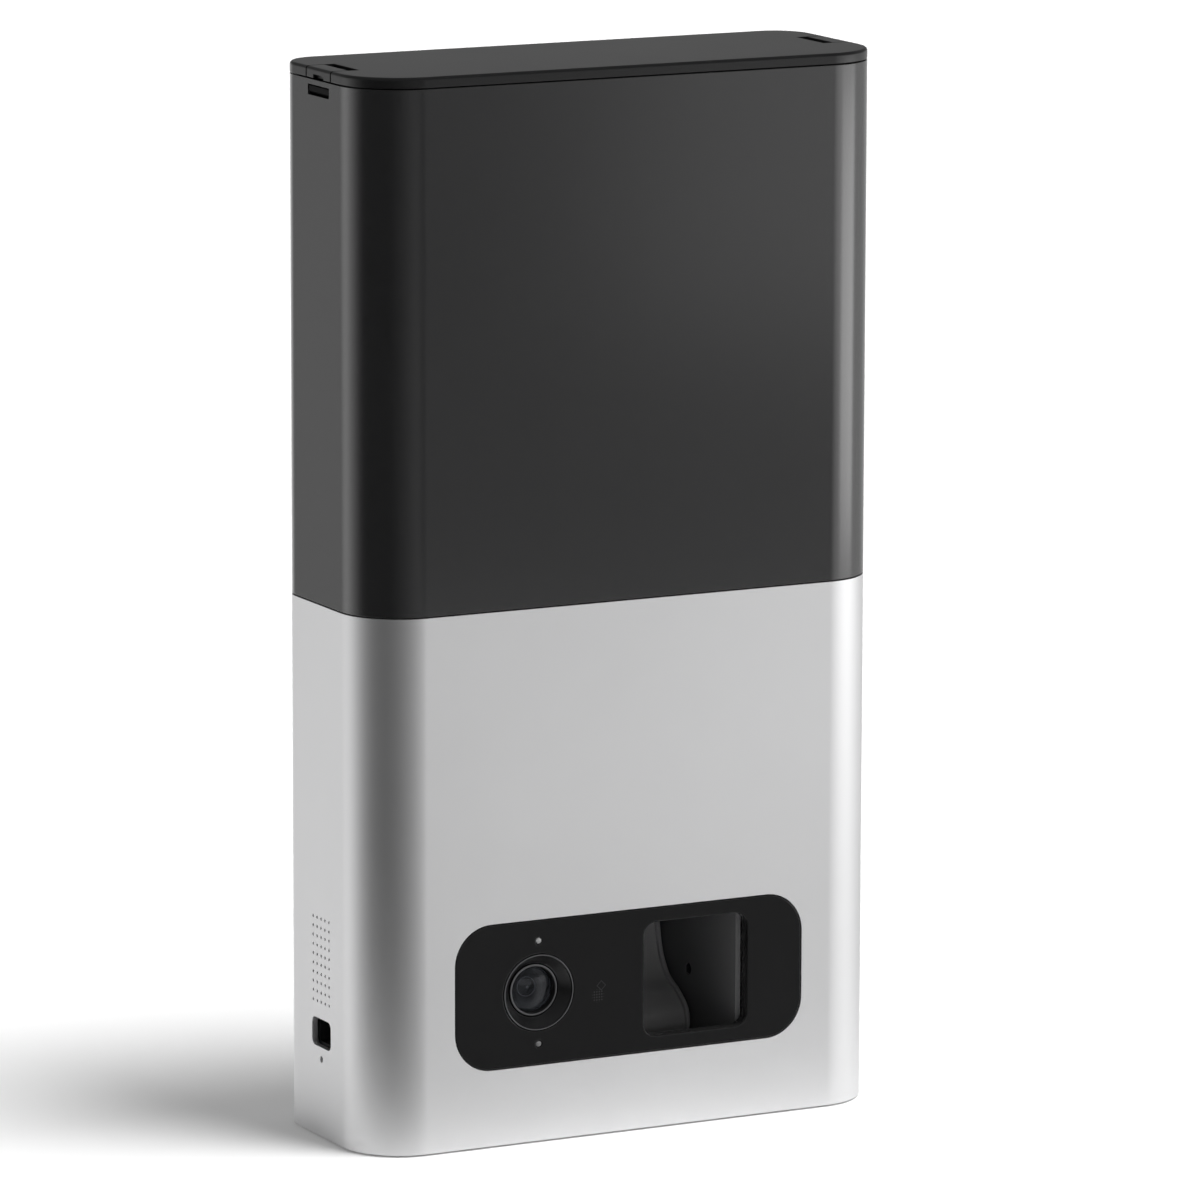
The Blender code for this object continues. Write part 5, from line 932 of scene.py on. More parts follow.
camera_ring = lathe("camera_cone", ring_profile, lens_axis, "FRONT", ring_skin, LENS_STEPS, closed=True)
smooth_off(camera_ring, RING_EDGE, 3)
brighten_lip(camera_ring, ring_low.y + RING_LIP_DEPTH, RING_RADIUS - 1.5 * RING_LIP)
place_piece(camera_ring, "housing", "black_plastic", "camera_ring")

barrel_low, barrel_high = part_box("lens_barrel")
barrel_rear = -barrel_high.y
barrel_front = -BARREL_FRONT
barrel_profile = [(BARREL_RADIUS - BARREL_LIP, barrel_front), (BARREL_RADIUS, barrel_front),
                  (BARREL_RADIUS, barrel_rear + NECK_LENGTH), (NECK_RADIUS, barrel_rear + NECK_LENGTH)]
thread = barrel_rear + NECK_THREAD[0]
while thread > barrel_rear + NECK_THREAD[1]:
    barrel_profile += [(NECK_RADIUS, thread), (NECK_RADIUS - NECK_GROOVE, thread - NECK_PITCH / 2)]
    thread -= NECK_PITCH
barrel_profile += [(NECK_RADIUS, barrel_rear), (IRIS_RADIUS, barrel_rear),
                   (IRIS_RADIUS, -GLASS_SEAT - IRIS_DEPTH)]
barrel_profile += [(radius * MM, -GLASS_SEAT - depth * MM) for radius, depth in BARREL_INSIDE]
barrel_profile.append((BARREL_INSIDE[-1][0] * MM, barrel_front - BARREL_LIP))
barrel_skin = finish("barrel_black", (0.005, 0.005, 0.0052), 0.6, grain=5200.0, bump=0.1)
barrel = lathe("camera_barrel", barrel_profile, lens_axis, "FRONT", barrel_skin, LENS_STEPS, closed=True)
smooth_off(barrel, BARREL_EDGE)
brighten_lip(barrel, BARREL_FRONT + BARREL_LIP_DEPTH, BARREL_RADIUS - BARREL_LIP)
# The pale ring round the pupil and the pale disc on its crown are painted highlights in the light guides'
# finish.
pupil_top, pupil_foot = PUPIL_FRONT + PUPIL_CROWN, PUPIL_FRONT - PUPIL_FOOT
pupil_profile = dome(PUPIL_RADIUS, pupil_top, PUPIL_CROWN, PUPIL_STEPS)
pupil_profile += [(PUPIL_RADIUS, pupil_foot), (0.0, pupil_foot)]
lip_front, lip_rear = PUPIL_FRONT + LIP_SPAN[0], PUPIL_FRONT - LIP_SPAN[1]
painted_ring_profile = [(PUPIL_RADIUS, lip_front), (PUPIL_RADIUS + PUPIL_LIP, lip_front),
               (PUPIL_RADIUS + PUPIL_LIP, lip_rear), (PUPIL_RADIUS, lip_rear)]
glint_foot = pupil_top - GLINT_SPAN[1]
painted_glint_profile = [(0.0, pupil_top + GLINT_SPAN[0]), (GLINT_RADIUS, pupil_top), (GLINT_RADIUS, glint_foot),
                 (0.0, glint_foot)]
join_into(barrel, smooth_off(lathe("pupil_part", pupil_profile, lens_axis, "FRONT", gloss_skin, LENS_STEPS)),
          lathe("pupil_lip", painted_ring_profile, lens_axis, "FRONT", guide_and_glint_skin, LENS_STEPS, closed=True),
          lathe("pupil_glint", painted_glint_profile, lens_axis, "FRONT", guide_and_glint_skin, 20))
place_piece(barrel, "housing", "black_plastic", "lens_barrel")

glass_skin = finish("coated_glass", (0.4, 0.42, 0.45), 0.02, grain=40.0, bump=0.0, spread=0.02, IOR=1.5,
                    Transmission_Weight=1.0, Specular_IOR_Level=0.45, Specular_Tint=GLASS_COAT)
glass_low, glass_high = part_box("lens_glass")
glass_radius = (glass_high.x - glass_low.x) / 2
glass_profile = dome(glass_radius, -glass_low.y, GLASS_CROWN, GLASS_STEPS)
glass_profile += [(glass_radius, -glass_high.y), (0.0, -glass_high.y)]
lens = lathe("lens_dome", glass_profile, lens_axis, "FRONT", glass_skin, LENS_STEPS)
smooth_off(lens)
place_piece(lens, "housing", "lens_glass", "lens_glass")

# Lens mount, camera board and ribbon
# A square moulded mount holds the barrel's neck on a small circuit board. The board sits on two posts
# of the panel with screws from behind, and a flat ribbon runs from it up to the main board.
TRACE_SCALE = 900.0
TRACE_SHARE = 0.42
TRACE_RINGS = 3.0
TRACE_RELIEF = 0.4
TRACE_DEPTH = 0.03 * MM
RIBBON_FILM = (0.24, 0.1, 0.025)
RIBBON_STRAND = (0.42, 0.2, 0.07)
STRAND_PITCH = 0.8 * MM
STRAND_SHARE = 0.55
CAMERA_SCREW_LENGTH = 7.0 * MM


def board_finish(name, mask, track, scale=TRACE_SCALE):
    """Solder mask over copper tracks: square-cornered lines that show paler through the coat."""
    skin = finish(name, mask, 0.34, grain=3000.0, bump=0.05, Coat_Weight=0.4)
    tree = skin.node_tree
    shader = tree.nodes["Principled BSDF"]
    place = node_in(tree, "ShaderNodeTexCoord").outputs["Object"]
    cells = node_in(tree, "ShaderNodeTexVoronoi", {"Vector": place, "Scale": scale}, feature="F1",
                    distance="CHEBYCHEV")
    rings = maths(tree, "FRACT", maths(tree, "MULTIPLY", cells.outputs["Distance"], TRACE_RINGS))
    lines = maths(tree, "LESS_THAN", rings, TRACE_SHARE)
    relief = node_in(tree, "ShaderNodeBump",
                     {"Strength": TRACE_RELIEF, "Distance": TRACE_DEPTH, "Height": lines})
    feed(tree, shader.inputs["Base Color"], mixed(tree, lines, (*mask, 1.0), (*track, 1.0), "RGBA"))
    feed(tree, shader.inputs["Normal"], relief.outputs[0])
    return skin


def ribbon_finish():
    """A film ribbon with straight conductors that show through it."""
    skin = finish("ribbon_film", RIBBON_FILM, 0.3, grain=2000.0, bump=0.04)
    tree = skin.node_tree
    place = node_in(tree, "ShaderNodeTexCoord").outputs["Object"]
    across = node_in(tree, "ShaderNodeSeparateXYZ", {0: place}).outputs["X"]
    strands = maths(tree, "FRACT", maths(tree, "MULTIPLY", across, 1.0 / STRAND_PITCH))
    shade = mixed(tree, maths(tree, "LESS_THAN", strands, STRAND_SHARE), (*RIBBON_FILM, 1.0),
                  (*RIBBON_STRAND, 1.0), "RGBA")
    feed(tree, tree.nodes["Principled BSDF"].inputs["Base Color"], shade)
    return skin


board_skin = board_finish("green_board", (0.008, 0.05, 0.022), (0.02, 0.12, 0.05))
dress(black_plastic, "lens_mount")
dress(board_skin, "camera_board")
dress(ribbon_finish(), "camera_ribbon")
fit_screws("camera_board_screws", board_screws, CAMERA_SCREW_LENGTH, "BACK")

# Night light
# A round lamp under a clear cap on its own board. It stands behind the dark panel, which it shines
# through, so that only a faint outline of it is seen.
NIGHT_RIM = 0.35 * MM
NIGHT_DOME = ((0.0, 0.0), (0.45, 0.08 * MM), (0.78, 0.35 * MM))
NIGHT_SHOULDER = 0.8 * MM
NIGHT_FLANGE = 0.7 * MM
NIGHT_EDGE = 0.05 * MM
NIGHT_STEPS = 40
lamp_low, lamp_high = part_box("night_light")
lamp_x, lamp_z = middle_of("night_light", "xz")
lamp_radius = (lamp_high.x - lamp_low.x) / 2
lamp_bore, flange_front = lamp_radius - NIGHT_RIM, -lamp_high.y + NIGHT_FLANGE
cap_skin = finish("lamp_cap", (0.85, 0.85, 0.78), 0.2, grain=900.0, bump=0.03)
lamp_profile = [(lamp_radius * share, -lamp_low.y - drop) for share, drop in NIGHT_DOME]
lamp_profile += [(lamp_bore, -lamp_low.y - NIGHT_SHOULDER), (lamp_bore, flange_front),
                 (lamp_radius, flange_front), (lamp_radius, -lamp_high.y), (0.0, -lamp_high.y)]
night_cap = lathe("night_cap", lamp_profile, (lamp_x, 0.0, lamp_z), "FRONT", cap_skin, NIGHT_STEPS)
smooth_off(night_cap, NIGHT_EDGE)
place_piece(night_cap, "housing", "light_pipe", "night_light")
dress(board_finish("white_board", (0.55, 0.55, 0.53), (0.68, 0.68, 0.66), 700.0), "night_light_board")

# Middle frame
# A moulded tray at the seam of the two sleeves. It locates them both and has a hole for the bin's
# throat.
FIT_INSET = 1.9 * MM
CLEARANCE = 0.3 * MM
TRAY_WALL = 2.0 * MM
THROAT_SIZE = (22.6 * MM, 23.4 * MM)
THROAT_CORNER = 2.0 * MM
TRAY_EDGE = 0.25 * MM
tray_low, tray_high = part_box("mid_frame")
tray = grown("middle_tray", body_tube, inset=FIT_INSET, wall=TRAY_WALL, low=tray_low.z, high=tray_high.z,
             finish=black_plastic)
carve(tray, grown("tray_floor", body_plate, inset=FIT_INSET + TRAY_WALL / 2, low=tray_low.z,
                  high=tray_low.z + TRAY_WALL, finish=black_plastic), operation="UNION")
tray_hole = [value + 4 * CLEARANCE for value in THROAT_SIZE]
carve(tray, drill(round_rect((WINDOW_MIDDLE[0], 0.0), tray_hole, THROAT_CORNER), tray_low.z,
                  tray_low.z + TRAY_WALL, "Z"))
smooth_off(tray, TRAY_EDGE)
place_piece(tray, "housing", "black_plastic", "mid_frame")

# Treat bin
# One moulding in grey plastic: a tall wall that lines the sleeve, and a funnel that leads to a throat
# off the middle, above the star wheel.
BIN_INSET = 2.05 * MM
BIN_WALL = 1.5 * MM
FUNNEL_WALL = 1.2 * MM
FUNNEL_TOP = 200.0 * MM
FUNNEL_FOOT = 147.0 * MM
BIN_RIM_ROUND = 0.45 * MM
RIM_SHARE = 0.3
FUNNEL_DROPS = (1.7 * FUNNEL_WALL, 0.4 * FUNNEL_WALL)
PLAN_POINTS = 12
FUNNEL_RINGS = 10
grey_plastic = finish("bin_grey", (0.11, 0.112, 0.115), 0.42, grain=3000.0, bump=0.16)


def at_height(outline, height):
    return [(x, y, height) for x, y in outline]


def plan_points(inset, height, points=PLAN_POINTS):
    """The body's plan at an inset and a height, anticlockwise from its left side."""
    corners = ((-1, -1, FRONT_CORNER), (1, -1, FRONT_CORNER), (1, 1, REAR_CORNER), (-1, 1, REAR_CORNER))
    arcs = [(side_x * (BODY_WIDTH / 2 - corner), side_y * (BODY_DEPTH / 2 - corner), corner - inset)
            for side_x, side_y, corner in corners]
    return at_height(corner_arcs(arcs, points), height)


def throat_points(grow, height):
    """The throat's outline at a height, grown from its inner face."""
    size = [value - 2 * FUNNEL_WALL + 2 * grow for value in THROAT_SIZE]
    return at_height(round_rect((WINDOW_MIDDLE[0], 0.0), size, THROAT_CORNER + grow, PLAN_POINTS), height)


def funnel_rings(grow, top, foot):
    """Outlines that run from the bin's wall down to its throat."""
    mouth, throat = plan_points(inner_inset, 0.0), throat_points(grow, 0.0)
    made = []
    for step in range(FUNNEL_RINGS + 1):
        share = step / FUNNEL_RINGS
        outline = [(a[0] + (b[0] - a[0]) * share, a[1] + (b[1] - a[1]) * share)
                   for a, b in zip(mouth, throat)]
        made.append(at_height(outline, top + (foot - top) * share))
    return made


bin_low, bin_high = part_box("treat_bin")
tray_top = tray_high.z + CLEARANCE
inner_inset = BIN_INSET + BIN_WALL
rim_start = BIN_RIM_ROUND * RIM_SHARE
bin_rim = ((BIN_INSET, BIN_RIM_ROUND), (BIN_INSET + rim_start, rim_start),
           (BIN_INSET + BIN_RIM_ROUND, 0.0), (inner_inset - BIN_RIM_ROUND, 0.0),
           (inner_inset - rim_start, rim_start), (inner_inset, BIN_RIM_ROUND))
rings = [plan_points(BIN_INSET, tray_top)]
rings += [plan_points(inset, bin_high.z - drop) for inset, drop in bin_rim]
rings += funnel_rings(0.0, FUNNEL_TOP, FUNNEL_FOOT)
rings += [throat_points(0.0, bin_low.z), throat_points(FUNNEL_WALL, bin_low.z)]
rings += funnel_rings(FUNNEL_WALL, FUNNEL_TOP - FUNNEL_DROPS[0], FUNNEL_FOOT - FUNNEL_DROPS[1])[::-1]
rings.append(plan_points(inner_inset, tray_top))
treat_hopper = smooth_off(loft("treat_hopper", rings, grey_plastic, closed=True))
place_piece(treat_hopper, "housing", "grey_plastic", "treat_bin")

# Lid
# A black anodised plate with a rounded edge. A skirt under it plugs into the sleeve, and each end has a
# notch for a latch's tab and a guide channel for its slide and spring.
LID_ROUND = 0.8 * MM
LID_UNDER_ROUND = 0.12 * MM
LID_STEPS = 6
SKIRT_WALL = 1.4 * MM
GUIDE_WALL = 1.4 * MM
GUIDE_INNER = 49.35 * MM
NOTCH_INNER = 64.7 * MM
TAB_SIDE_GAP = 0.5 * MM
LID_EDGE = 0.12 * MM
lid_skin = finish("black_lid", (0.006, 0.006, 0.0063), 0.32, grain=4200.0, bump=0.12, spread=0.10)
lid_low, lid_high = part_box("lid_cover")
lid_bottom = upper_high.z + CLEARANCE
latch_low, latch_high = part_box("latch_right")
lid_rim = []
for step in range(LID_STEPS + 1):
    angle = 90 * DEGREE * step / LID_STEPS
    lid_rim.append((LID_ROUND * (1 - math.cos(angle)), lid_high.z - LID_ROUND * (1 - math.sin(angle))))
lid_profile = [(LID_UNDER_ROUND, lid_bottom), (0.0, lid_bottom + LID_UNDER_ROUND), *lid_rim]
lid_plate = loft("lid_plate", [plan_points(*place, CORNER_POINTS) for place in lid_profile], lid_skin)
guide_low = latch_low.y - TAB_SIDE_GAP
guide_high = latch_high.y + TAB_SIDE_GAP
skirt = grown("skirt_part", body_tube, inset=FIT_INSET, wall=SKIRT_WALL, low=lid_low.z,
              high=lid_bottom + CLEARANCE, finish=lid_skin)
guides, channels, notches = [], [], []
for side in (-1, 1):
    reach = (frame_high.x - FIT_INSET - WELD) * side
    guide_start = min(side * (GUIDE_INNER - GUIDE_WALL), reach)
    guide_end = max(side * (GUIDE_INNER - GUIDE_WALL), reach)
    middle = ((guide_start + guide_end) / 2, (guide_low + guide_high) / 2)
    guide_size = (guide_end - guide_start, guide_high - guide_low + 2 * GUIDE_WALL)
    guides.append(solid_outline("guide_part", round_rect(middle, guide_size, WELD, 1), latch_low.z,
                                lid_bottom + CLEARANCE, "Z"))
    for tool_list, inner, low, high in ((channels, GUIDE_INNER, lid_low.z - OVERRUN, lid_bottom),
                                        (notches, NOTCH_INNER, lid_bottom - OVERRUN, lid_high.z + OVERRUN)):
        outer = frame_high.x + OVERRUN
        middle = (side * (inner + outer) / 2, (guide_low + guide_high) / 2)
        size = (outer - inner, guide_high - guide_low)
        tool_list.append(solid_outline("lid_tool", round_rect(middle, size, WELD, 1), low, high, "Z"))
carve(lid_plate, skirt, *guides, operation="UNION")
carve(lid_plate, *channels, *notches)
smooth_off(lid_plate, LID_EDGE)
place_piece(lid_plate, "lid", "black_anodised", "lid_cover")

# Lid liner and seal
# A grey plate that closes the skirt from below and keeps crumbs off the latches, and a silicone ring
# with a rounded face that rests on the bin's rim.
LINER_ROUND = 0.3 * MM
SEAL_WIDTH = 2.2 * MM
SEAL_ROUND = 0.35 * MM
liner_low, liner_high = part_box("lid_liner")
liner = grown("under_plate", body_plate, inset=liner_low.x - frame_low.x, low=liner_low.z, high=liner_high.z,
              finish=grey_plastic)
smooth_off(liner, LINER_ROUND)
place_piece(liner, "lid", "grey_plastic", "lid_liner")
seal_low, seal_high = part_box("lid_seal")
seal_skin = finish("clear_silicone", (0.42, 0.42, 0.41), 0.5, grain=1800.0, bump=0.08)
seal = grown("seal_ring", body_tube, inset=seal_low.x - frame_low.x, wall=SEAL_WIDTH, low=seal_low.z,
             high=seal_high.z, finish=seal_skin)
smooth_off(seal, SEAL_ROUND, 3)
place_piece(seal, "lid", "silicone", "lid_seal")

# Latches
# Each is one black slide: a tab in the lid's end with a finger notch under its edge, a web in the guide
# channel, and a tooth in the sleeve's slot. The tooth's faces in the slot get a darker, duller black as
# painted shade. A coil spring behind it pushes it out.
TAB_INNER = 67.6 * MM
WEB_OUTER = 70.45 * MM
NECK_OUTER = 70.3 * MM
TOOTH_OUTER = 72.35 * MM
TOOTH_LOW = 263.4 * MM
TOOTH_HIGH = 265.4 * MM
TOOTH_SLOPE = 0.7 * MM
NECK_SHOULDER = 1.0 * MM
FINGER_NOTCH = (5.8 * MM, 1.0 * MM, 1.1 * MM)
SPRING_RADIUS = 1.6 * MM
SPRING_WIRE = 0.25 * MM
SPRING_TURNS = 7
COIL_STEPS = 28
WIRE_SIDES = 8
LATCH_EDGE = 0.12 * MM
latch_middle = (latch_low.y + latch_high.y) / 2
# Painted shade: a darker, duller copy of the slide's black for the tooth's faces in the sleeve's slot.
tooth_shade_skin = finish("tooth_painted_shade", (0.005, 0.005, 0.0052), 0.65, grain=3000.0, bump=0.2,
                    Specular_IOR_Level=0.1)


def upright(near, far, low, high):
    """The corners of a rectangle in X and Z."""
    return [(near, low), (far, low), (far, high), (near, high)]


def latch_part(name, side, outline, shoulder=0.0, skin=None):
    """An outline in X and Z for one side, as thick as the latch less a shoulder at each end."""
    return solid_outline(name, [(side * x, z) for x, z in outline], latch_low.y + shoulder,
                         latch_high.y - shoulder, "Y", skin)


def build_coil_tree():
    """A coil of round wire along Z, from the origin up."""
    tree, given = geometry_tree("wire_coil", Radius="Float", Wire="Float", Length="Float", Turns="Float")
    spiral = node_in(tree, "GeometryNodeCurveSpiral",
                     {"Resolution": COIL_STEPS, "Rotations": given["Turns"], "Start Radius": given["Radius"],
                      "End Radius": given["Radius"], "Height": given["Length"]})
    section = node_in(tree, "GeometryNodeCurvePrimitiveCircle",
                      {"Resolution": WIRE_SIDES, "Radius": given["Wire"]})
    sweep = node_in(tree, "GeometryNodeCurveToMesh",
                    {"Curve": spiral.outputs[0], "Profile Curve": section.outputs[0], "Fill Caps": True})
    return end_tree(tree, given, sweep.outputs[0])


wire_coil = build_coil_tree()


def coil_along(name, start, length, radius, wire_radius, turns, skin):
    """A coil of wire along X from a start point; a negative length runs to the left."""
    spring = grown(name, wire_coil, radius=radius, wire=wire_radius, length=abs(length), turns=float(turns),
                   finish=skin)
    turn = AXIS_TURNS["X"] if length > 0 else Matrix.Rotation(-90 * DEGREE, 4, "Y")
    spring.data.transform(Matrix.Translation(start) @ turn)
    return smooth_off(spring)


for side, end in ((-1, "left"), (1, "right")):
    edge = [(TAB_INNER, lid_bottom), *[(frame_high.x - inset, height) for inset, height in lid_profile],
            (TAB_INNER, lid_high.z)]
    latch = latch_part(f"latch_slide_{end}", side, edge, skin=lid_skin)
    neck = upright(TAB_INNER, NECK_OUTER, upper_high.z - CLEARANCE, lid_bottom + CLEARANCE)
    tooth = [(WEB_OUTER - CLEARANCE, TOOTH_LOW), (TOOTH_OUTER - TOOTH_SLOPE, TOOTH_LOW),
             (TOOTH_OUTER, TOOTH_LOW + TOOTH_SLOPE), (TOOTH_OUTER, TOOTH_HIGH),
             (WEB_OUTER - CLEARANCE, TOOTH_HIGH)]
    carve(latch, latch_part("web_part", side, upright(latch_low.x, WEB_OUTER, latch_low.z, upper_high.z)),
          latch_part("neck_part", side, neck, NECK_SHOULDER),
          latch_part("tooth_part", side, tooth, NECK_SHOULDER), operation="UNION")
    width, height, depth = FINGER_NOTCH
    finger = upright(frame_high.x - depth, frame_high.x + OVERRUN, lid_bottom - WELD, lid_bottom + height)
    carve(latch, latch_part("finger_tool", side, finger, latch_middle - width / 2 - latch_low.y))
    smooth_off(latch, LATCH_EDGE)
    # The tooth's faces in the slot take the painted shade.
    paint_faces(latch, tooth_shade_skin, lambda spot: abs(spot.x) > WEB_OUTER - CLEARANCE and spot.z < upper_high.z)
    place_piece(latch, f"latch_{end}", "black_anodised", f"latch_{end}")
    spring_low, spring_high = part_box(f"latch_spring_{end}")
    inner_end = spring_high.x if side < 0 else spring_low.x
    outer_end = spring_low.x if side < 0 else spring_high.x
    middle_z = (spring_low.z + spring_high.z) / 2
    start = Vector((inner_end + side * SPRING_WIRE, latch_middle, middle_z))
    spring = coil_along(f"latch_coil_{end}", start, outer_end - inner_end - side * 2 * SPRING_WIRE,
                        SPRING_RADIUS, SPRING_WIRE, SPRING_TURNS, steel_skin)
    place_piece(spring, "lid", "steel", f"latch_spring_{end}")
    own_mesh(spring)

# Throw chamber
# One dark grey moulding behind the window: two side walls, a sloped floor, a roof and a drop tube. Its
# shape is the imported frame's own.
chute_skin = finish("chute_grey", (0.13, 0.13, 0.132), 0.6, grain=3000.0, bump=0.2)
dress(chute_skin, "launch_chute")

# Throwing paddle
# A moulded scoop with an S-shaped face between two raised rims. A web joins it to the hub on its shaft,
# and it leans back on a rubber stop until it is swung forward.
PIVOT = (9.0 * MM, 15.5 * MM)
SCOOP_FOOT = (2.0 * MM, 17.2 * MM)
SCOOP_RUN = 17.9 * MM
SCOOP_RISE = 32.8 * MM
SCOOP_SHARES = ((0.03, 0.0), (0.0, 0.05), (0.02, 0.13), (0.105, 0.19), (0.316, 0.27), (0.6, 0.35),
                (0.79, 0.48), (0.88, 0.60), (0.925, 0.71), (0.97, 0.85), (1.0, 1.0))
SCOOP_STEPS = 6
RIM_PROUD = 1.0 * MM
RIM_WIDTH = 1.1 * MM
BLADE_THICKNESS = 1.4 * MM
HUB_RADIUS = 3.8 * MM
HUB_STEPS = 28
HUB_JOIN = 20 * DEGREE
WEB_JOIN = 5
SHAFT_RADIUS = 2.0 * MM
BORE_FIT = 0.15 * MM
PADDLE_EDGE = 0.2 * MM
PADDLE_SPRING_RADIUS = 2.9 * MM
PADDLE_SPRING_WIRE = 0.4 * MM
PADDLE_SPRING_TURNS = 5
ROD_CHAMFER = 0.3 * MM
ROD_STEPS = 36
paddle_skin = finish("paddle_grey", (0.45, 0.45, 0.455), 0.42, grain=3200.0, bump=0.14)


def flowing(points, steps):
    """A smooth run through points, with so many steps between each two."""
    run = []
    for index in range(len(points) - 1):
        before, first = points[max(index - 1, 0)], points[index]
        second, after = points[index + 1], points[min(index + 2, len(points) - 1)]
        for step in range(steps):
            t = step / steps
            run.append(tuple(0.5 * (2 * b + (c - a) * t + (2 * a - 5 * b + 4 * c - d) * t * t
                                    + (3 * b - a - 3 * c + d) * t ** 3)
                             for a, b, c, d in zip(before, first, second, after)))
    return run + [points[-1]]


def offset_run(points, distance):
    """A run of points moved sideways by a distance."""
    moved = []
    for index, (y, z) in enumerate(points):
        before, after = points[max(index - 1, 0)], points[min(index + 1, len(points) - 1)]
        run, rise = after[0] - before[0], after[1] - before[1]
        length = math.hypot(run, rise)
        moved.append((y - distance * rise / length, z + distance * run / length))
    return moved


scoop_points = [(SCOOP_FOOT[0] + y * SCOOP_RUN, SCOOP_FOOT[1] + z * SCOOP_RISE) for y, z in SCOOP_SHARES]
scoop_face = flowing(scoop_points, SCOOP_STEPS)
scoop_back = offset_run(scoop_face, -BLADE_THICKNESS)[WEB_JOIN * SCOOP_STEPS:]
hub_arc = [on_circle(PIVOT, HUB_RADIUS, HUB_JOIN - (180 * DEGREE + HUB_JOIN) * step / HUB_STEPS)
           for step in range(HUB_STEPS + 1)]
paddle_low, paddle_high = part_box("launch_paddle")
paddle = solid_outline("throwing_paddle", offset_run(scoop_face, RIM_PROUD) + scoop_back[::-1] + hub_arc,
                       paddle_low.x, paddle_high.x, "X", paddle_skin)
scoop_low, scoop_high = scoop_face[0][1] - OVERRUN, scoop_face[-1][1] + OVERRUN
scoop_front = paddle_low.y - 10 * OVERRUN
hollow = [(scoop_face[0][0], scoop_low), *scoop_face, (scoop_face[-1][0], scoop_high),
          (scoop_front, scoop_high), (scoop_front, scoop_low)]
carve(paddle, solid_outline("hollow_tool", hollow, paddle_low.x + RIM_WIDTH, paddle_high.x - RIM_WIDTH, "X"),
      drill(circle(PIVOT, SHAFT_RADIUS + BORE_FIT), paddle_low.x, paddle_high.x))
smooth_off(paddle, PADDLE_EDGE)
place_piece(paddle, "paddle", "grey_plastic", "launch_paddle")


def turned_rod(name, node, axis, radius, skin):
    """A rod along X with chamfered ends, in place of a plain one."""
    low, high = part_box(node)
    profile = [(0.0, low.x), (radius - ROD_CHAMFER, low.x), (radius, low.x + ROD_CHAMFER),
               (radius, high.x - ROD_CHAMFER), (radius - ROD_CHAMFER, high.x), (0.0, high.x)]
    return smooth_off(lathe(name, profile, (0.0, axis[0], axis[1]), "X", skin, ROD_STEPS))


place_piece(turned_rod("steel_shaft", "paddle_shaft", PIVOT, SHAFT_RADIUS, steel_skin), "paddle", "steel",
            "paddle_shaft")
coil_low, coil_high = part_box("paddle_spring")
paddle_coil = coil_along("return_spring", Vector((coil_low.x + PADDLE_SPRING_WIRE, *PIVOT)),
                         coil_high.x - coil_low.x - 2 * PADDLE_SPRING_WIRE, PADDLE_SPRING_RADIUS,
                         PADDLE_SPRING_WIRE, PADDLE_SPRING_TURNS, steel_skin)
place_piece(paddle_coil, "housing", "steel", "paddle_spring")
dress(rubber_skin, "paddle_bumper")

# Gears
# White nylon gears and steel motor pinions with involute teeth. The wide gears have a rim and a thinner
# web with a ring of lightening holes, as moulded gears do.
PRESSURE_ANGLE = 25 * DEGREE
ADDENDUM = 0.8
DEDENDUM = 1.1
BACKLASH = 0.3 * MM
FLANK_STEPS = 4
COARSE_MODULE = 1.0 * MM
FINE_MODULE = 0.8 * MM
WEB_RECESS = 1.1 * MM
PINION_TEETH = 10
GEAR_EDGE = 0.12 * MM
IDLER_EDGE = 0.1 * MM
PINION_EDGE = 0.06 * MM
WEB_HOLE_SHARE = 0.33
IDLER_RECESS = (7.2 * MM, 10.0 * MM)
DOSING_RECESS = (5.2 * MM, 12.2 * MM)
nylon_skin = finish("moulded_nylon", (0.66, 0.65, 0.61), 0.42, grain=2600.0, bump=0.08)


def gear_teeth(centre, teeth, module, first, count=None):
    """Outline points of a run of involute teeth from the angle of the first tooth's middle."""
    pitch = teeth * module / 2
    base, root, tip = pitch * math.cos(PRESSURE_ANGLE), pitch - DEDENDUM * module, pitch + ADDENDUM * module
    half = math.pi / (2 * teeth) - BACKLASH / (4 * pitch)
    foot = max(root, base)
    flank = []
    for step in range(FLANK_STEPS + 1):
        radius = foot + (tip - foot) * step / FLANK_STEPS
        roll = math.acos(base / radius)
        flank.append((radius, half + math.tan(PRESSURE_ANGLE) - PRESSURE_ANGLE - math.tan(roll) + roll))
    if root < base:
        flank.insert(0, (root, flank[0][1]))
    points = []
    for index in range(count or teeth):
        middle = first + 360 * DEGREE * index / teeth
        for side, run in ((-1, flank), (1, flank[::-1])):
            for radius, opening in run:
                points.append(on_circle(centre, radius, middle + side * opening))
    return points


def ring_tool(centre, inner, outer, start, end):
    """A flat ring to cut away from a gear's face."""
    profile = [(inner, start), (outer, start), (outer, end), (inner, end)]
    return lathe("ring_tool", profile, (0.0, centre[0], centre[1]), "X", None, 48, closed=True)


def lighten(gear, centre, recess, low, high, holes):
    """Recesses both faces of a gear between its hub and its rim, and drills the web."""
    inner, outer = recess
    tools = [ring_tool(centre, inner, outer, low - OVERRUN, low + WEB_RECESS),
             ring_tool(centre, inner, outer, high - WEB_RECESS, high + OVERRUN)]
    for index in range(holes):
        spot = on_circle(centre, (inner + outer) / 2, 360 * DEGREE * index / holes)
        tools.append(drill(circle(spot, (outer - inner) * WEB_HOLE_SHARE, 24), low, high))
    return carve(gear, *tools)


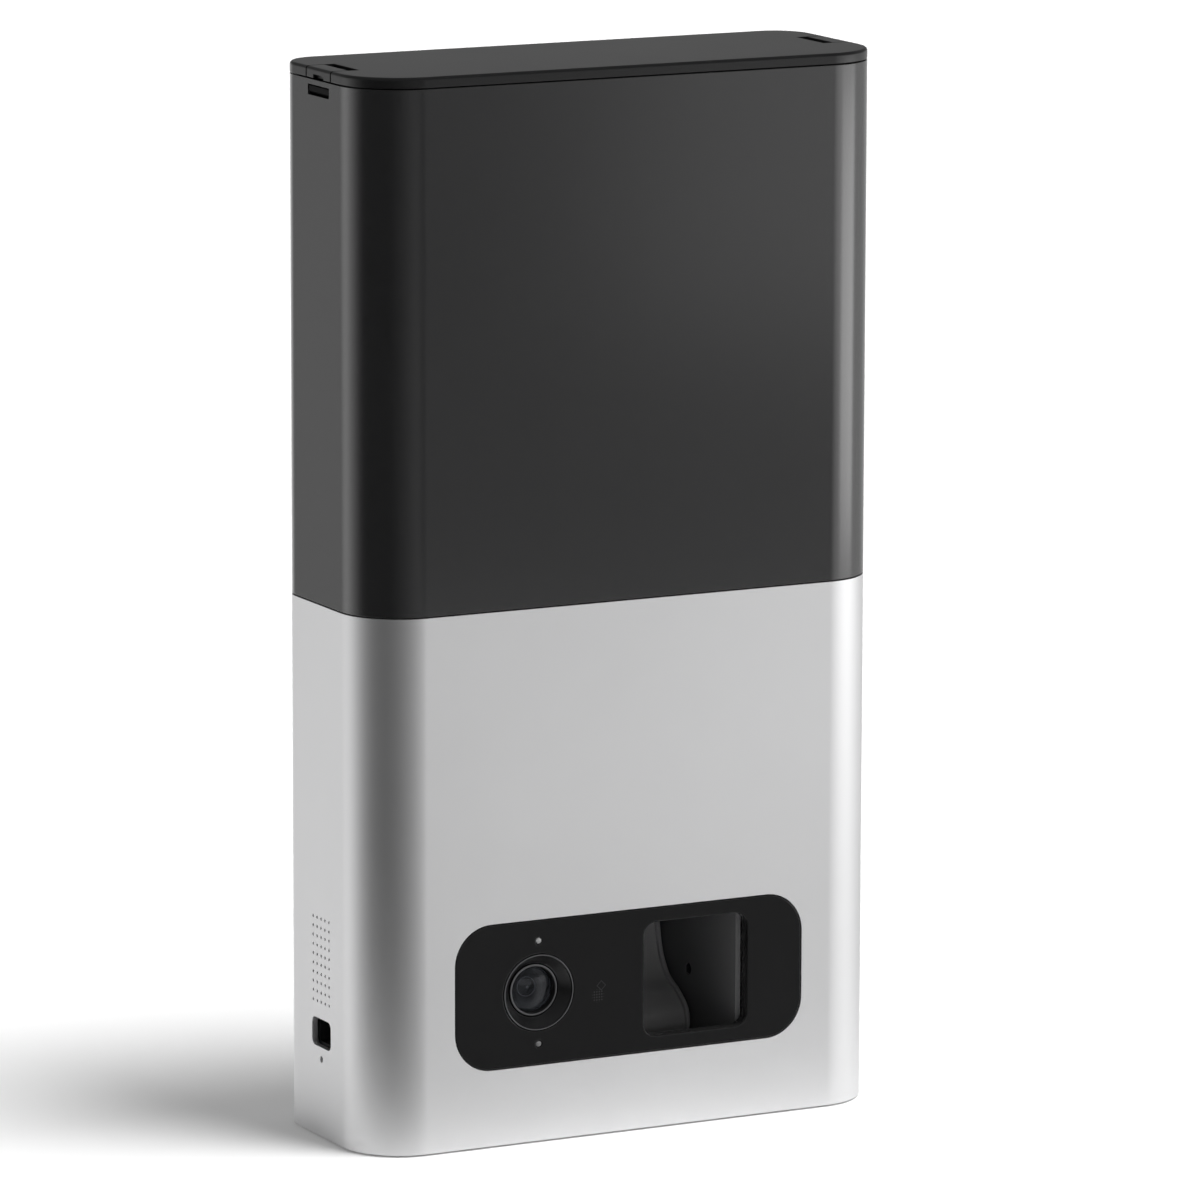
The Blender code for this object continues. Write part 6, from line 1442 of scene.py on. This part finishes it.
QUARTER = 90 * DEGREE
sector_low, sector_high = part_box("paddle_gear")
SECTOR_TEETH = 24
SECTOR_HUB = 4.4 * MM
IDLER_DIRECTION = 108 * DEGREE
IDLER_SMALL_TEETH = 12
IDLER_LARGE_TEETH = 30
MOTOR_DIRECTION = 95 * DEGREE
DOSING_TEETH = 30
IDLER_PIN_RADIUS = 1.5 * MM
sector_pitch = 360 * DEGREE / SECTOR_TEETH
TEETH_BELOW, TEETH_ABOVE = 6, 2
sector_count = TEETH_BELOW + TEETH_ABOVE + 1
sector_first = IDLER_DIRECTION - TEETH_BELOW * sector_pitch
sector_points = gear_teeth(PIVOT, SECTOR_TEETH, COARSE_MODULE, sector_first, sector_count)
for step in range(HUB_STEPS + 1):
    angle = sector_first + sector_pitch * sector_count
    angle += (360 * DEGREE - sector_pitch * (sector_count + 1)) * step / HUB_STEPS
    sector_points.append(on_circle(PIVOT, SECTOR_HUB, angle))
sector = solid_outline("sector_gear", sector_points, sector_low.x, sector_high.x, "X", nylon_skin)
carve(sector, drill(circle(PIVOT, SHAFT_RADIUS + BORE_FIT), sector_low.x, sector_high.x))
smooth_off(sector, GEAR_EDGE)
place_piece(sector, "paddle", "white_nylon", "paddle_gear")

idler_low, idler_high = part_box("launch_idler")
idler_axis = middle_of("idler_pin")
fine_start = idler_high.x - (sector_high.x - sector_low.x)
idler = solid_outline("idler_gear", gear_teeth(idler_axis, IDLER_LARGE_TEETH, FINE_MODULE, MOTOR_DIRECTION),
                      fine_start, idler_high.x, "X", nylon_skin)
lighten(idler, idler_axis, IDLER_RECESS, fine_start, idler_high.x, 8)
small_teeth = gear_teeth(idler_axis, IDLER_SMALL_TEETH, COARSE_MODULE,
                         IDLER_DIRECTION + math.pi + math.pi / IDLER_SMALL_TEETH)
carve(idler, solid_outline("small_gear_part", small_teeth, idler_low.x, fine_start + 2 * CLEARANCE, "X"),
      operation="UNION")
carve(idler, drill(circle(idler_axis, IDLER_PIN_RADIUS + BORE_FIT), idler_low.x, idler_high.x))
smooth_off(idler, IDLER_EDGE)
place_piece(idler, "launch_idler", "white_nylon", "launch_idler")
blued_skin = finish("blued_steel", (0.012, 0.012, 0.014), 0.5, 0.6, grain=6000.0, bump=0.08)
place_piece(turned_rod("idler_axle", "idler_pin", idler_axis, IDLER_PIN_RADIUS, blued_skin), "housing",
            "steel", "idler_pin")

wheel_axis = (0.0, middle_of("dosing_shaft")[1])
dosing_low, dosing_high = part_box("dosing_gear")
dosing_gear = solid_outline("star_gear", gear_teeth(wheel_axis, DOSING_TEETH, COARSE_MODULE, -QUARTER),
                            dosing_low.x, dosing_high.x, "X", nylon_skin)
lighten(dosing_gear, wheel_axis, DOSING_RECESS, dosing_low.x, dosing_high.x, 6)
WHEEL_SHAFT_RADIUS = 2.5 * MM
carve(dosing_gear, drill(circle(wheel_axis, WHEEL_SHAFT_RADIUS + BORE_FIT), dosing_low.x, dosing_high.x))
smooth_off(dosing_gear, GEAR_EDGE)
place_piece(dosing_gear, "dosing_rotor", "white_nylon", "dosing_gear")
place_piece(turned_rod("star_shaft", "dosing_shaft", wheel_axis, WHEEL_SHAFT_RADIUS, steel_skin),
            "dosing_rotor", "steel", "dosing_shaft")

MOTOR_SHAFT_RADIUS = 1.0 * MM
PINION_WIDTH = 4.0 * MM
half_tooth = math.pi / PINION_TEETH
for node, module, first in (("launch_pinion", FINE_MODULE, MOTOR_DIRECTION + math.pi + half_tooth),
                            ("dosing_pinion", COARSE_MODULE, QUARTER + half_tooth)):
    low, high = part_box(node)
    motor_axis = middle_of(node.replace("pinion", "motor"))
    pinion = solid_outline(f"{node}_teeth", gear_teeth(motor_axis, PINION_TEETH, module, first), low.x,
                           low.x + PINION_WIDTH, "X", steel_skin)
    carve(pinion, solid_outline("shaft_part", circle(motor_axis, MOTOR_SHAFT_RADIUS, 28),
                                low.x + PINION_WIDTH - CLEARANCE, high.x, "X"), operation="UNION")
    smooth_off(pinion, PINION_EDGE)
    place_piece(pinion, node, "steel", node)

# Motors and brackets
# Two can motors with pressed steel cases and moulded end caps. Each is held by its boss in a folded
# steel bracket that stands on the inner frame.
MOTOR_RADIUS = 10.0 * MM
MOTOR_CAP_RADIUS = 5.0 * MM
MOTOR_SHOULDER = 1.25 * MM
MOTOR_BOSS_RADIUS = 3.2 * MM
MOTOR_BOSS_LENGTH = 1.3 * MM
MOTOR_BORE_DEPTH = 6.0 * MM
MOTOR_FACE_ROUND = 0.5 * MM
MOTOR_EDGE = 0.1 * MM
# The can's front and its rolled groove from the back: (how deep, how far behind its face).
MOTOR_GROOVE = ((0.0, 3.1 * MM), (0.3 * MM, 2.9 * MM), (0.3 * MM, 2.5 * MM), (0.0, 2.3 * MM), (0.0, 0.5 * MM))
motor_skin = finish("pressed_steel", (0.46, 0.46, 0.465), 0.36, 1.0, grain=1800.0, bump=0.06, spread=0.16)
bracket_skin = finish("plated_bracket", (0.50, 0.50, 0.49), 0.34, 1.0, grain=2400.0, bump=0.1, spread=0.14)
for node in ("launch_motor", "dosing_motor"):
    low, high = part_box(node)
    motor_axis = middle_of(node)
    front = low.x + MOTOR_BOSS_LENGTH
    bore = MOTOR_SHAFT_RADIUS + BORE_FIT
    profile = [(0.0, high.x), (MOTOR_CAP_RADIUS, high.x), (MOTOR_CAP_RADIUS, high.x - MOTOR_SHOULDER)]
    profile += [(MOTOR_RADIUS - MOTOR_SHOULDER, high.x - MOTOR_SHOULDER)]
    profile += [(MOTOR_RADIUS - 0.35 * MOTOR_SHOULDER, high.x - 1.35 * MOTOR_SHOULDER)]
    profile.append((MOTOR_RADIUS, high.x - 2 * MOTOR_SHOULDER))
    profile += [(MOTOR_RADIUS - deep, front + behind) for deep, behind in MOTOR_GROOVE]
    profile += [(MOTOR_RADIUS - MOTOR_FACE_ROUND, front), (MOTOR_BOSS_RADIUS, front),
                (MOTOR_BOSS_RADIUS, low.x)]
    profile += [(bore, low.x), (bore, front + MOTOR_BORE_DEPTH), (0.0, front + MOTOR_BORE_DEPTH)]
    motor = lathe(f"{node}_case", profile, (0.0, *motor_axis), "X", motor_skin, 56)
    smooth_off(motor, MOTOR_EDGE)
    paint_faces(motor, black_plastic, lambda spot: spot.x > high.x - MOTOR_SHOULDER - WELD
                and math.hypot(spot.y - motor_axis[0], spot.z - motor_axis[1]) < MOTOR_CAP_RADIUS + WELD)
    place_piece(motor, "housing", "steel", node)
dress(bracket_skin, "launch_bracket", "dosing_bracket")

# Dosing drum and star wheel
# A black drum under the bin and a six-vaned silicone wheel in it. Each turn of a sixth drops one
# pocket of treats into the tube below. A round cover closes the drum's open end.
VANE_HALF = 0.9 * MM
WHEEL_HUB = 4.6 * MM
VANE_COUNT = 6
TIP_STEPS = 6
WHEEL_RADIUS = 18.5 * MM
STAR_EDGE = 0.15 * MM
COVER_FLANGE = 1.5 * MM
COVER_RIB = 0.8 * MM
COVER_DISH = (7.0 * MM, 7.6 * MM, 14.0 * MM, 14.6 * MM)
PLUG_STEP = 1.65 * MM
COVER_EDGE = 0.2 * MM
star_skin = finish("silicone_vanes", (0.30, 0.31, 0.32), 0.55, grain=1600.0, bump=0.1)
star_low, star_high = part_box("dosing_wheel")
wheel_reach = max(star_high.z - wheel_axis[1], WHEEL_RADIUS)
star_points = []
hub_half = math.asin(VANE_HALF / WHEEL_HUB)
for index in range(VANE_COUNT):
    middle = QUARTER + 360 * DEGREE * index / VANE_COUNT
    along, across = (math.cos(middle), math.sin(middle)), (-math.sin(middle), math.cos(middle))
    star_points.append(on_circle(wheel_axis, WHEEL_HUB, middle - hub_half))
    for step in range(TIP_STEPS + 1):
        turn = 180 * DEGREE * step / TIP_STEPS
        out = wheel_reach - VANE_HALF + VANE_HALF * math.sin(turn)
        sideways = -VANE_HALF * math.cos(turn)
        star_points.append((out * along[0] + sideways * across[0],
                            wheel_axis[1] + out * along[1] + sideways * across[1]))
    star_points.append(on_circle(wheel_axis, WHEEL_HUB, middle + hub_half))
    star_points.append(on_circle(wheel_axis, WHEEL_HUB, middle + math.pi / VANE_COUNT))
star = solid_outline("star_wheel", star_points, star_low.x, star_high.x, "X", star_skin)
carve(star, drill(circle(wheel_axis, WHEEL_SHAFT_RADIUS + BORE_FIT), star_low.x, star_high.x))
smooth_off(star, STAR_EDGE)
place_piece(star, "dosing_rotor", "silicone", "dosing_wheel")
dress(black_plastic, "dosing_housing")
cover_low, cover_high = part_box("dosing_cover")
flange_radius = (cover_high.z - cover_low.z) / 2
plug_radius = flange_radius - PLUG_STEP
cover_bore = WHEEL_SHAFT_RADIUS + BORE_FIT
cover_floor = cover_high.x - COVER_RIB
cover_profile = [(cover_bore, cover_high.x), (COVER_DISH[0], cover_high.x), (COVER_DISH[1], cover_floor),
                 (COVER_DISH[2], cover_floor), (COVER_DISH[3], cover_high.x), (plug_radius, cover_high.x)]
cover_profile += [(plug_radius, cover_low.x + COVER_FLANGE), (flange_radius, cover_low.x + COVER_FLANGE)]
cover_profile += [(flange_radius, cover_low.x), (cover_bore, cover_low.x)]
cover = lathe("drum_cover", cover_profile, (0.0, *wheel_axis), "X", black_plastic, 64, closed=True)
smooth_off(cover, COVER_EDGE)
place_piece(cover, "housing", "black_plastic", "dosing_cover")

# Main board
# The big circuit board stands on four standoffs of the inner frame, held by two screws. It carries chips,
# rows of small parts and a soldered shield can over the radio.
CHIP_LIFT = 0.05 * MM
SMALL_PART = (1.0 * MM, 0.5 * MM, 0.5 * MM)
ROW_PITCH = (2.6 * MM, 1.9 * MM)
SMALL_CORNER = 0.08 * MM
CHIP_CORNER = 0.2 * MM
CHIP_EDGE = 0.12 * MM
LEAD_SIZE = (0.24 * MM, 0.2 * MM, 0.7 * MM)
LEAD_DROP = 0.125 * MM
LEAD_REACH = 0.3 * MM
BOARD_SCREW_LENGTH = 7.0 * MM
main_low, main_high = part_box("main_board")
dress(board_skin, "main_board", "side_board")
fit_screws("main_board_screws", ["main_board_screw_1", "main_board_screw_2"], BOARD_SCREW_LENGTH, "FRONT")
chip_skin = finish("moulded_chip", (0.02, 0.02, 0.021), 0.55, grain=4200.0, bump=0.12)
tin_skin = finish("tinned_part", (0.55, 0.55, 0.53), 0.35, 1.0, grain=3000.0, bump=0.08)
plug_skin = finish("natural_nylon", (0.62, 0.6, 0.52), 0.4, grain=2200.0, bump=0.06)
# The parts on the board's front in millimetres: name, middle, size, pins on each side, finish.
BOARD_CHIPS = (("main_board_parts", (-44.0, 72.0), (9.0, 9.0, 1.2), 12, chip_skin),
               ("memory", (-20.0, 74.0), (10.0, 7.0, 1.0), 10, chip_skin),
               ("driver", (-55.0, 98.0), (5.0, 6.0, 1.4), 5, chip_skin),
               ("plug_left", (-56.0, 116.0), (9.0, 5.0, 3.6), 0, plug_skin))
# The fields of small parts in millimetres: middle, columns, rows.
BOARD_FIELDS = (((-32.0, 115.0), 9, 3), ((-12.0, 92.0), 3, 7))


def board_chip(name, middle, size, pins, skin):
    """A chip on the board's front face, with a row of pins along two sides."""
    x, z, across, tall, thick = [value * MM for value in (*middle, *size)]
    chip = solid_outline(name, round_rect((x, z), (across, tall), CHIP_CORNER, 3), main_low.y - thick,
                         main_low.y - CHIP_LIFT, "Y", skin)
    smooth_off(chip, CHIP_EDGE)
    if pins:
        leads = bmesh.new()
        for side in (-1, 1):
            for index in range(pins):
                cube = bmesh.ops.create_cube(leads, size=1.0)
                spot = Vector((x - across / 2 + across * (index + 0.5) / pins, main_low.y - LEAD_DROP,
                               z + side * (tall / 2 + LEAD_REACH)))
                bmesh.ops.scale(leads, vec=LEAD_SIZE, verts=cube["verts"])
                bmesh.ops.translate(leads, vec=spot, verts=cube["verts"])
        join_into(chip, from_model("leads", leads, tin_skin))
    return chip


def part_rows(middle, columns, rows):
    """A field of small soldered parts on the board, through the geometry tree of copies."""
    model = solid_outline("small_part", round_rect((0.0, 0.0), SMALL_PART[:2], SMALL_CORNER, 2), 0.0,
                          SMALL_PART[2], "Y", tin_skin)
    places = []
    for column in range(columns):
        for row in range(rows):
            places.append((middle[0] * MM + (column - (columns - 1) / 2) * ROW_PITCH[0],
                           main_low.y - CHIP_LIFT - SMALL_PART[2],
                           middle[1] * MM + (row - (rows - 1) / 2) * ROW_PITCH[1]))
    return copies_at("rows", model, places, tin_skin)


main_parts = board_chip(*BOARD_CHIPS[0])
join_into(main_parts, *[board_chip(*chip) for chip in BOARD_CHIPS[1:]],
          *[part_rows(*field) for field in BOARD_FIELDS])
place_piece(main_parts, "housing", "black_plastic")

SHIELD_EDGE = 0.45 * MM
SHIELD_CORNER = 0.8 * MM
VENT_PITCH = (3.6 * MM, 4.2 * MM)
VENT_RADIUS = 0.6 * MM
VENT_DEPTH = 0.5 * MM
shield_low, shield_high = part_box("radio_shield")
shield_middle = middle_of("radio_shield", "xz")
shield_size = (shield_high.x - shield_low.x, shield_high.z - shield_low.z)
shield = solid_outline("shield_can", round_rect(shield_middle, shield_size, SHIELD_CORNER, 5), shield_low.y,
                       shield_high.y, "Y", motor_skin)
vents = []
for column in range(-2, 3):
    for row in range(-2, 3):
        spot = (shield_middle[0] + column * VENT_PITCH[0], shield_middle[1] + row * VENT_PITCH[1])
        vents.append(solid_outline("vent_tool", circle(spot, VENT_RADIUS, 14), shield_low.y - OVERRUN,
                                   shield_low.y + VENT_DEPTH, "Y"))
carve(shield, *vents)
smooth_off(shield, SHIELD_EDGE / 2)
place_piece(shield, "housing", "steel", "radio_shield")

# Power socket, reset switch and button
# A small board behind the left side carries the power socket in its port and a push switch. A dark
# button stands between that switch and the pin hole.
CONTACT_COUNT = 5
CONTACT_SIZE = (0.55 * MM, 0.16 * MM)
CONTACT_LENGTH = 2.4 * MM
CONTACT_CORNER = 0.03 * MM
CONTACT_PITCH = 1.15 * MM
CONTACT_DEPTH = 4.9 * MM
CONTACT_DROP = 0.6 * MM
BUTTON_NOSE = (0.6, 0.1 * MM)
BUTTON_SHOULDER = 0.5 * MM
BUTTON_ROUND = 0.3 * MM
socket_low, socket_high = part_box("power_socket")
socket_skin = finish("socket_black", (0.006, 0.006, 0.0062), 0.45, grain=3400.0, bump=0.12)
dress(socket_skin, "power_socket")
dress(black_plastic, "reset_switch")
gold_skin = finish("gold_contact", (0.72, 0.5, 0.2), 0.28, 1.0, grain=3000.0, bump=0.03)
contact_model = solid_outline("contact_model", round_rect((0.0, 0.0), CONTACT_SIZE, CONTACT_CORNER, 2), 0.0,
                              CONTACT_LENGTH, "X", gold_skin)
contact_places = [(socket_low.x + CONTACT_DEPTH,
                   SIDE_MIDDLE_Y + (index - (CONTACT_COUNT - 1) / 2) * CONTACT_PITCH,
                   PORT_MIDDLE - CONTACT_DROP) for index in range(CONTACT_COUNT)]
contacts = copies_at("socket_contacts", contact_model, contact_places, gold_skin)
place_piece(contacts, "housing", "steel")
button_low, button_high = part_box("reset_button")
button_radius = (button_high.z - button_low.z) / 2
button_profile = [(0.0, button_low.x), (button_radius * BUTTON_NOSE[0], button_low.x + BUTTON_NOSE[1]),
                  (button_radius, button_low.x + BUTTON_SHOULDER),
                  (button_radius, button_high.x - BUTTON_ROUND),
                  (button_radius - BUTTON_ROUND, button_high.x), (0.0, button_high.x)]
button = lathe("pin_button", button_profile, (0.0, *middle_of("reset_button")), "X", socket_skin, 28)
smooth_off(button)
place_piece(button, "reset_button", "grey_plastic", "reset_button")

# Speaker
# A small driver behind the drilled holes, with a rubber surround round its paper cone, and a sealed box
# behind it that makes its sound fuller.
SPEAKER_FRAME_CORNER = 5.0 * MM
SPEAKER_RIM = 1.6 * MM
SURROUND_WIDTH = 1.8 * MM
CONE_POINTS = 12
CONE_STEPS = 8
INNER_CORNER = 0.6 * MM
BACK_ROUND = 0.15 * MM
FACE_ROUND = 0.25 * MM
RIM_DEPTH = 0.7 * MM
# The driver's front from its surround's foot in: (inset, how far behind its face).
DRIVER_CONE = ((3.5 * MM, 0.9 * MM), (6.2 * MM, 1.55 * MM), (6.9 * MM, 1.2 * MM))
SURROUND_FOOT = 0.75 * MM
SURROUND_RISE = 0.5 * MM
# Each end of the sound box is rounded off: (inset, how far from that end).
BOX_ROUND = ((0.8 * MM, 0.0), (0.23 * MM, 0.23 * MM), (0.0, 0.8 * MM))
driver_low, driver_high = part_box("speaker_driver")
speaker_middle = middle_of("speaker_driver")
speaker_size = (driver_high.y - driver_low.y, driver_high.z - driver_low.z)


def speaker_ring(inset, x):
    """The driver's outline at an inset and a place along X."""
    size = [value - 2 * inset for value in speaker_size]
    radius = max(SPEAKER_FRAME_CORNER - inset, INNER_CORNER)
    return [(x, y, z) for y, z in round_rect(speaker_middle, size, radius, CONE_POINTS)]


driver_rings = [speaker_ring(BACK_ROUND, driver_high.x), speaker_ring(0.0, driver_high.x - BACK_ROUND),
                speaker_ring(0.0, driver_low.x + FACE_ROUND), speaker_ring(FACE_ROUND, driver_low.x),
                speaker_ring(SPEAKER_RIM, driver_low.x),
                speaker_ring(SPEAKER_RIM, driver_low.x + RIM_DEPTH)]
for step in range(CONE_STEPS + 1):
    angle = 180 * DEGREE * step / CONE_STEPS
    driver_rings.append(speaker_ring(SPEAKER_RIM + SURROUND_WIDTH * (1 - math.cos(angle)) / 2 + WELD,
                                     driver_low.x + SURROUND_FOOT - SURROUND_RISE * math.sin(angle)))
driver_rings += [speaker_ring(inset, driver_low.x + behind) for inset, behind in DRIVER_CONE]
driver = smooth_off(loft("speaker_cone", driver_rings, chip_skin))
place_piece(driver, "housing", "black_plastic", "speaker_driver")
box_low, box_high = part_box("speaker_box")
box_rings = [speaker_ring(inset, box_low.x + along) for inset, along in BOX_ROUND]
box_rings += [speaker_ring(inset, box_high.x - along) for inset, along in BOX_ROUND[::-1]]
sound_box = smooth_off(loft("sound_box", box_rings, black_plastic))
place_piece(sound_box, "housing", "black_plastic", "speaker_box")
